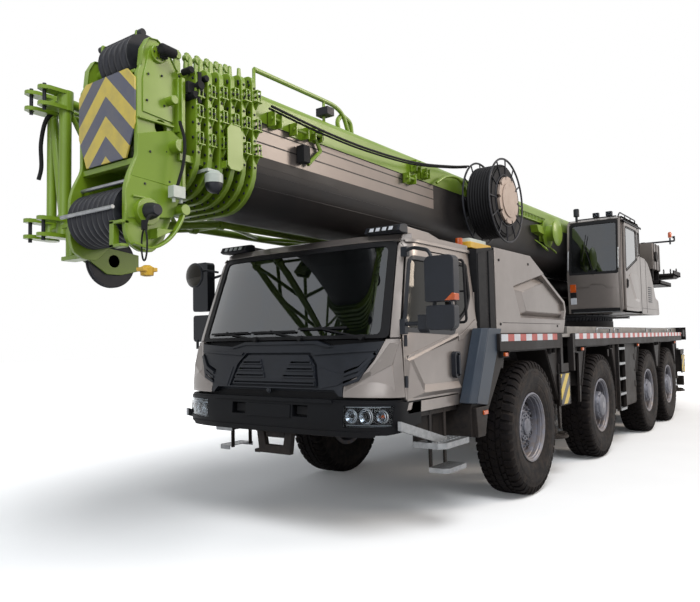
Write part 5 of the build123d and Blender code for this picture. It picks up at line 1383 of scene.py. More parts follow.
def wheel_form(kind):
    """One wheel about its centre, outwards along +Y: rim, dished disc with black ovals painted on it as the
    shade seen through hand holes, and the ring of nuts.
    The first axle has a flat bolted hub, and the others a tall hub drum."""
    rim = [(-0.164, 0.306), (-0.164, 0.350), (-0.152, 0.352), (-0.150, 0.338), (-0.110, 0.325),
           (0.100, 0.325), (0.150, 0.338), (0.152, 0.352), (0.160, 0.354), (0.166, 0.350), (0.166, 0.340),
           (0.156, 0.334), (0.150, 0.324), (0.134, 0.322), (0.128, 0.312), (0.100, 0.311), (0.094, 0.318),
           (0.086, 0.318), (0.080, 0.308), (0.050, 0.306), (-0.10, 0.300)]
    forms = [spun(rim, (0, 0, 0), "y", 72, ring=True)]
    step = 0.045 if kind == 1 else 0.015
    dish = [(step, 0.180), (step + 0.002, 0.235), (step - 0.022, 0.275), (step - 0.030, 0.306),
            (step - 0.044, 0.306), (step - 0.036, 0.270), (step - 0.014, 0.232), (step - 0.014, 0.170)]
    forms.append(spun(dish, (0, 0, 0), "y", 72, ring=True))
    # Hand holes: flat black ovals laid on the slope of the disc, painted shade in place of real openings.
    for k in range(10):
        a = 2 * math.pi * (k + 0.5) / 10
        oval = circle(1.0, 14) * (0.032, 0.019)
        cup = plate(oval, -0.004, 0.003, flat("y"))
        cup = cup.turned(-38, "X").moved(0, step - 0.008, 0.262).turned(math.degrees(a), "Y").painted(2)
        forms.append(cup)
    nuts = bpy.context.scene.crane_wheels.nuts
    many = nuts * 2 if kind == 1 else nuts
    ring = 0.205 if kind == 1 else 0.235
    seats = round_axle(ring, step, many)
    forms.append(bars(seats, seats + (0, 0.022, 0), 0.016, 6, 1))
    forms.append(bars(seats, seats + (0, 0.034, 0), 0.009, 8, 1))
    if kind == 1:
        hub = [(-0.070, 0.128), (step, 0.170), (step + 0.012, 0.170), (step + 0.018, 0.150), (0.085, 0.140),
               (0.088, 0.090), (0.105, 0.086), (0.110, 0.078), (0.112, 0.030)]
        places = round_axle(0.118, 0.086, 12)
        forms.append(bars(places, places + (0, 0.012, 0), 0.010, 6, 1))
    else:
        hub = [(-0.070, 0.130), (step, 0.200), (step + 0.030, 0.205), (step + 0.045, 0.190), (0.130, 0.180),
               (0.150, 0.172), (0.160, 0.150), (0.178, 0.140), (0.186, 0.125), (0.190, 0.060)]
        places = round_axle(0.158, 0.155, 8)
        forms.append(bars(places, places + (0, 0.014, 0), 0.010, 6, 1))
        forms.append(disc((0, 0, 0), 0.045, 0.188, 0.1915, "y", 20))
    forms.append(spun(hub, (0, 0, 0), "y", 48).painted(1))
    forms.append(bars([(0.262, step - 0.01, 0.10)], [(0.292, step + 0.045, 0.11)], 0.006, 8, 1))
    return join(*forms)


class CRANE_OT_wheels(bpy.types.Operator):
    """Dress the eight wheels with lugged tyres, discs, nuts and hubs"""

    bl_idname = "crane.wheels"
    bl_label = "Wheels and tyres"

    def execute(self, context):
        """Builds one tyre and two kinds of wheel, and sets them on the four axles."""
        tyre, kinds = tyre_form(), {1: wheel_form(1), 2: wheel_form(2)}
        for axle, x in enumerate(AXLES, start=1):
            for side, sign in SIDES:
                turn = 17.0 * axle + (5 if sign < 0 else 0)
                place = {"x": x, "y": WHEEL_Y, "z": WHEEL_Z}
                piece(f"tyre_{axle}_{side}_dress", tyre.turned(turn, "Y").moved(**place).on(sign),
                      ("tyre", "tread"), f"wheel_{axle}_{side}", (f"tyre_{axle}_{side}",), 0,
                      smooth=38)
                wheel = kinds[1 if axle == 1 else 2].turned(turn, "Y").moved(**place).on(sign)
                piece(f"wheel_{axle}_{side}_dress", wheel, ("wheel", "hub", "rubber"),
                      f"wheel_{axle}_{side}", (f"wheel_{axle}_{side}",), 0, smooth=32)
                if axle < 3:
                    refinish(f"knuckle_{axle}_{side}", "frame")
        refinish("axle_set", "frame")
        return {"FINISHED"}


# ------------------------------------------------------------------ the carrier cab's surface
# Height, middle X ahead of the first axle, how far the front bows back at its edges, and half width.
CAB_RISE = np.array([(1.020, 2.500, 0.180, 1.190), (1.200, 2.492, 0.170, 1.190),
                     (1.400, 2.440, 0.155, 1.190), (1.620, 2.375, 0.135, 1.188),
                     (1.700, 2.349, 0.130, 1.182), (2.400, 2.115, 0.120, 1.115),
                     (2.500, 2.040, 0.120, 1.095)])
BUMPER_RISE = np.array([(0.840, 2.530, 0.190, 1.190), (1.000, 2.545, 0.190, 1.190),
                        (1.160, 2.530, 0.190, 1.190)])
CORNER, LAMP_Z = 0.075, 1.022


def turn_of(v, rise):
    """Front and corner at a height: the nose, its bow, the half width, where the front ends across and ahead,
    and where the two tangents meet."""
    nose, bow, half = (np.interp(v, rise[:, 0], rise[:, k]) for k in (1, 2, 3))
    edge = half - CORNER
    x_edge = nose - bow * (edge / half) ** 5
    return nose, bow, half, edge, x_edge, x_edge - bow * 5 / half * (edge / half) ** 4 * CORNER


def skin_of(rise):
    """Surface of a bowed front, a round corner and a flat side, for plate(): u is the run from the middle
    line, left side positive, v is the height and w the distance outwards. In plan the front is X = nose -
    bow (y / half) ** 5, the corner is a curve between the front's and the side's tangents, and the side
    runs straight back."""

    def plan(u, v):
        """Distance ahead and Y of the surface at a run and a height."""
        run, sign = np.abs(u), np.where(u < 0, -1.0, 1.0)
        nose, bow, half, edge, x_edge, x_turn = turn_of(v, rise)
        x_side = x_turn - CORNER
        t = np.clip((run - edge) / (2 * CORNER), 0, 1)
        x = (1 - t) ** 2 * x_edge + 2 * t * (1 - t) * x_turn + t**2 * x_side
        y = (1 - t) ** 2 * edge + 2 * t * (1 - t) * half + t**2 * half
        front, side = run < edge, run > edge + 2 * CORNER
        x = np.where(front, nose - bow * (np.minimum(run, half) / half) ** 5,
                     np.where(side, x_side - (run - edge - 2 * CORNER), x))
        y = np.where(front, run, np.where(side, half, y))
        return x, y * sign

    def place(u, v, w):
        """Points at a distance w outwards, along the normal read from two runs a millimetre away."""
        u, v = np.asarray(u, float), np.asarray(v, float)
        x, y = plan(u, v)
        x1, y1 = plan(u + 0.001, v)
        x0, y0 = plan(u - 0.001, v)
        run_x, run_y = x1 - x0, y1 - y0
        long = np.hypot(run_x, run_y)
        return np.stack([ahead(x) + w * run_y / long, y - w * run_x / long, v], -1)

    return place


cab_skin, bumper_skin = skin_of(CAB_RISE), skin_of(BUMPER_RISE)


def spot(skin, u, v, w):
    """One point of a surface."""
    return skin(np.array([u]), np.array([v]), w)[0]


def along_side(points, rise=CAB_RISE):
    """Run and height of points on the cab's side, given by their distance ahead of the first axle and
    height."""
    x, z = np.asarray(points, float).T
    _, _, _, edge, _, x_turn = turn_of(z, rise)
    return np.column_stack([edge + 2 * CORNER + x_turn - CORNER - x, z])


def both_skins(outline, low, high, place, holes=(), step=0.06, paint=0):
    """A skin panel and its twin on the other side."""
    return plate(outline, low, high, place, holes, step, paint).both()


def framed(outline, inset):
    """Outline moved inwards by a distance, each corner along the mean of its two edges' inward normals."""
    ring = np.asarray(outline, float)
    ahead_run, back_run = np.roll(ring, -1, 0) - ring, ring - np.roll(ring, 1, 0)
    normals = [np.column_stack([-run[:, 1], run[:, 0]]) / np.hypot(*run.T)[:, None]
               for run in (ahead_run, back_run)]
    lean = normals[0] + normals[1]
    lean /= (lean * normals[0]).sum(1, keepdims=True)
    area = (ring[:, 0] * np.roll(ring[:, 1], -1) - np.roll(ring[:, 0], -1) * ring[:, 1]).sum()
    return ring + lean * inset * (1 if area > 0 else -1)


class CRANE_OT_cab_body(bpy.types.Operator):
    """Dress the carrier cab's body: champagne sides, roof and pillars, windscreen and rear wall"""

    bl_idname = "crane.cab_body"
    bl_label = "Carrier cab"

    def execute(self, context):
        """Builds the cab from panels laid on its bowed surface."""
        settings = context.scene.crane_cab
        gap, skin = settings.seam, settings.skin
        # Windscreen opening and its black frame, in run and height, from the lower left corner round.
        glass = softened([(-1.000, 1.660), (1.000, 1.660), (0.945, 2.395), (-0.945, 2.395)], 0.05)
        frame_edge = softened([(-1.075, 1.628), (1.075, 1.628), (1.010, 2.440), (-1.010, 2.440)], 0.05)
        screen_frame = plate(frame_edge, -0.03, 0.004, cab_skin, (glass,), 0.08)
        pane = plate(framed(glass, -0.012), -0.012, -0.006, cab_skin, (), 0.08)
        piece("windscreen", pane, ("glass",), "carrier", ("cab_glass",), 0)

        # Pillars and header in body colour round the frame, back to the door seam.
        seam_low, seam_high = (2.262, 1.655), (2.045, 2.372)
        pillar = np.vstack([[(1.081, 1.632)], [(1.016, 2.446)],
                            along_side([(2.06, 2.446), (seam_high[0] + gap, seam_high[1]),
                                        (seam_low[0] + gap, seam_low[1])]),
                            [(1.16, 1.632)]])
        pillars = both_skins(pillar, -skin, 0.006, cab_skin)
        header = plate([(-1.016, 2.446), (1.016, 2.446), (1.00, 2.500), (-1.00, 2.500)], -0.05, 0.006,
                       cab_skin, (), 0.08)
        corner_head = both_skins(np.vstack([[(1.00, 2.500), (1.016, 2.446)],
                                            along_side([(2.06, 2.446), (2.00, 2.500)])]),
                                 -0.05, 0.006, cab_skin)

        # Side behind the door: quarter panel with its window, the wedge-cut rear edge and the long crease.
        rear = 0.902
        back = [(rear, 1.665), (1.245, 1.030), (1.322, 1.030), (1.322, 2.372), (2.045, 2.372),
                (2.060, 2.446), (rear, 2.446)]
        quarter = [(1.105, 1.872), (1.290, 1.775), (1.290, 2.305), (1.012, 2.298), (1.012, 2.00)]
        quarter_ring = softened(along_side(quarter), 0.03)
        sides = both_skins(along_side(back), -skin, 0.0, cab_skin, (quarter_ring,), 0.08)
        crease = both_skins(along_side([(1.318, 1.640), (1.245, 1.660), (0.935, 1.795), (0.910, 1.760),
                                        (1.235, 1.610), (1.318, 1.590)]),
                            0.0, 0.007, cab_skin)
        quarter_rim = both_skins(framed(quarter_ring, -0.022), -0.02, 0.006, cab_skin,
                                 (framed(quarter_ring, 0.008),), 0.08, 1)
        # Sill under the door and the corner in front of it.
        sill = both_skins(along_side([(1.315, 1.030), (2.262, 1.030), (2.262, 1.120), (1.315, 1.120)]),
                          -skin, 0.0, cab_skin)
        # Roof: a crowned sheet with a drip rail and two shallow ribs.
        u, v = np.meshgrid(np.linspace(0, 1, 24), np.linspace(-1, 1, 25), indexing="ij")
        front_x = 2.045 - 0.12 * np.abs(v) ** 5
        x = rear + (front_x - rear) * u
        crown = 2.502 + 0.035 * (1 - v**2) * np.clip(np.minimum(u, 1 - u) * 6, 0, 1) ** 0.5
        ribs = 0.008 * (np.abs(np.abs(v) - 0.45) < 0.06) * (u > 0.1) * (u < 0.9)
        top = np.stack([ahead(x), v * (1.098 - 0.01 * (u > 0.9)), crown + ribs], -1)
        under = top * (1, 1, 0) + (0, 0, 2.44)
        roof_sheet = grid(np.concatenate([top, under[::-1]]), along=True, across=False)
        edge_cap = [Form(np.vstack([top[:, k], under[:, k]]),
                         np.concatenate([np.arange(24), np.arange(24)[::-1] + 24]), [48])
                    for k in (0, -1)]
        roof = join(roof_sheet, *edge_cap)
        drip = both_skins(along_side([(rear, 2.425), (2.02, 2.425), (2.02, 2.455), (rear, 2.455)]), 0.0,
                          0.016, cab_skin)
        rear_wall = blocks_ahead([(0.902, 0.930, -1.10, 1.10, 1.66, 2.50),
                                  (0.902, 0.93, -1.16, 1.16, 1.66, 2.05)])
        cut = prism(forward([(0.90, 1.66), (1.24, 1.03), (1.28, 1.05), (0.94, 1.68)]), -1.16, 1.16)
        body = join(pillars, header, corner_head, sides, crease, sill, roof, drip, rear_wall, cut,
                    quarter_rim)
        piece("cab_body", body, ("champagne", "rubber"), "carrier", ("cab_shell",), 4, 2)
        quarter_pane = both_skins(framed(quarter_ring, -0.004), -0.014, -0.008, cab_skin, (), 0.1)
        piece("quarter_windows", quarter_pane, ("smoked",), "carrier", (), 0)
        floor = blocks_ahead([(1.26, 2.30, -1.13, 1.13, 1.03, 1.08)])
        dark = join(floor,
                    plate([(-1.02, 1.10), (1.02, 1.10), (1.02, 1.62), (-1.02, 1.62)], -0.09, -0.05,
                          cab_skin, (), 0.1))
        piece("cab_floor_and_bulkhead", dark, ("rubber",), "carrier", (), 0)
        piece("windscreen_frame", screen_frame, ("rubber",), "carrier", (), 4, 2)
        return {"FINISHED"}


class CRANE_OT_cab_front(bpy.types.Operator):
    """Dress the cab's front: black mask with grille and vents, corner pieces, bumper, lamps and tow frame"""

    bl_idname = "crane.cab_front"
    bl_label = "Cab front and bumper"

    def execute(self, context):
        """Builds the mask in steps from the surface outwards, then the bumper below it."""
        # Mask: full-width dark panel, with the raised shield in the middle and the recess of its grille.
        mask_edge = [(-1.045, 1.605), (-0.55, 1.575), (-0.42, 1.618), (0.42, 1.618), (0.55, 1.575),
                     (1.045, 1.605), (0.975, 1.46), (0.915, 1.375), (0.745, 1.275), (0.745, 1.172),
                     (0.715, 1.172), (0.665, 1.222), (-0.665, 1.222), (-0.715, 1.172), (-0.745, 1.172),
                     (-0.745, 1.275), (-0.915, 1.375), (-0.975, 1.46)]
        grille_edge = [(-0.37, 1.520), (0.37, 1.520), (0.46, 1.425), (0.515, 1.232), (-0.515, 1.232),
                       (-0.46, 1.425)]
        vent = [(0.735, 1.372), (0.862, 1.415), (0.978, 1.520), (0.992, 1.505), (0.960, 1.440),
                (0.905, 1.382), (0.740, 1.262)]
        vent_left = [(-u, v) for u, v in vent]
        mask = plate(mask_edge, -0.05, 0.010, cab_skin, (grille_edge, vent, vent_left), 0.05)
        shield = plate(framed(grille_edge, -0.012), -0.05, -0.022, cab_skin, (), 0.06)
        plateau = [(-0.345, 1.500), (0.345, 1.500), (0.430, 1.415), (0.480, 1.250), (-0.480, 1.250),
                   (-0.430, 1.415)]
        slots = []
        for z, inner, outer in ((1.445, 0.17, 0.39), (1.391, 0.14, 0.425), (1.334, 0.11, 0.45)):
            for sign in (-1, 1):
                slots.append([(sign * inner, z - 0.014), (sign * outer, z - 0.014),
                              (sign * (outer - 0.014), z + 0.014), (sign * (inner + 0.014), z + 0.014)])
        slots.append([(-0.460, 1.262), (0.460, 1.262), (0.455, 1.286), (-0.455, 1.286)])
        shield_top = plate(plateau, -0.03, 0.006, cab_skin, [framed(s, 0.0005) for s in slots], 0.05)
        lips = join(*[plate(framed(s, -0.009), -0.01, 0.016, cab_skin, (framed(s, 0.002),), 0.08)
                      for s in slots])
        visors = join(*[plate([(s[0][0], s[0][1] + 0.016), (s[1][0], s[1][1] + 0.016), s[2], s[3]], -0.006,
                              0.024, cab_skin, (), 0.08)
                        for s in slots])
        # Upper lip, crease wings and lower lip.
        lip = plate([(-0.55, 1.560), (-0.40, 1.590), (0.40, 1.590), (0.55, 1.560), (0.60, 1.567),
                     (0.42, 1.612), (-0.42, 1.612), (-0.60, 1.567)],
                    0.0, 0.020, cab_skin, (), 0.06)
        wing = plate([(0.40, 1.525), (1.00, 1.545), (1.00, 1.530), (0.42, 1.500)], 0.008, 0.022, cab_skin,
                     (), 0.06).both()
        under = plate([(0.54, 1.232), (0.700, 1.262), (0.89, 1.385), (0.72, 1.345), (0.50, 1.40)], 0.008,
                      0.016, cab_skin, (), 0.06).both()
        blades = []
        for k in range(3):
            drop = 0.040 * k
            a, b = (0.745, 1.352 - drop), (0.868, 1.398 - drop)
            g = (0.975 - 0.022 * k, 1.500 - 0.9 * drop)
            blades.append(plate([(a[0], a[1] - 0.020), (b[0] + 0.010, b[1] - 0.022),
                                 (g[0] + 0.012, g[1] - 0.012), (g[0] - 0.010, g[1] + 0.006),
                                 (b[0] - 0.006, b[1]), (a[0], a[1])],
                                -0.03, 0.030 - 0.004 * k, cab_skin, (), 0.06))
        blades = join(*blades).both()
        back = plate([(-1.05, 1.20), (1.05, 1.20), (1.05, 1.60), (-1.05, 1.60)], -0.056, -0.052, cab_skin,
                     (), 0.08)
        eye = spun([(0.0, 0.026), (0.014, 0.026), (0.016, 0.016), (0.022, 0.014)],
                   (ahead(2.472), -0.04, 1.205), "x", 20)
        piece("front_mask",
              join(mask, shield, shield_top, lips, visors, lip, wing, under, blades, back, eye), ("abs",),
              "carrier", (), 3, 2)
        # Champagne corner pieces that wrap from the mask to the door seam.
        corner = np.vstack([[(1.052, 1.622), (0.983, 1.46), (0.922, 1.370), (0.752, 1.270), (0.752, 1.165)],
                            along_side([(2.268, 1.165), (2.268, 1.622)])])
        corners = plate(corner, -0.03, 0.012, cab_skin, (), 0.05).both()
        facet = join(slab([(1.085, 1.590, 0.014), (0.955, 1.372, 0.014), (0.985, 1.340, 0.034),
                           (1.120, 1.420, 0.034), (1.150, 1.590, 0.020)],
                          0.0, cab_skin),
                     slab([(0.955, 1.372, 0.014), (0.765, 1.262, 0.014), (0.765, 1.212, 0.014),
                           (0.985, 1.340, 0.034)],
                          0.0, cab_skin),
                     slab([(0.985, 1.340, 0.034), (0.765, 1.212, 0.014), (1.160, 1.212, 0.014),
                           (1.120, 1.420, 0.034)],
                          0.0, cab_skin)).both()
        piece("front_corners", join(corners, facet), ("champagne",), "carrier", (), 4, 2)

        # Bumper: a full-width beam with a stepped lower lip, recesses and the plate's place.
        lamp_hole = [(0.770, 0.935), (1.150, 0.950), (1.165, 1.105), (0.775, 1.100)]
        lamp_left = [(-u, v) for u, v in lamp_hole]
        square = [(0.27, 1.000), (0.43, 1.000), (0.43, 1.095), (0.27, 1.095)]
        square_left = [(-u, v) for u, v in square]
        end = along_side([(2.02, 1.00)], BUMPER_RISE)[0, 0]
        edge = [(-end, 0.945), (-1.10, 0.880), (-0.30, 0.865), (0.30, 0.865), (1.10, 0.880), (end, 0.945),
                (end, 1.130), (-end, 1.130)]
        beam = plate(edge, -0.06, 0.0, bumper_skin, (lamp_hole, lamp_left, square, square_left), 0.06)
        ledge = plate([(-end, 1.100), (end, 1.100), (end, 1.146), (-end, 1.146)], -0.10, -0.012,
                      bumper_skin, (), 0.08)
        brow = plate([(-0.68, 1.118), (0.68, 1.118), (0.66, 1.150), (-0.66, 1.150)], -0.03, 0.012,
                     bumper_skin, (), 0.08)
        cups = join(*[plate(framed(hole, -0.006), -0.075, -0.062, bumper_skin, (), 0.08)
                      for hole in (lamp_hole, lamp_left, square, square_left)])
        lower = plate([(-1.00, 0.862), (1.00, 0.862), (1.06, 0.905), (-1.06, 0.905)], -0.03, 0.010,
                      bumper_skin, (), 0.08)
        blank_plate = plate([(-0.25, 0.985), (0.25, 0.985), (0.25, 1.095), (-0.25, 1.095)], 0.0, 0.008,
                            bumper_skin, (), 0.08)
        behind = blocks_ahead([(2.02, 2.36, -1.15, 1.15, 0.90, 1.12)])
        piece("bumper", join(beam, ledge, brow, cups, lower, blank_plate, behind), ("bumper",), "carrier",
              ("cab_fittings",), 4, 2)
        tow = join(blocks_ahead([(2.42, 2.47, -0.215, 0.215, 0.845, 0.885)]),
                   prism([(-0.205, 0.87), (-0.175, 0.665), (0.175, 0.665), (0.205, 0.87), (0.125, 0.87),
                          (0.100, 0.735), (-0.100, 0.735), (-0.125, 0.87)],
                         ahead(2.420), ahead(2.470), "x"),
                   blocks_ahead([(2.36, 2.46, -0.105, 0.105, 0.800, 0.870),
                                 (2.42, 2.475, -0.225, -0.165, 0.662, 0.690)]))
        piece("tow_frame", tow, ("frame",), "carrier", (), 3, 1)
        bowls = [spun([(0, 0.012), (0.0, r * 0.5), (0.03, r), (0.034, r), (0.036, r - 0.006),
                       (0.006, r * 0.45), (0.004, 0.010)],
                      spot(bumper_skin, u, LAMP_Z, -0.055), "x", 24)
                 for u, r in ((0.835, 0.052), (0.960, 0.058), (1.085, 0.046))]
        piece("headlamp_bowls", join(*bowls).both(), ("bowl",), "carrier", (), 0)
        trim = plate(framed(lamp_hole, 0.002), -0.062, -0.056, bumper_skin, (), 0.06)
        rims = [spun([(0, r), (0.004, r + 0.003), (0.008, r - 0.006), (0.0, r - 0.008)],
                     spot(bumper_skin, u, LAMP_Z, -0.034), "x", 24, ring=True).painted(1)
                for u, r in ((0.835, 0.056), (0.960, 0.062), (1.085, 0.050))]
        fins = join(*[plate([(0.785, z), (1.145, z + 0.004), (1.145, z + 0.010), (0.785, z + 0.006)],
                            -0.056, -0.030, bumper_skin, (), 0.06)
                      for z in (0.948, 1.088)]).painted(1)
        inner_eyes = [spun([(0, 0.004), (0.0, r), (0.012, r * 0.9), (0.020, r * 0.5), (0.022, 0.003)],
                           spot(bumper_skin, u, LAMP_Z, -0.050), "x", 20).painted(paint)
                      for u, r, paint in ((0.960, 0.030, 0), (0.835, 0.016, 0), (1.085, 0.014, 2))]
        piece("headlamp_trims", join(trim, fins, *rims, *inner_eyes).both(), ("rubber", "zinc", "amber"),
              "carrier", (), 0)
        covers = plate(framed(lamp_hole, 0.002), -0.012, -0.004, bumper_skin, (), 0.05).both()
        piece("headlamp_lenses", covers, ("lens",), "carrier", (), 2, 1)
        small = join(*[plate(framed(hole, 0.012), -0.055, -0.045, bumper_skin, (), 0.08)
                       for hole in (square, square_left)])
        piece("bumper_towing_covers", small, ("rubber",), "carrier", (), 3, 1)
        return {"FINISHED"}


class CRANE_OT_cab_doors(bpy.types.Operator):
    """Dress the carrier cab's two doors with their windows, creases, handles and rails"""

    bl_idname = "crane.cab_doors"
    bl_label = "Cab doors"

    def execute(self, context):
        """Builds the left door on the cab's surface and mirrors it."""
        edge = [(1.330, 1.130), (2.250, 1.130), (2.250, 1.640), (2.036, 2.362), (1.330, 2.362)]
        window = [(1.390, 1.672), (2.215, 1.700), (2.020, 2.285), (1.390, 2.285)]
        ring = softened(along_side(edge), 0.03)
        opening = softened(along_side(window), 0.05)
        leaf = plate(ring, -0.045, 0.004, cab_skin, (opening,), 0.07)
        rim = plate(framed(opening, -0.026), -0.02, 0.010, cab_skin, (framed(opening, 0.010),), 0.07, 1)

        def fold(points, heights):
            """One facet of the door: its corners by distance ahead and height, each standing out so far."""
            run = along_side(points)
            return slab([(u, v, w) for (u, v), w in zip(run, heights)], -0.010, cab_skin)

        # The sharp folded facet that runs down and back from the front edge, and the waist crease.
        high, low = 0.032, 0.005
        facet = join(
            fold([(1.345, 1.140), (2.235, 1.140), (2.010, 1.185), (1.345, 1.180)], (low, low, high, high)),
            fold([(2.235, 1.140), (2.240, 1.470), (2.215, 1.440), (2.010, 1.185)], (low, low, high, high)),
            fold([(1.345, 1.180), (2.010, 1.185), (1.955, 1.245), (1.345, 1.240)], (high, high, low, low)),
            fold([(2.010, 1.185), (2.215, 1.440), (2.135, 1.462), (1.955, 1.245)], (high, high, low, low)),
            fold([(2.240, 1.470), (2.215, 1.440), (1.345, 1.640), (1.345, 1.668)],
                 (low, 0.018, 0.018, low)),
            fold([(2.215, 1.440), (2.135, 1.462), (1.345, 1.612), (1.345, 1.640)],
                 (0.018, low, low, 0.018)))
        waist = plate(along_side([(2.225, 1.462), (2.20, 1.490), (1.345, 1.672), (1.345, 1.662)]), 0.002,
                      0.010, cab_skin, (), 0.06)
        kick = plate(along_side([(1.345, 1.135), (2.240, 1.135), (2.240, 1.150), (1.345, 1.150)]), 0.002,
                     0.010, cab_skin, (), 0.06)
        cup = softened(along_side([(1.372, 1.268), (1.478, 1.268), (1.478, 1.502), (1.372, 1.502)]), 0.045, 5)
        hollow = softened(along_side([(1.386, 1.284), (1.464, 1.284), (1.464, 1.486), (1.386, 1.486)]),
                          0.035, 5)
        pull = join(plate(cup, 0.002, 0.046, cab_skin, (hollow,), 0.04, 1),
                    plate(hollow, 0.002, 0.032, cab_skin, (), 0.04, 1))
        grip = plate(softened(along_side([(1.398, 1.300), (1.424, 1.300), (1.424, 1.470), (1.398, 1.470)]),
                              0.01),
                     0.030, 0.056, cab_skin, (), 0.04, 1)
        hinges = [disc((ahead(2.256), 1.2043, 0), 0.014, low, high, "z", 12)
                  for low, high in ((1.24, 1.33), (1.56, 1.65))]
        leafs = join(leaf, facet, waist, kick, rim, pull, grip, *[h.painted(1) for h in hinges])
        pane = plate(framed(opening, -0.006), -0.016, -0.010, cab_skin, (), 0.1)
        lining = plate(along_side([(1.36, 1.17), (2.20, 1.17), (2.20, 1.60), (1.36, 1.60)]), -0.060, -0.047,
                       cab_skin, (), 0.08, 1)
        for side, sign in SIDES:
            piece(f"door_{side}_dress", join(leafs, lining).on(sign), ("champagne", "abs"), f"door_{side}",
                  (f"door_{side}",), 3, 2)
            piece(f"door_window_{side}", pane.on(sign), ("smoked",), f"door_{side}",
                  (f"door_glass_{side}",), 0)
        return {"FINISHED"}


# ------------------------------------------------------------------ carrier: inside, fittings, deck, hood
def slab(ring, low, place, paint=0):
    """Block under one flat or gently folded face: its corners are (u, v, w) on the surface, and its back
    lies at w = low."""
    u, v, w = np.asarray(ring, float).T
    many = len(u)
    here = np.arange(many)
    after = np.roll(here, -1)
    wall = np.stack([here, after, after + many, here + many], -1).ravel()
    points = np.vstack([place(u, v, np.full(many, low)), place(u, v, w)])
    return Form(points, np.concatenate([here[::-1], here + many, wall]), [many, many] + [4] * many, paint)


def cushion(length, width, thick, channels=0, steps=40):
    """Stuffed cushion about its own middle: a closed form whose face is crowned and whose sides pull in
    between the corners. With the angles p over and q round it, length and width follow cos(p) ** 0.35 and a
    squared-off circle in q, the thickness follows sin(p) ** 0.6, and sewn channels across it press in by a
    rounded wave."""
    p = np.linspace(-np.pi / 2 + 0.02, np.pi / 2 - 0.02, steps)[:, None]
    q = np.linspace(0, 2 * np.pi, steps * 2, endpoint=False)[None]
    reach = np.abs(np.cos(p)) ** 0.35
    square = (np.abs(np.cos(q)) ** 5 + np.abs(np.sin(q)) ** 5) ** (-1 / 5)
    waist = 1 - 0.025 * np.cos(2 * q) ** 2
    x = length / 2 * reach * square * np.cos(q) * waist
    y = width / 2 * reach * square * np.sin(q) * waist
    crown = 1 - 0.25 * ((x / length) ** 2 + (y / width) ** 2) * 4
    z = thick / 2 * np.sign(np.sin(p)) * np.abs(np.sin(p)) ** 0.6 * crown
    if channels:
        z = z - np.sign(z) * 0.010 * np.clip(np.cos(2 * np.pi * channels * x / length), 0, 1) ** 6
    seam = 0.006 * np.exp(-((p / 0.12) ** 2)) + 0 * q
    x, y = x * (1 + seam / (length / 2)), y * (1 + seam / (width / 2))
    return grid(np.stack([x, y, z + 0 * q], -1), across=True, caps=True)


def seat(x, y, floor_z, low_z):
    """One driver's seat facing +X: cushion, back and headrest at their places, and its plastic base as a
    second form."""
    base = cushion(0.50, 0.48, 0.13, 3).turned(-5, "Y").moved(x + 0.06, y, low_z)
    back = cushion(0.60, 0.46, 0.12, 4).turned(-101, "Y").moved(x - 0.215, y, low_z + 0.33)
    head = cushion(0.17, 0.26, 0.10).turned(-101, "Y").moved(x - 0.285, y, low_z + 0.69)
    frame_form = join(blocks([(x - 0.17, x + 0.20, y - 0.18, y + 0.18, floor_z, floor_z + 0.05),
                              (x - 0.10, x + 0.14, y - 0.13, y + 0.13, floor_z + 0.05, low_z - 0.06),
                              (x - 0.19, x + 0.26, y - 0.20, y + 0.20, low_z - 0.075, low_z - 0.055)]),
                      bars([(x - 0.30, y - 0.06, low_z + 0.58), (x - 0.30, y + 0.06, low_z + 0.58)],
                           [(x - 0.30, y - 0.06, low_z + 0.68), (x - 0.30, y + 0.06, low_z + 0.68)], 0.007),
                      prism([(x - 0.255, low_z - 0.02), (x - 0.225, low_z - 0.03), (x - 0.32, low_z + 0.60),
                             (x - 0.345, low_z + 0.60)],
                            y - 0.19, y + 0.19))
    return (base, back, head), frame_form


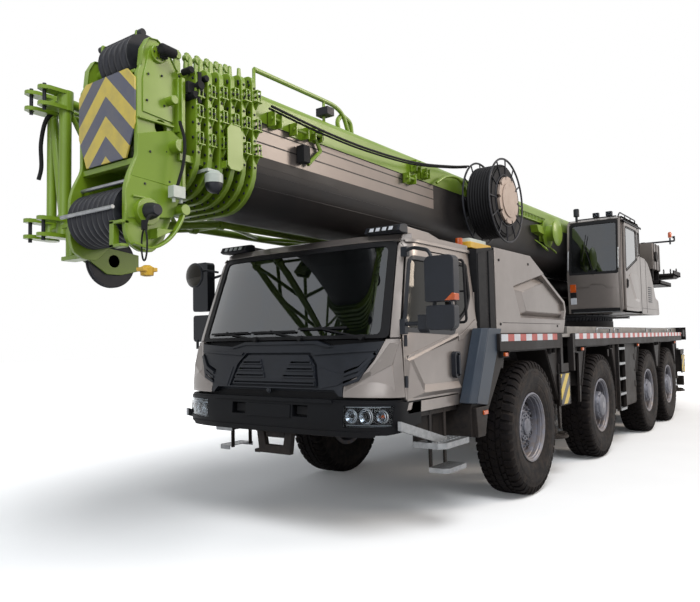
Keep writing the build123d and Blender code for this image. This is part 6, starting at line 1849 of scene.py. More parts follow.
class CRANE_OT_cab_inside(bpy.types.Operator):
    """Furnish the carrier cab: two stuffed seats, the dashboard and the steering wheel"""

    bl_idname = "crane.cab_inside"
    bl_label = "Cab inside"

    def execute(self, context):
        """Builds what shows dimly through the glass."""
        for side, sign in SIDES:
            pads, base = seat(ahead(1.38), 0.56 * sign, 1.085, 1.44)
            for name, pad in zip(("base", "back", "head"), pads):
                made = piece(f"cab_seat_{name}_{side}", pad, ("cloth",), "carrier", (), 0,
                             smooth=60)
            piece(f"cab_seat_frame_{side}", base, ("rubber",), "carrier",
                  ("cab_interior",) if sign > 0 else (), 4, 1)
        dash = [(1.96, 1.33), (1.93, 1.53), (1.97, 1.605), (2.06, 1.635), (2.22, 1.615), (2.25, 1.58),
                (2.25, 1.33)]
        hood_ring = [(1.955, 1.60), (1.93, 1.66), (1.99, 1.70), (2.12, 1.66), (2.10, 1.61)]
        screens = join(prism(forward(hood_ring), 0.36, 0.78),
                       blocks_ahead([(1.90, 1.93, 0.02, 0.28, 1.50, 1.66)]))
        board = join(prism(forward(dash), -1.11, 1.11), screens,
                     blocks_ahead([(1.45, 1.95, -0.16, 0.16, 1.08, 1.36)]))
        piece("dashboard", board, ("abs",), "carrier", (), 12, 3)
        a = np.linspace(0, 2 * np.pi, 48, endpoint=False)
        hoop = np.stack([0 * a, 0.205 * np.cos(a), 0.205 * np.sin(a)], -1)
        spokes = bars(np.zeros((3, 3)), [(0, 0.20, 0.0), (0, -0.20, 0.0), (0, 0, -0.20)], 0.012, 8)
        wheel = join(tube(hoop, 0.015, 10, closed=True), spokes,
                     disc((0, 0, 0), 0.055, -0.02, 0.02, "x", 24))
        wheel = wheel.turned(-30, "Y").moved(ahead(1.85), 0.56, 1.59)
        column = bars(forward([(1.86, 0.56, 1.585)]), forward([(1.985, 0.56, 1.50)]), 0.028, 16)
        piece("cab_steering_wheel", join(wheel, column), ("rubber",), "carrier", (), 0)
        return {"FINISHED"}


class CRANE_OT_cab_fittings(bpy.types.Operator):
    """Add the carrier cab's mirrors, wipers, roof lamps, steps, rails, coolant tanks and beacons"""

    bl_idname = "crane.cab_fittings"
    bl_label = "Mirrors, wipers, steps and lamps"

    def execute(self, context):
        """Builds the fittings at their places on the cab."""
        # Left mirrors: two shells on bent arms, glass to the rear and an amber repeater on the outer edge.
        upper = plate(rounded(0.122, 0.172, (0.02, 0.02, 0.045, 0.045), 6, (1.572, 2.062)), ahead(2.280),
                      ahead(2.375), flat("x"))
        lower = plate(rounded(0.118, 0.092, (0.045, 0.045, 0.02, 0.02), 6, (1.572, 1.772)), ahead(2.285),
                      ahead(2.370), flat("x"))
        arms = join(tube(bent(forward([(2.288, 1.195, 1.735), (2.295, 1.36, 1.735), (2.31, 1.50, 1.745),
                                       (2.31, 1.50, 1.90)]), 0.05),
                         0.016, 10),
                    tube(bent(forward([(2.085, 1.120, 2.335), (2.17, 1.24, 2.345), (2.31, 1.46, 2.29),
                                       (2.32, 1.50, 2.18)]), 0.06),
                         0.014, 10),
                    blocks_ahead([(2.262, 2.315, 1.185, 1.235, 1.655, 1.775),
                                  (2.06, 2.11, 1.085, 1.145, 2.29, 2.37)]),
                    prism(forward([(2.30, 1.66), (2.335, 1.69), (2.335, 1.80), (2.30, 1.80)]), 1.36, 1.45))
        shells = join(upper, lower, arms)
        # The right mirror is carried by its door, a little further back, on two arms.
        far = -1.570
        close = join(
            plate(rounded(0.118, 0.262, (0.03, 0.03, 0.04, 0.04), 6, (far, 2.216)), ahead(1.792),
                  ahead(1.898), flat("x")),
            plate(rounded(0.118, 0.142, (0.04, 0.04, 0.03, 0.03), 6, (far, 1.772)), ahead(1.797),
                  ahead(1.893), flat("x")),
            tube(bent(forward([(1.800, -1.150, 2.325), (1.810, -1.30, 2.335), (1.83, -1.50, 2.30)]), 0.03),
                 0.014, 10),
            tube(bent(forward([(1.800, -1.200, 1.640), (1.810, -1.36, 1.640), (1.83, -1.50, 1.68)]), 0.02),
                 0.014, 10),
            blocks_ahead([(1.78, 1.825, -1.215, -1.190, 1.615, 1.670),
                          (1.78, 1.825, -1.165, -1.135, 2.30, 2.35)]))
        close_glass = join(plate(rounded(0.100, 0.238, 0.02, 5, (far, 2.216)), ahead(1.787), ahead(1.794),
                                 flat("x")),
                           plate(rounded(0.100, 0.120, 0.02, 5, (far, 1.772)), ahead(1.790), ahead(1.797),
                                 flat("x")))
        glass_form = join(plate(rounded(0.105, 0.152, 0.02, 5, (1.572, 2.062)), ahead(2.272), ahead(2.279),
                                flat("x")),
                          plate(rounded(0.102, 0.075, 0.02, 5, (1.572, 1.772)), ahead(2.277), ahead(2.284),
                                flat("x")))
        repeater = prism([(1.615, 1.895), (1.700, 1.895), (1.700, 1.945), (1.680, 1.950)], ahead(2.300),
                         ahead(2.379), "x")
        front_hoop = join(tube(bent(forward([(2.02, -1.150, 2.335), (2.10, -1.26, 2.36),
                                             (2.154, -1.35, 2.33)]), 0.04),
                               0.012, 8),
                          spun([(-0.006, 0.02), (-0.008, 0.122), (0.0, 0.130), (0.012, 0.126), (0.03, 0.09),
                                (0.04, 0.03)],
                               (ahead(2.150), -1.36, 2.31), "x", 36))
        piece("mirror_left_shells", shells, ("abs",), "carrier", (), 6, 3)
        piece("mirror_left_glasses", glass_form, ("mirror",), "carrier", (), 0)
        piece("mirror_left_repeater", repeater, ("amber",), "carrier", (), 4, 2)
        piece("mirror_right_shells", join(close, front_hoop), ("abs",), "door_right", (),
              6, 3)
        # The round mirror's face is dark smoked glass in place of silvered glass: a painted dark reflection.
        round_face = spun([(0.041, 0.004), (0.040, 0.032), (0.030, 0.091), (0.014, 0.118), (0.010, 0.118),
                           (0.026, 0.088), (0.036, 0.004)],
                          (ahead(2.1515), -1.36, 2.31), "x", 36)
        piece("mirror_round_face_painted_dark", round_face, ("smoked",), "door_right", (), 0)
        piece("mirror_right_glasses", close_glass, ("mirror",), "door_right", (), 0)

        def skin_path(start, stop, out, steps=8):
            """Points on the cab's front between two of its run and height, a distance outwards."""
            part = np.linspace(0, 1, steps)
            u, v = (start[k] + part * (stop[k] - start[k]) for k in (0, 1))
            return cab_skin(u, v, out)

        # Wipers: three blades on the glass with their arms from the edge of the mask.
        wiper_forms = []
        for left, right, pivot in (((-0.92, 1.695), (-0.40, 1.702), (-0.28, 1.640)),
                                   ((-0.36, 1.700), (0.16, 1.702), (0.24, 1.642)),
                                   ((0.19, 1.720), (0.70, 1.722), (0.86, 1.640))):
            centre = ((left[0] + right[0]) / 2, (left[1] + right[1]) / 2)
            wiper_forms.append(carried([(-0.005, -0.008), (0.005, -0.008), (0.003, 0.010), (-0.003, 0.010)],
                                       skin_path(left, right, 0.012)))
            wiper_forms.append(carried(oblong(0.006, 0.006), skin_path(centre, pivot, 0.030)))
            wiper_forms.append(disc(spot(cab_skin, *pivot, 0.0), 0.022, -0.01, 0.045, "x", 16))
            wiper_forms.append(bolts([spot(cab_skin, *centre, 0.008)], (1, 0, 0.3), 0.010, 0.03, 8))
        piece("wipers", join(*wiper_forms), ("rubber",), "carrier", (), 0)

        # Roof lamps: a black front with slots over a faired tail in body colour.
        pod = prism(forward([(2.045, 2.507), (2.080, 2.520), (2.052, 2.570), (1.985, 2.582), (1.940, 2.575),
                             (1.940, 2.507)]),
                    0.71, 1.06)
        trim = prism(forward([(2.079, 2.516), (2.086, 2.520), (2.062, 2.566), (2.055, 2.564)]), 0.735,
                     1.035, "y", (), 1)
        slots = prism(forward([(2.080, 2.525), (2.088, 2.527), (2.069, 2.560), (2.060, 2.558)]), 0.0, 0.040,
                      "y", (), 2)
        slots = join(*[slots.moved(y=y) for y in (0.762, 0.826, 0.890, 0.954)])
        tail = prism(forward([(1.940, 2.507), (1.940, 2.572), (1.55, 2.560), (1.36, 2.525), (1.36, 2.507)]),
                     0.76, 1.04)
        piece("roof_lamp_pods", join(pod, trim, slots).both(), ("abs", "rubber", "white"), "carrier",
              (), 4, 2)
        piece("roof_lamp_tails", tail.both(), ("champagne",), "carrier", (), 10, 3)

        # Steps: two perforated treads, the long slanted arm from the bumper and the hangers below the sill.
        holes = [0.012 * circle(1.0, 8) + (x, y)
                 for x in np.arange(1.515, 1.90, 0.052)
                 for y in (1.10, 1.155, 1.21, 1.265)]
        tread = plate([(1.480, 1.06), (1.480, 1.338), (1.885, 1.338), (1.935, 1.29), (1.935, 1.06)], 0.763,
                      0.770, flat("z"), holes)
        rims = join(*[spun([(0.763, 0.012), (0.763, 0.015), (0.775, 0.013), (0.775, 0.012)], (x, y, 0), "z",
                           8, ring=True)
                      for x in np.arange(1.515, 1.90, 0.052)
                      for y in (1.155, 1.21, 1.265)])
        lip = carried(oblong(0.004, 0.024),
                      [(1.480, 1.06, 0.748), (1.480, 1.338, 0.748), (1.885, 1.338, 0.748),
                       (1.935, 1.29, 0.748), (1.935, 1.06, 0.748)])
        holes_low = [0.012 * circle(1.0, 8) + (x, y)
                     for x in np.arange(1.585, 1.84, 0.052)
                     for y in (1.20, 1.255, 1.30)]
        tread_low = plate([(1.54, 1.165), (1.54, 1.335), (1.83, 1.335), (1.87, 1.295), (1.87, 1.165)],
                          0.553, 0.560, flat("z"), holes_low)
        lip_low = carried(oblong(0.004, 0.020),
                          [(1.54, 1.165, 0.541), (1.54, 1.335, 0.541), (1.83, 1.335, 0.541),
                           (1.87, 1.295, 0.541), (1.87, 1.165, 0.541)])
        treads = join(tread, rims, lip, tread_low, lip_low).moved(x=FRONT_AXLE)
        arm = prism(forward([(2.385, 0.992), (2.385, 0.922), (1.72, 0.732), (1.66, 0.732), (1.66, 0.792),
                             (1.70, 0.798)]),
                    1.195, 1.225)
        piece("cab_steps", join(treads, arm).both(), ("zinc",), "carrier", (), 0)
        hangers = join(blocks_ahead([(x - 0.02, x + 0.02, 1.150, 1.168, 0.54, 1.03) for x in (1.58, 1.83)]),
                       blocks_ahead([(1.345, 2.20, 1.10, 1.165, 0.985, 1.045),
                                     (1.46, 1.93, 1.05, 1.08, 0.735, 1.02)]))
        piece("step_hangers", hangers.both(), ("frame",), "carrier", (), 3, 1)

        # Grab rails behind the doors.
        rail = join(tube(bent(forward([(1.275, 1.150, 2.325), (1.275, 1.235, 2.325), (1.270, 1.250, 1.760),
                                       (1.270, 1.175, 1.760)]), 0.04),
                         0.0125, 10),
                    bars(forward([(1.272, 1.165, 2.04)]), forward([(1.272, 1.243, 2.04)]), 0.009))
        piece("grab_rails", rail.both(), ("rubber",), "carrier", (), 0)

        # Coolant tanks and beacons on the hood's step behind the cab.
        tank = plate(rounded(0.26, 0.085, 0.03, 5, (ahead(0.40), 0.93)), 2.520, 2.585, flat("z"))
        top = plate(rounded(0.20, 0.065, 0.03, 5, (ahead(0.42), 0.93)), 2.585, 2.625, flat("z"), (), None, 1)
        necks = join(*[disc((ahead(x), 0.93, 0), 0.022, 2.62, 2.640, "z", 16, 2) for x in (0.30, 0.50)])
        piece("coolant_tanks", join(tank, top, necks), ("yellow", "pale", "rubber"), "carrier",
              (), 5, 2)
        lamp_form = join(disc((ahead(0.735), 0.93, 0), 0.036, 2.525, 2.612, "z", 24),
                         disc((ahead(0.735), 0.93, 0), 0.044, 2.50, 2.53, "z", 24, 1))
        piece("cab_beacon", join(lamp_form, disc((ahead(0.735), -0.93, 0), 0.036, 2.525, 2.612, "z", 24)),
              ("amber", "rubber"), "carrier", (), 4, 2)
        return {"FINISHED"}


# Side line of the arches over the axles, as half lengths at the top and the foot and the foot's height.
ARCHES = ((0.480, 0.850, 0.900), (0.600, 0.800, 1.000), (0.560, 0.740, 1.030), (0.560, 0.760, 1.030))
DECK_REAR, SKIRT_LOW, SKIRT_TOP = -8.85, 1.490, 1.650


def banded(x0, x1, z0, z1, y, pitch, paints):
    """Row of blocks along X between two ends, in turns of two paints."""
    many = max(2, int(round((x1 - x0) / pitch)))
    edges = np.linspace(x0, x1, many + 1)
    forms = [blocks([(a, b, y - 0.001, y + 0.0035, z0, z1)], paints[k % 2])
             for k, (a, b) in enumerate(zip(edges[:-1], edges[1:]))]
    return join(*forms)


class CRANE_OT_deck(bpy.types.Operator):
    """Dress the deck: chequered floor, edge strips in red and white, arches, side plates and wing panels"""

    bl_idname = "crane.deck"
    bl_label = "Deck, arches and wings"

    def execute(self, context):
        """Builds the deck from straight plates and the arches from bent ones."""
        round_cut = circle(0.957, 64) + (SLEW_X, 0)
        outline = forward([(DECK_REAR, -1.34), (0.83, -1.34), (0.83, 1.34), (DECK_REAR, 1.34)])
        floor = plate(outline, 1.605, 1.645, flat("z"), (round_cut,))
        raised = plate(forward([(-8.80, -1.19), (-1.69, -1.19), (-1.69, 1.19), (-8.80, 1.19)]), 1.645,
                       1.738, flat("z"), (round_cut,))
        # Raised tread bars of the chequer plate, two directions in turn, drawn large enough to show.
        pitch = 0.085
        n = np.arange(int(7.0 / pitch))
        m = np.arange(int(2.3 / pitch))
        gx, gy = np.meshgrid(n, m, indexing="ij")
        px, py = ahead(-8.74) + gx * pitch, -1.14 + gy * pitch
        away = np.hypot(px - SLEW_X, py) > 1.01
        lean = np.where((gx + gy) % 2 == 0, 1.0, -1.0)[away]
        px, py = px[away], py[away]
        starts = np.stack([px - 0.021, py - 0.021 * lean, np.full(px.shape, 1.738)], -1)
        ends = np.stack([px + 0.021, py + 0.021 * lean, np.full(px.shape, 1.738)], -1)
        tread = bars(starts, ends, 0.0045, 4)
        piece("deck_floor", join(floor, raised), ("deck",), "carrier", ("deck",), 3, 1)
        piece("deck_tread", tread, ("deck",), "carrier", (), 0)

        # Edge strips with a lower lip, broken at the outriggers.
        runs = ((-0.875, 0.83), (-8.33, -1.385))
        edge = []
        for x0, x1 in runs:
            edge.append(blocks_ahead([(x0, x1, 1.335, 1.372, SKIRT_LOW, SKIRT_TOP),
                                      (x0, x1, 1.30, 1.374, SKIRT_LOW - 0.006, SKIRT_LOW + 0.012)]))
        tail_posts = blocks_ahead([(-8.88, -8.845, 0.98, 1.372, 1.49, 1.75),
                                   (-8.82, -8.60, 1.33, 1.36, 1.56, 1.70)])
        piece("deck_edges", join(*edge, tail_posts).both(), ("frame",), "carrier", (), 3, 1)
        tapes = join(banded(ahead(-0.76), ahead(0.80), 1.578, 1.646, 1.373, 0.150, (0, 1)),
                     banded(ahead(-8.28), ahead(-1.42), 1.578, 1.646, 1.373, 0.150, (0, 1)))
        rear_tape = banded(-1.20, 1.20, 1.520, 1.580, 0.0, 0.12, (0, 1))
        rear_tape = rear_tape.mapped(lambda p: np.stack([ahead(-8.884) - p[:, 1], p[:, 0], p[:, 2]], -1))
        piece("edge_tapes", join(tapes.both(), rear_tape), ("red", "white"), "carrier", (),
              0)

        # Arches: a bent plate with a rolled lip and an inner wall over each wheel.
        forms, lips = [], []
        for number, (x, (top, foot, foot_z)) in enumerate(zip(AXLES, ARCHES)):
            line = [(x + foot, foot_z), (x + top, 1.482), (x - top, 1.482), (x - foot, foot_z)]
            if number == 0:
                line = [(x + 0.622, 1.435), (x + 0.606, 1.482), (x - top, 1.482), (x - foot, foot_z)]
            inner = [(a + (x - a) * 0.016 / abs(x - a), b - 0.012) for a, b in line]
            forms.append(prism(line + inner[::-1], 0.990, 1.335))
            # The steered wheels swing through the inner side, so only the rear pair has a wall there.
            if number > 1:
                forms.append(prism(line, 0.960, 0.974))
            lips.append(tube(bent([(a, 1.335, b) for a, b in line], 0.05), 0.011, 8))
        # Side plates that fill between an arch and the posts beside it.
        fills = [[(-0.40, 1.485), (-0.50, 1.470), (-0.86, 0.905), (-0.90, 0.56), (-0.945, 0.56),
                  (-0.945, 1.485)],
                 [(-1.335, 1.485), (-1.90, 1.485), (-1.745, 1.12), (-1.70, 0.80), (-1.66, 0.80),
                  (-1.66, 1.40), (-1.335, 1.44)],
                 [(-3.13, 1.485), (-3.325, 1.00), (-3.325, 0.56), (-3.37, 0.56), (-3.37, 1.485)],
                 [(-4.555, 1.485), (-4.555, 1.03), (-4.585, 1.03), (-4.75, 1.485)],
                 [(-5.90, 1.485), (-6.06, 1.05), (-6.13, 1.05), (-6.21, 1.05), (-6.39, 1.485)],
                 [(-7.55, 1.485), (-7.73, 1.04), (-7.73, 0.62), (-7.79, 0.62), (-7.83, 1.485)]]
        for ring in fills:
            forms.append(prism(forward(ring), 1.302, 1.330))
        gussets = []
        for x in (0.69, -0.62, -1.70, -3.02, -4.60, -6.05, -7.62):
            gussets.append(blocks_ahead([(x - 0.075, x + 0.075, 1.300, 1.372, 1.424, 1.433)]))
            gussets.append(prism(forward([(x - 0.05, 1.424), (x + 0.05, 1.424), (x + 0.02, 1.320),
                                          (x - 0.02, 1.320)]),
                                 1.312, 1.326))
            gussets.append(blocks_ahead([(x - 0.075, x - 0.068, 1.300, 1.372, 1.424, 1.49),
                                         (x + 0.068, x + 0.075, 1.300, 1.372, 1.424, 1.49)]))
        piece("wheel_arches", join(*forms, *lips, *gussets).both(), ("frame",), "carrier",
              (), 2, 1)
        lamps = [blocks_ahead([(x - 0.035, x + 0.035, 1.345, 1.380, 1.434, 1.470)])
                 for x in (0.69, -1.70, -4.60, -7.62)]
        piece("side_marker_lamps", join(*lamps).both(), ("amber",), "carrier", (), 5, 2)
        # Silver handles on the deck.
        loops = [tube(bent(forward([(a, 1.285, 1.640), (a, 1.285, 1.716), (b, 1.285, 1.716),
                                    (b, 1.285, 1.640)]), 0.045),
                      0.0125, 10)
                 for a, b in ((-2.63, -3.31), (-3.52, -3.78), (-5.60, -5.95), (-7.40, -7.75))]
        piece("deck_handles", join(*loops).both(), ("zinc",), "carrier", (), 0)

        # Wing panel between the cab and the front wheel: folded slate face, dark inner box and marker lamp.
        place = flat("y")
        face = join(slab(forward([(1.060, 1.705, 1.300), (0.995, 1.705, 1.340), (1.300, 1.035, 1.340),
                                  (1.370, 1.042, 1.300)]),
                         1.20, place),
                    slab(forward([(0.995, 1.705, 1.340), (0.700, 1.700, 1.338), (1.065, 1.005, 1.338),
                                  (1.300, 1.035, 1.340)]),
                         1.20, place))
        piece("wing_panels", face.both(), ("slate",), "carrier", (), 8, 2)
        dark = join(prism(forward([(0.64, 1.650), (0.98, 1.650), (1.315, 1.020), (1.320, 0.740),
                                   (1.010, 0.740), (1.010, 1.000)]),
                          1.000, 1.290),
                    prism(forward([(0.700, 1.660), (0.655, 1.640), (0.725, 1.335), (1.045, 0.960),
                                   (1.120, 0.735), (1.270, 0.735), (1.300, 1.000), (1.070, 1.000)]),
                          1.270, 1.332))
        piece("wing_boxes", dark.both(), ("frame",), "carrier", (), 5, 2)
        marker = blocks_ahead([(1.075, 1.165, 1.330, 1.346, 0.925, 0.962)])
        piece("wing_markers", marker.both(), ("amber",), "carrier", (), 4, 2)
        return {"FINISHED"}


class CRANE_OT_hood(bpy.types.Operator):
    """Dress the engine hood: shell with a folded recess on each side, louvres and the intake column"""

    bl_idname = "crane.hood"
    bl_label = "Engine hood"

    def execute(self, context):
        """Builds the hood's side from flat facets at their depths, then its top, tail and column."""
        place = flat("y")
        wide = 1.200

        def at(points, depth):
            """Corners of a facet at a depth in from the hood's side."""
            return [(ahead(x), z, wide - depth) for x, z in points]

        shell = slab(at([(0.50, 1.655), (0.50, 2.52), (-0.475, 2.52), (-0.90, 2.347), (0.035, 2.154),
                         (-0.148, 1.827), (-1.600, 1.818), (-1.525, 1.655)], 0.0),
                     1.10, place)
        outer = [(-0.90, 2.347), (0.035, 2.154), (-0.148, 1.827), (-1.600, 1.818)]
        deep = [(-0.915, 2.318), (-0.085, 2.142), (-0.245, 1.862), (-1.608, 1.852)]
        inner = [(-1.040, 2.262), (-0.300, 2.108), (-0.430, 1.900), (-1.618, 1.890)]
        panel = slab(at(inner + [(-1.655, 1.95), (-1.640, 2.044)], 0.050), 1.08, place)
        # Facets between one line and the next, each line at its own depth, and how deep their backs lie.
        lines = ((outer, 0.0), (deep, 0.085), (inner, 0.050))
        backs = ((1.10, 1.10, 1.10), (1.10, 1.10, 1.08))
        facets = [slab(at(near[k : k + 2], d0) + at(far[k : k + 2][::-1], d1), low, place)
                  for (near, d0), (far, d1), lows in zip(lines, lines[1:], backs)
                  for k, low in enumerate(lows)]
        sides = join(shell, *facets, panel)
        line = [(0.50, 2.52), (-0.475, 2.52), (-0.90, 2.347), (-1.625, 2.052), (-1.665, 1.93),
                (-1.535, 1.655)]
        inside_line = [(-1.495, 1.655), (-1.620, 1.93), (-1.585, 2.025), (-0.885, 2.310), (-0.468, 2.480),
                       (0.50, 2.48)]
        roof = prism(forward(line + inside_line), -1.192, 1.192)
        front_wall = blocks_ahead([(0.46, 0.50, -1.19, 1.19, 1.655, 2.48)])
        piece("hood_shell", join(sides.both(), roof, front_wall), ("champagne",), "carrier",
              ("engine_hood",), 5, 2)
        # Louvres: bent blades in the hood's top, and a dark grille in its sloping tail.
        blades = [prism(forward([(x, 2.518), (x + 0.045, 2.518), (x + 0.012, 2.538)]), y0, y1)
                  for x in np.arange(-0.38, 0.36, 0.062)
                  for y0, y1 in ((0.16, 0.62), (-0.62, -0.16))]
        frame_form = blocks_ahead([(-0.42, 0.40, 0.13, 0.65, 2.515, 2.524),
                                   (-0.42, 0.40, -0.65, -0.13, 2.515, 2.524)])
        bars_form = [prism(forward([(-0.96 - 0.058 * k, 2.327 - 0.0236 * k),
                                    (-0.985 - 0.058 * k, 2.317 - 0.0236 * k),
                                    (-0.975 - 0.058 * k, 2.345 - 0.0236 * k)]),
                           -0.80, 0.80)
                     for k in range(10)]
        piece("hood_louvres", join(frame_form, *blades, *bars_form), ("abs",), "carrier",
              (), 0)
        latches = bolts(forward([(x, wide - 0.002, z)
                                 for x, z in ((0.40, 1.75), (0.40, 2.40), (-1.30, 1.74), (-0.40, 2.42))]),
                        (0, 1, 0), 0.014, 0.008, 12)
        hinge_line = bars(forward([(0.35, wide - 0.001, 1.765)]), forward([(-1.40, wide - 0.001, 1.765)]),
                          0.003, 6)
        piece("hood_latches", join(latches, hinge_line).both(), ("rubber",), "carrier", (),
              0)
        # Intake column between cab and hood: a ribbed black housing with its grille facing out.
        column = [(0.515, 1.655), (0.515, 2.505), (0.560, 2.515), (0.885, 2.470), (0.885, 1.655)]
        box = prism(forward(column), -1.185, 1.185)
        fold = join(prism(forward([(0.525, 1.66), (0.525, 2.490), (0.640, 2.470), (0.640, 1.66)]), 1.180,
                          1.199),
                    prism(forward([(0.700, 1.66), (0.700, 2.455), (0.875, 2.425), (0.875, 1.66)]), 1.180,
                          1.194))
        grille = [prism(forward([(0.648, z), (0.692, z), (0.692, z + 0.012), (0.648, z + 0.012)]), 1.180,
                        1.188)
                  for z in np.arange(1.72, 2.42, 0.035)]
        piece("intake_column", join(box, join(*grille, fold).both()), ("rubber",), "carrier",
              (), 6, 2)
        return {"FINISHED"}


class CRANE_OT_side_gear(bpy.types.Operator):
    """Dress the ladder, the side boxes, the rear bumper and its lamps"""

    bl_idname = "crane.side_gear"
    bl_label = "Ladder, boxes and rear bumper"

    def execute(self, context):
        """Builds the box, the treads and the bumper with their small parts."""
        box = blocks_ahead([(-4.55, -3.80, 0.92, 1.318, 0.545, 1.59)])
        lid = plate(rounded(0.345, 0.46, 0.03, 5, (ahead(-4.175), 1.03)), 1.318, 1.334, flat("y"))
        hinges = bars(forward([(-3.86, 1.336, z) for z in (0.66, 1.32)]),
                      forward([(-3.86, 1.336, z + 0.09) for z in (0.66, 1.32)]), 0.010, 8)
        pulls = join(blocks_ahead([(-4.50, -4.44, 1.333, 1.343, z, z + 0.10) for z in (0.80, 1.22)]),
                     disc((ahead(-4.47), 0, 1.06), 0.018, 1.333, 1.344, "y", 16))
        piece("side_boxes", join(box, lid, hinges, pulls).both(), ("frame",), "carrier",
              ("side_gear",), 5, 2)
        rails = blocks_ahead([(x - 0.015, x + 0.015, 1.325, 1.372, 0.522, 1.485) for x in (-3.755, -3.395)])
        piece("ladder_rails", rails.both(), ("frame",), "carrier", (), 3, 1)
        treads = []
        for z in (0.545, 0.765, 0.985, 1.205, 1.425):
            treads.append(blocks_ahead([(-3.735, -3.415, 1.20, 1.374, z - 0.004, z + 0.004),
                                        (-3.74, -3.41, 1.360, 1.376, z - 0.024, z + 0.010)]))
            teeth = forward([(x, y, z + 0.004)
                             for x in np.arange(-3.71, -3.43, 0.04)
                             for y in (1.23, 1.27, 1.31)])
            treads.append(bolts(teeth, (0, 0, 1), 0.010, 0.005, 6))
        piece("ladder_treads", join(*treads).both(), ("zinc",), "carrier", (), 0)
        # Rear bumper: a folded beam on two hangers, lamp clusters and the bare plate's place.
        back = ahead(-9.180)
        beam = prism([(back, 0.535), (back, 0.700), (back + 0.03, 0.720), (ahead(-9.062), 0.720),
                      (ahead(-9.062), 0.520), (back + 0.02, 0.520)],
                     -1.25, 1.25)
        hang = blocks_ahead([(-9.065, -8.90, y - 0.04, y + 0.04, 0.54, 1.05) for y in (-0.34, 0.34)])
        chevrons = blocks([(back - 0.004, back, y0, y1, 0.56, 0.69)
                           for y0, y1 in ((0.92, 1.22), (-1.22, -0.92))], 1)
        blank_plate = blocks([(back - 0.006, back, -0.26, 0.26, 0.565, 0.680)], 2)
        piece("rear_bumper", join(beam, hang, chevrons, blank_plate), ("frame", "hazard", "white"),
              "carrier", (), 4, 1)
        lamps = []
        for y, paint in ((0.52, 0), (0.61, 1), (0.70, 0), (0.79, 2)):
            lamps.append(disc((0, y, 0.628), 0.038, back - 0.012, back + 0.002, "x", 20, paint))
        piece("rear_lamps", join(*lamps).both(), ("red", "amber", "white"), "carrier", (), 4, 1)
        return {"FINISHED"}


JACK_Y = 1.150


class CRANE_OT_outriggers(bpy.types.Operator):
    """Dress the outriggers: beams, jack cylinders, end plates with hazard bands and dished foot plates"""

    bl_idname = "crane.outriggers"
    bl_label = "Outriggers"

    def execute(self, context):
        """Builds one outrigger's beam and jack and sets a copy at each place."""
        for place, side, sign in BEAMS:
            x = middle(f"outrigger_jack_{place}_{side}", 0)
            walls = blocks([(x - 0.100, x - 0.088, -1.00, 1.335, 1.00, 1.294),
                            (x + 0.088, x + 0.100, -1.00, 1.335, 1.00, 1.294),
                            (x - 0.099, x + 0.099, -1.00, 1.335, 1.285, 1.296),
                            (x - 0.099, x + 0.099, -1.00, 1.335, 0.998, 1.009)])
            end = blocks([(x - 0.19, x + 0.19, 1.345, 1.362, 0.82, 1.19)])
            ribs = blocks([(x - 0.14, x - 0.125, 1.24, 1.346, 0.84, 1.17),
                           (x + 0.125, x + 0.14, 1.24, 1.346, 0.84, 1.17)])
            head_box = blocks([(x - 0.125, x + 0.125, 1.035, 1.262, 0.90, 1.32)])
            barrel = spun([(0.700, 0.0665), (0.700, 0.098), (0.735, 0.104), (0.760, 0.095), (1.50, 0.095),
                           (1.53, 0.105), (1.575, 0.105), (1.588, 0.085), (1.588, 0.0665), (1.50, 0.0665)],
                          (x, JACK_Y, 0), "z", 36, ring=True)
            cap = disc((x, JACK_Y, 0), 0.075, 1.575, 1.592, "z", 24)
            ports = join(disc((x + 0.095, JACK_Y, 1.44), 0.018, -0.01, 0.03, "x", 12),
                         disc((x + 0.095, JACK_Y, 0.84), 0.018, -0.01, 0.03, "x", 12),
                         tube(bent([(x + 0.120, JACK_Y, 0.84), (x + 0.135, JACK_Y, 0.86),
                                    (x + 0.135, JACK_Y, 1.42), (x + 0.120, JACK_Y, 1.44)], 0.02),
                              0.008, 8))
            upper = blocks([(x - 0.178, x + 0.178, 1.335, 1.352, 1.197, 1.30)])
            metal = join(walls, end, ribs, head_box, barrel, cap, ports, upper)
            sheet = blocks([(x - 0.135, x + 0.150, 1.362, 1.368, 0.835, 1.180)], 1)
            nuts = bolts([(x + dx, 1.362, z) for dx in (-0.168, 0.172) for z in (0.85, 0.96, 1.07, 1.165)],
                         (0, 1, 0), 0.010, 0.008)
            node = f"outrigger_beam_{place}_{side}"
            piece(f"{node}_dress", join(metal, nuts, sheet).on(sign), ("frame", "hazard"),
                  f"beam_{place}_{side}", (node,), 3, 1)
            # The jack: ground rod, ball and the dished plate with its rim and stiffeners.
            rod = disc((x, JACK_Y, 0), 0.0645, 0.50, 1.49, "z", 32)
            foot = spun([(0.440, 0.205), (0.448, 0.219), (0.466, 0.220), (0.472, 0.205), (0.486, 0.120),
                         (0.500, 0.100), (0.548, 0.092), (0.556, 0.070)],
                        (x, JACK_Y, 0), "z", 48).painted(1)
            fin = blocks([(x - 0.006, x + 0.006, JACK_Y + 0.06, JACK_Y + 0.19, 0.462, 0.50)], 1)
            ear = blocks([(x - 0.03, x + 0.03, JACK_Y + 0.19, JACK_Y + 0.215, 0.462, 0.490)], 1)
            around_foot = join(fin.around(8, "Z", (x, JACK_Y, 0)), ear.around(4, "Z", (x, JACK_Y, 0), 45))
            jack = f"outrigger_jack_{place}_{side}"
            piece(f"{jack}_dress", join(rod, foot, around_foot).on(sign), ("chrome", "frame"),
                  f"jack_{place}_{side}", (jack,), 2, 1)
        # Posts on the carrier at each side of the front beams.
        plates = blocks_ahead([(-0.95, -0.875, 1.30, 1.372, 1.20, 1.645),
                               (-1.385, -1.33, 1.30, 1.372, 1.20, 1.645)])
        piece("outrigger_posts", plates.both(), ("frame",), "carrier", (), 4, 1)
        return {"FINISHED"}


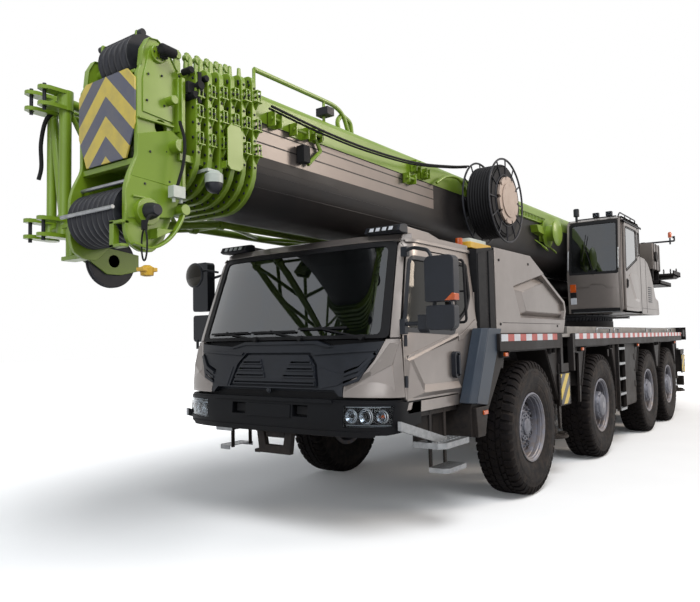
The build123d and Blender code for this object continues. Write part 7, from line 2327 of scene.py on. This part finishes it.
# ------------------------------------------------------------------ superstructure and operator's cab
ROPE_TURNS = 27


class CRANE_OT_superstructure(bpy.types.Operator):
    """Dress the superstructure: toothed ring, girder, cheeks, tail trays, hoist drum, rear cover and tank"""

    bl_idname = "crane.superstructure"
    bl_label = "Superstructure"

    def execute(self, context):
        """Builds the parts that turn with the slewing ring, apart from the operator's cab."""
        slew = (SLEW_X, 0, 0)
        ring = spun([(1.8505, 0.62), (1.8505, 0.872), (1.862, 0.880), (1.915, 0.880), (1.925, 0.898),
                     (1.950, 0.898), (1.956, 0.62)],
                    slew, "z", 96)
        tooth = blocks([(SLEW_X + 0.875, SLEW_X + 0.893, -0.011, 0.011, 1.858, 1.912)])
        nut = bolts([(SLEW_X + 0.82, 0, 1.953)], (0, 0, 1), 0.017, 0.024)
        turning = join(ring, tooth.around(96, "Z", slew), nut.around(36, "Z", slew))
        piece("slew_ring", turning, ("steel",), "superstructure", (), 0)

        table = [(-4.02, 1.955), (-4.02, 2.10), (-4.20, 2.245), (-7.70, 2.245), (-7.85, 2.40),
                 (-7.85, 2.10), (-7.60, 1.955)]
        girder = prism(forward(table), 0.488, 0.518).both()
        plates = blocks_ahead([(-7.80, -4.02, -0.518, 0.518, 1.952, 1.975),
                               (-7.80, -4.20, -0.518, 0.518, 2.225, 2.248),
                               (-4.04, -4.02, -0.50, 0.50, 1.96, 2.10),
                               (-7.85, -7.82, -0.50, 0.50, 1.98, 2.42)])
        ribs = blocks_ahead([(x, x + 0.016, 0.515, 0.555, 1.985, 2.225)
                             for x in (-4.45, -5.05, -6.55, -7.15, -7.65)]).both()
        cheek_line = [(-5.60, 2.249), (-6.62, 3.20), (-6.72, 3.25), (-7.25, 3.25), (-7.75, 3.15),
                      (-8.66, 3.15), (-8.68, 2.60), (-7.90, 2.60), (-7.85, 2.249)]
        pin = (ahead(-7.0), 0, 3.05)
        openings = (circle(0.130, 20) + (ahead(-7.05), 2.62),
                    forward([(-7.95, 2.74), (-8.50, 2.74), (-8.50, 3.02), (-7.95, 3.02)]))
        cheek = join(prism(forward(cheek_line), 0.502, 0.530, "y", openings),
                     carried(oblong(0.006, 0.028), forward([(x, 0.530, z) for x, z in cheek_line[:6]]),
                             (0, 1, 0)),
                     disc(pin, 0.135, 0.500, 0.560, "y", 36), disc(pin, 0.082, 0.560, 0.590, "y", 24),
                     bolts(round_points((pin[0], 0.560, pin[2]), 0.11, 8), (0, 1, 0), 0.011, 0.010),
                     prism(forward([(-5.85, 2.25), (-6.75, 3.10), (-6.80, 3.10), (-6.10, 2.25)]), 0.530,
                           0.548)).both()
        eye = (ahead(-5.75), 0, 2.46)
        lugs = join(prism(forward([(-5.63, 2.248), (-5.65, 2.46), (-5.67, 2.53), (-5.75, 2.56),
                                   (-5.83, 2.53), (-5.85, 2.46), (-5.87, 2.248)]),
                          0.0605, 0.095),
                    disc(eye, 0.062, 0.095, 0.125, "y", 24)).both()
        pin_bar = disc(eye, 0.040, -0.12, 0.12, "y", 20)
        floor = blocks_ahead([(-8.68, -7.72, -0.50, 0.50, 2.60, 2.625),
                              (-8.68, -8.64, -0.50, 0.50, 2.60, 3.10)])
        tray = join(
            blocks_ahead([(-8.50, -7.45, 0.53, 1.20, 2.60, 2.625), (-8.50, -8.47, 0.53, 1.20, 2.60, 2.68),
                          (-7.48, -7.45, 0.53, 1.20, 2.60, 2.68), (-8.50, -7.45, 1.17, 1.20, 2.60, 2.68)]),
            prism(forward([(-8.30, 2.60), (-8.26, 2.60), (-8.26, 2.42), (-8.30, 2.46)]), 0.53, 0.80)).both()
        steel_frame = join(girder, plates, ribs, cheek, lugs, pin_bar, floor, tray)
        piece("superstructure_frame", steel_frame, ("frame",), "superstructure",
              ("superstructure",), 4, 1)

        # Hoist drum: rope wound in turns between two flanges.
        x, z = ahead(-8.19), 2.95
        wound = coils((x, 0, z), np.linspace(-0.31, 0.31, ROPE_TURNS), 0.200, 0.0115, 6, 40)
        drum = spun([(-0.35, 0.05), (-0.35, 0.26), (-0.33, 0.26), (-0.33, 0.197), (0.33, 0.197),
                     (0.33, 0.26), (0.35, 0.26), (0.35, 0.05)],
                    (x, 0, z), "y", 48)
        motor = join(disc((x, 0, z), 0.12, 0.35, 0.49, "y", 24),
                     disc((x, 0, z), 0.10, -0.49, -0.35, "y", 24))
        piece("hoist_drum", join(wound, drum.painted(1), motor.painted(1)), ("steel", "lime"),
              "superstructure", (), 0)

        # Rear cover behind the operator's cab, rounded down to a step, with panel seams and a louvre.
        cover = [(-5.225, 1.965), (-5.225, 2.930), (-5.560, 2.925), (-5.80, 2.86), (-6.02, 2.70),
                 (-6.20, 2.47), (-6.33, 2.27), (-6.56, 2.225), (-6.60, 1.995), (-6.56, 1.965)]
        cover = softened(forward(cover), 0.05, 4)
        shell = prism(cover, 0.60, 1.318)
        seams = join(bars(forward([(-5.62, 1.3185, 1.98)]), forward([(-5.62, 1.3185, 2.90)]), 0.003, 6),
                     bars(forward([(-5.23, 1.3185, 2.06)]), forward([(-6.55, 1.3185, 2.06)]), 0.003, 6))
        louvre = blocks_ahead([(-6.02, -5.76, 1.314, 1.324, z0, z0 + 0.016)
                               for z0 in np.arange(2.18, 2.46, 0.036)])
        link = blocks_ahead([(-6.30, -5.26, 0.519, 0.61, 1.985, 2.235)])
        piece("rear_cover", join(shell, seams.painted(1), louvre.painted(1), link.painted(1)),
              ("champagne", "abs"), "superstructure", (), 6, 2)

        # Tank box with its frame, the lashing tray with rings, and the lamp arm.
        box = join(blocks_ahead([(-8.02, -7.34, 0.70, 1.10, 2.90, 3.42)]),
                   disc((ahead(-7.50), 0.90, 0), 0.05, 3.42, 3.455, "z", 20, 1),
                   disc((ahead(-7.80), 0.90, 0), 0.035, 3.42, 3.450, "z", 20, 1))
        feet = join(blocks_ahead([(x, x + 0.05, 0.72, 1.08, 2.66, 2.91) for x in (-7.98, -7.44)]),
                    blocks_ahead([(x, x + 0.035, 1.095, 1.108, 2.88, 3.43) for x in (-7.92, -7.68, -7.44)]),
                    disc((ahead(-7.56), 0, 3.16), 0.10, 1.10, 1.135, "y", 28))
        piece("oil_tank", join(box, feet.painted(1)), ("bronze", "frame"), "superstructure",
              (), 12, 3)
        tray_high = join(
            blocks_ahead([(-8.66, -7.96, 0.60, 1.36, 2.800, 2.825), (-8.66, -8.635, 0.60, 1.36, 2.80, 2.90),
                          (-8.66, -7.96, 1.335, 1.36, 2.80, 2.90), (-8.50, -8.40, 0.60, 1.00, 2.68, 2.80)]),
            prism(forward([(-8.64, 2.80), (-8.00, 2.80), (-8.00, 2.74), (-8.30, 2.74)]), 0.60, 1.34),
            *[tube(round_points((ahead(-8.44), y, 2.925), 0.045, 24), 0.008, 6, closed=True)
              for y in (0.95, 1.08, 1.21, 1.32)])
        piece("lashing_tray", tray_high, ("frame",), "superstructure", (), 3, 1)
        arm = join(tube(bent(forward([(-7.60, 0.60, 3.12), (-7.70, 0.66, 3.46), (-8.00, 0.86, 3.50),
                                      (-8.05, 1.38, 3.505)]), 0.06),
                        0.018, 10),
                   bars(forward([(-8.04, 1.30, 3.44), (-8.04, 1.38, 3.50)]),
                        forward([(-8.04, 1.30, 3.57), (-8.04, 1.38, 3.57)]), 0.016, 10),
                   disc((ahead(-8.04), 1.37, 0), 0.026, 3.56, 3.60, "z", 16))
        piece("lamp_arm", arm, ("steel",), "superstructure", (), 0)
        piece("tail_beacon",
              spun([(3.575, 0.02), (3.575, 0.036), (3.665, 0.036), (3.690, 0.024), (3.695, 0.008)],
                   (ahead(-8.04), 1.30, 0), "z", 24),
              ("amber",), "superstructure", (), 0)

        # Luffing cylinder: barrel with its gland, foot eye, ports and pressure line.
        barrel = spun([(-5.640, 0.002), (-5.640, 0.125), (-5.615, 0.140), (-2.800, 0.140), (-2.790, 0.157),
                       (-2.690, 0.157), (-2.670, 0.150), (-2.670, 0.1012), (-5.40, 0.1012), (-5.40, 0.002)],
                      (FRONT_AXLE, 0, 2.46), "x", 56, ring=True)
        foot = join(prism(circle(0.100, 36) + (ahead(-5.75), 2.46), -0.058, 0.058, "y",
                          (circle(0.0425, 20) + (ahead(-5.75), 2.46),)),
                    blocks_ahead([(-5.70, -5.62, -0.056, 0.056, 2.375, 2.545)]))
        line = tube(bent(forward([(-5.50, 0, 2.60), (-5.50, 0.0, 2.635), (-2.86, 0.0, 2.635),
                                  (-2.86, 0, 2.59)]), 0.03),
                    0.013, 10)
        clamps = blocks_ahead([(x, x + 0.04, -0.035, 0.035, 2.595, 2.650) for x in (-4.9, -4.1, -3.3)])
        piece("luff_barrel_dress", join(barrel, foot, line, clamps), ("frame",), "luff_barrel",
              ("luff_barrel",), 2, 1)
        return {"FINISHED"}


class CRANE_OT_operator_cab(bpy.types.Operator):
    """Dress the operator's cab: shell, windscreen, lower panel, sliding door, seat, roof rails and lamps"""

    bl_idname = "crane.operator_cab"
    bl_label = "Operator's cab"

    def execute(self, context):
        """Builds the shell from panels at their faces, then its door and fittings."""
        skin = context.scene.crane_cab.skin
        y0, y1 = 0.522, 1.330
        side = [(-3.890, 1.965), (-3.850, 2.560), (-3.955, 3.370), (-3.985, 3.425), (-4.060, 3.465),
                (-5.110, 3.468), (-5.185, 3.430), (-5.198, 3.360), (-5.198, 1.965)]
        ring = forward(side)
        door_hole = forward([(-4.860, 2.030), (-4.060, 2.030), (-4.060, 2.55), (-4.105, 3.310),
                             (-4.860, 3.310)])
        pane_rear = softened(forward([(-4.925, 2.900), (-5.150, 2.945), (-5.150, 3.310), (-4.925, 3.310)]),
                             0.025)
        left = prism(ring, y1 - skin, y1, "y", (door_hole, pane_rear))
        right_window = softened(forward([(-4.060, 2.560), (-4.120, 3.330), (-5.080, 3.330),
                                         (-5.080, 2.560)]), 0.04)
        right = prism(ring, y0, y0 + skin, "y", (right_window,))

        # Front: a sheet that follows the side line, cut for the windscreen.
        line_x, line_z = np.array(side[:5]).T

        def front(u, v, w):
            """Points at Y = u and a height v, w ahead of the side line, bowed back towards both edges."""
            x = np.interp(v, line_z, line_x)
            rise = np.interp(v + 0.01, line_z, line_x) - np.interp(v - 0.01, line_z, line_x)
            bow = 0.020 * np.abs((u - (y0 + y1) / 2) / ((y1 - y0) / 2)) ** 4
            return np.stack([ahead(x) - bow + w, u, v - w * rise / 0.02], -1)

        screen = softened([(0.580, 2.600), (1.275, 2.600), (1.268, 3.365), (0.588, 3.365)], 0.035)
        face = plate([(y0, 1.966), (y1, 1.966), (y1, 3.440), (y0, 3.440)], -skin, 0.0, front, (screen,), 0.08)
        roof = prism(forward(side[3:8] + [(-5.17, 3.35), (-5.165, 3.41), (-5.10, 3.438), (-4.065, 3.435),
                                          (-4.00, 3.40)]),
                     y0, y1)
        rear_window = softened([(0.62, 2.95), (1.23, 2.95), (1.23, 3.32), (0.62, 3.32)], 0.03)
        back = plate([(y0, 1.966), (y1, 1.966), (y1, 3.42), (y0, 3.42)], ahead(-5.198), ahead(-5.168),
                     flat("x"), (rear_window,))
        base = blocks_ahead([(-5.195, -3.90, y0, y1, 1.962, 2.005)])
        # Lower panel: raised skin with its stepped groove, and the folded edge above it.
        panel_edge = [(0.545, 2.045), (1.308, 2.045), (1.308, 2.330), (1.12, 2.325), (1.05, 2.385),
                      (0.90, 2.395), (0.855, 2.345), (0.545, 2.350)]
        upper_edge = [(0.545, 2.375), (0.845, 2.370), (0.895, 2.420), (1.06, 2.410), (1.13, 2.350),
                      (1.308, 2.355), (1.308, 2.560), (0.545, 2.568)]
        panels = join(plate(panel_edge, 0.0, 0.010, front, (), 0.08),
                      plate(upper_edge, 0.0, 0.012, front, (), 0.08))
        roof_lid = plate(rounded(0.42, 0.30, 0.05, 5, (ahead(-4.62), (y0 + y1) / 2)), 3.468, 3.485, flat("z"))
        piece("operator_cab_shell", join(left, right, face, roof, back, base, panels, roof_lid),
              ("champagne",), "superstructure", ("operator_cab",), 5, 2)
        rim = plate(framed(screen, -0.045), 0.0, 0.008, front, (framed(screen, 0.004),), 0.08)
        low_strip = plate([(y0, 1.968), (y1, 1.968), (y1, 2.035), (y0, 2.035)], 0.0, 0.012, front, (), 0.1)
        gaskets = join(rim, low_strip,
                       prism(framed(pane_rear, -0.012), y1, y1 + 0.004, "y", (framed(pane_rear, 0.004),)),
                       plate(framed(rear_window, -0.015), ahead(-5.203), ahead(-5.197), flat("x"),
                             (framed(rear_window, 0.004),)))
        piece("operator_cab_gaskets", gaskets, ("rubber",), "superstructure", (), 2, 1)
        glass_form = join(plate(framed(screen, -0.004), -0.012, -0.006, front, (), 0.1),
                          prism(framed(pane_rear, -0.004), y1 - 0.016, y1 - 0.010),
                          prism(framed(right_window, -0.004), y0 + 0.010, y0 + 0.016),
                          plate(framed(rear_window, -0.004), ahead(-5.190), ahead(-5.184), flat("x")))
        piece("operator_cab_windows", glass_form, ("glass",), "superstructure",
              ("operator_glass",), 0)
        # Marker on the lower corner: amber over black over white.
        marks = [plate([(0.560, a), (0.655, a), (0.655, b), (0.560, b)], 0.010, 0.022, front, (),
                       0.08).painted(k)
                 for k, (a, b) in enumerate(((2.300, 2.425), (2.215, 2.296), (2.110, 2.211)))]
        piece("operator_cab_marker", join(*marks), ("amber", "rubber", "white"), "superstructure",
              (), 3, 1)
        strip = carried(oblong(0.012, 0.004), forward([(-3.868, 0.60, 1.975), (-3.868, 1.325, 1.975)]))
        holds = [tube(bent(forward([(-3.890, y, 2.64), (-3.832, y, 2.64), (-3.877, y, 2.96),
                                    (-3.935, y, 2.96)]), 0.03),
                      0.010, 8)
                 for y in (0.545, 1.305)]
        piece("operator_cab_handles", join(strip, *holds), ("zinc",), "superstructure", (), 0)
        wiper = join(bars(forward([(-3.845, 0.93, 2.59)]), forward([(-3.870, 0.80, 3.02)]), 0.007, 8),
                     bars(forward([(-3.848, 0.76, 2.78)]), forward([(-3.885, 0.83, 3.20)]), 0.006, 8),
                     disc((0, 0.93, 2.585), 0.02, ahead(-3.865), ahead(-3.825), "x", 16))
        piece("operator_cab_wiper", wiper, ("rubber",), "superstructure", (), 0)

        # Sliding door with its slanted window, folded crease, handle and rail.
        edge = softened(forward([(-4.878, 1.992), (-4.032, 1.992), (-4.032, 2.56), (-4.075, 3.366),
                                 (-4.878, 3.366)]), 0.03)
        window = softened(forward([(-4.085, 2.610), (-4.820, 2.850), (-4.820, 3.300), (-4.125, 3.300)]), 0.04)
        leaf = prism(edge, 1.336, 1.362, "y", (window,))
        flat_y = flat("y")
        fold = join(slab(forward([(-4.205, 2.530, 1.362), (-4.575, 2.160, 1.362), (-4.615, 2.200, 1.376),
                                  (-4.270, 2.545, 1.376)]),
                         1.350, flat_y),
                    slab(forward([(-4.575, 2.160, 1.362), (-4.865, 2.145, 1.362), (-4.865, 2.190, 1.376),
                                  (-4.615, 2.200, 1.376)]),
                         1.350, flat_y),
                    slab(forward([(-4.270, 2.545, 1.376), (-4.615, 2.200, 1.376), (-4.865, 2.190, 1.376),
                                  (-4.865, 2.60, 1.362), (-4.35, 2.585, 1.362)]),
                         1.350, flat_y))
        ledge = blocks_ahead([(-4.86, -4.05, 1.362, 1.370, 2.045, 2.060)])
        pull = join(prism(softened(forward([(-4.085, 2.340), (-4.135, 2.340), (-4.155, 2.480),
                                            (-4.105, 2.490)]), 0.015),
                          1.362, 1.372),
                    bars(forward([(-4.108, 1.378, 2.36)]), forward([(-4.128, 1.378, 2.465)]), 0.008, 8))
        gasket = prism(framed(window, -0.018), 1.362, 1.367, "y", (framed(window, 0.004),))
        rollers = join(*[disc((ahead(x), 0, 3.378), 0.012, 1.338, 1.366, "y", 12) for x in (-4.20, -4.75)])
        piece("operator_door_dress",
              join(leaf, fold, ledge, pull.painted(1), gasket.painted(1), rollers.painted(1)),
              ("champagne", "rubber"), "operator_door", ("operator_door",), 3, 1)
        piece("operator_door_window", prism(framed(window, -0.004), 1.346, 1.352), ("glass",),
              "operator_door", (), 0)
        rail = blocks_ahead([(-5.15, -4.02, 1.329, 1.374, 3.392, 3.404),
                             (-5.15, -4.02, 1.366, 1.374, 3.372, 3.404)])
        bars_form = join(tube(bent(forward([(-4.06, 1.28, 3.46), (-4.08, 1.30, 3.525), (-5.08, 1.30, 3.525),
                                            (-5.10, 1.28, 3.46)]), 0.05),
                              0.011, 8),
                         bars(forward([(-4.40, 1.30, 3.46), (-4.75, 1.30, 3.46)]),
                              forward([(-4.40, 1.30, 3.525), (-4.75, 1.30, 3.525)]), 0.009),
                         blocks_ahead([(x, x + 0.03, 0.62, 1.24, 3.468, 3.492) for x in (-4.14, -5.02)]))
        piece("operator_cab_rails", join(rail, bars_form), ("steel",), "superstructure", (), 0)
        lamp_form = join(disc((ahead(-4.02), 0.655, 0), 0.020, 3.45, 3.53, "z", 16),
                         spun([(3.525, 0.03), (3.525, 0.045), (3.640, 0.045), (3.650, 0.035)],
                              (ahead(-4.02), 0.655, 0), "z", 24),
                         *[join(blocks_ahead([(-4.06, -3.99, y - 0.045, y + 0.045, 3.478, 3.548)]),
                                blocks_ahead([(-3.992, -3.986, y - 0.036, y + 0.036, 3.487, 3.540)], 1))
                           for y in (0.96, 1.16)])
        piece("operator_cab_lamps", lamp_form, ("abs", "lens"), "superstructure", (), 4, 2)

        # Seat with its consoles and levers.
        pads, frame_form = seat(ahead(-4.68), 0.92, 2.005, 2.44)
        for name, pad in zip(("base", "back", "head"), pads):
            made = piece(f"operator_seat_{name}", pad, ("cloth",), "superstructure", (), 0,
                         smooth=60)
        consoles = join(*[join(blocks_ahead([(-4.85, -4.45, y - 0.045, y + 0.045, 2.20, 2.60),
                                             (-4.78, -4.52, y - 0.03, y + 0.03, 2.005, 2.20)]),
                               bars(forward([(-4.50, y, 2.60)]), forward([(-4.47, y, 2.72)]), 0.008, 8),
                               disc((ahead(-4.467), y, 0), 0.022, 2.70, 2.76, "z", 12))
                          for y in (0.63, 1.21)])
        piece("operator_consoles", join(frame_form, consoles), ("abs",), "superstructure",
              ("operator_seat",), 5, 2)
        return {"FINISHED"}


class CRANE_OT_boom_extras(bpy.types.Operator):
    """Add the lime side drum, the slatted walkway and the small rings on the boom's base section"""

    bl_idname = "crane.boom_extras"
    bl_label = "Boom side drum and slats"

    def execute(self, context):
        """Builds the small gear that rides with the boom's base section."""
        centre = (ahead(-3.02), 0, 3.15)
        flange = spun([(0.500, 0.05), (0.500, 0.200), (0.512, 0.215), (0.530, 0.215), (0.534, 0.120),
                       (0.640, 0.120), (0.650, 0.190), (0.668, 0.200), (0.690, 0.170), (0.705, 0.08)],
                      centre, "y", 40)
        shoes = join(blocks_ahead([(-3.18, -2.86, 0.440, 0.505, 3.02, 3.28)]),
                     prism(forward([(-2.70, 3.22), (-2.50, 3.22), (-2.55, 3.12), (-2.80, 3.10)]), 0.445,
                           0.56))
        hoops = join(*[tube(smooth_path(forward([(x, 0.47, 3.02), (x - 0.05, 0.60, 2.90),
                                                 (x - 0.16, 0.60, 2.86), (x - 0.24, 0.48, 2.96)]), 6),
                            0.009, 8)
                       for x in (-2.62, -2.98)])
        piece("boom_side_drum", join(flange, shoes, hoops), ("lime",), "boom", (), 4, 1)
        frame_form = blocks_ahead([(-3.10, -1.30, 0.450, 0.475, 3.385, 3.400),
                                   (-3.10, -1.30, 0.450, 0.475, 3.300, 3.315)])
        slats = blocks_ahead([(x, x + 0.022, 0.452, 0.470, 3.312, 3.388)
                              for x in np.arange(-3.08, -1.33, 0.058)])
        piece("boom_side_slats", join(frame_form, slats), ("lime",), "boom", (), 0)
        return {"FINISHED"}


# ------------------------------------------------------------------ floor, lamps and camera
def lamp(name, place, target, size, watts, colour=(1, 1, 1)):
    """Square soft lamp at a place, turned to face a target."""
    data = bpy.data.lights.new(name, "AREA")
    data.energy, data.size, data.color = watts, size, colour
    made = bpy.data.objects.new(name, data)
    bpy.context.scene.collection.objects.link(made)
    made.location = place
    made.rotation_euler = (Vector(target) - Vector(place)).to_track_quat("-Z", "Y").to_euler()
    return made


class CRANE_OT_stage(bpy.types.Operator):
    """Set the pale floor, the soft studio lamps, the even sky and the camera"""

    bl_idname = "crane.stage"
    bl_label = "Stage and camera"

    def execute(self, context):
        """Builds the stage round the finished crane and makes its camera the scene's."""
        scene, settings = context.scene, context.scene.crane_stage
        floor = plate([(-60, -60), (60, -60), (60, 60), (-60, 60)], -0.02, -0.001, flat("z"))
        mesh = bpy.data.meshes.new("studio_floor")
        mesh.from_pydata(floor.points.tolist(), [], np.split(floor.corners, np.cumsum(floor.counts)[:-1]))
        mesh.materials.append(finish("floor"))
        ground = bpy.data.objects.new("studio_floor", mesh)
        scene.collection.objects.link(ground)

        world = scene.world or bpy.data.worlds.new("studio sky")
        scene.world = world
        world.use_nodes = True
        tree = world.node_tree
        tree.nodes.clear()
        even = add(tree, "ShaderNodeBackground",
                   {"Color": (0.93, 0.96, 1.0, 1.0), "Strength": settings.sky})
        pale = add(tree, "ShaderNodeBackground", {"Color": (1.0, 1.0, 1.0, 1.0), "Strength": 1.0})
        both = add(tree, "ShaderNodeMixShader", {0: in_sight(tree), 1: even.outputs[0], 2: pale.outputs[0]})
        add(tree, "ShaderNodeOutputWorld", {0: both.outputs[0]})

        power = settings.key_power
        lamp("key", (11.0, 9.0, 16.0), (1.5, 0.0, 1.8), 9.0, power, (0.97, 0.985, 1.0))
        lamp("front", (16.0, 3.0, 4.0), (3.0, 0.0, 2.0), 5.0, power * 0.10, (0.93, 0.97, 1.0))
        lamp("rear", (-8.0, 14.0, 9.0), (-2.0, 0.0, 2.0), 6.0, power * 0.7, (1.0, 0.87, 0.75))

        data = bpy.data.cameras.new("camera")
        data.lens, data.sensor_width = settings.focal_length, 36.0
        data.clip_end = 400
        eye = bpy.data.objects.new("camera", data)
        scene.collection.objects.link(eye)
        yaw, pitch, roll = (math.radians(a) for a in (35.94, 3.36, -1.11))
        look = Vector((-math.cos(yaw) * math.cos(pitch), -math.sin(yaw) * math.cos(pitch), math.sin(pitch)))
        level = look.cross(Vector((0, 0, 1))).normalized()
        over = level.cross(look)
        right = math.cos(roll) * level + math.sin(roll) * over
        up = -math.sin(roll) * level + math.cos(roll) * over
        eye.matrix_world = Matrix((right, up, -look)).transposed().to_4x4()
        eye.location = (9.207, 3.916, 1.618)
        scene.camera = eye
        scene.view_settings.view_transform = "Standard"
        return {"FINISHED"}


class CRANE_PT_dress(bpy.types.Panel):
    """Sidebar list of the crane's groups"""

    bl_label = "Mobile crane"
    bl_idname = "CRANE_PT_dress"
    bl_space_type = "VIEW_3D"
    bl_region_type = "UI"
    bl_category = "Crane"

    def draw(self, context):
        """Draws each settings group and a button for each operator."""
        layout = self.layout
        for name in SETTINGS:
            group = getattr(context.scene, name)
            box = layout.box()
            for key in group.bl_rna.properties.keys():
                if key not in ("rna_type", "name"):
                    box.prop(group, key)
        for step in STEPS:
            layout.operator(step.bl_idname, text=step.bl_label)


SETTINGS = {
    "crane_paint": CranePaintSettings,
    "crane_boom": CraneBoomSettings,
    "crane_wheels": CraneWheelSettings,
    "crane_cab": CraneCabSettings,
    "crane_stage": CraneStageSettings,
}
STEPS = (CRANE_OT_boom, CRANE_OT_sections, CRANE_OT_boom_head, CRANE_OT_hose_reel, CRANE_OT_jib,
         CRANE_OT_wheels, CRANE_OT_cab_body, CRANE_OT_cab_front, CRANE_OT_cab_doors, CRANE_OT_cab_inside,
         CRANE_OT_cab_fittings, CRANE_OT_deck, CRANE_OT_hood, CRANE_OT_side_gear, CRANE_OT_outriggers,
         CRANE_OT_superstructure, CRANE_OT_operator_cab, CRANE_OT_boom_extras, CRANE_OT_stage)


def register():
    """Registers the settings, the operators and the panel."""
    for name, group in SETTINGS.items():
        bpy.utils.register_class(group)
        setattr(bpy.types.Scene, name, PointerProperty(type=group))
    for step in (*STEPS, CRANE_PT_dress):
        bpy.utils.register_class(step)


def unregister():
    """Takes the panel, the operators and the settings away again."""
    for step in (CRANE_PT_dress, *reversed(STEPS)):
        bpy.utils.unregister_class(step)
    for name, group in SETTINGS.items():
        delattr(bpy.types.Scene, name)
        bpy.utils.unregister_class(group)


def main():
    """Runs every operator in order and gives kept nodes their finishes."""
    register()
    for step in STEPS:
        group, name = step.bl_idname.split(".")
        getattr(getattr(bpy.ops, group), name)()
    for node, key in KEPT.items():
        refinish(node, key)


KEPT = {"chassis_frame": "frame", "tow_jaw": "frame", "engine_block": "hub", "luff_rod": "chrome"}

if __name__ == "__main__":
    main()
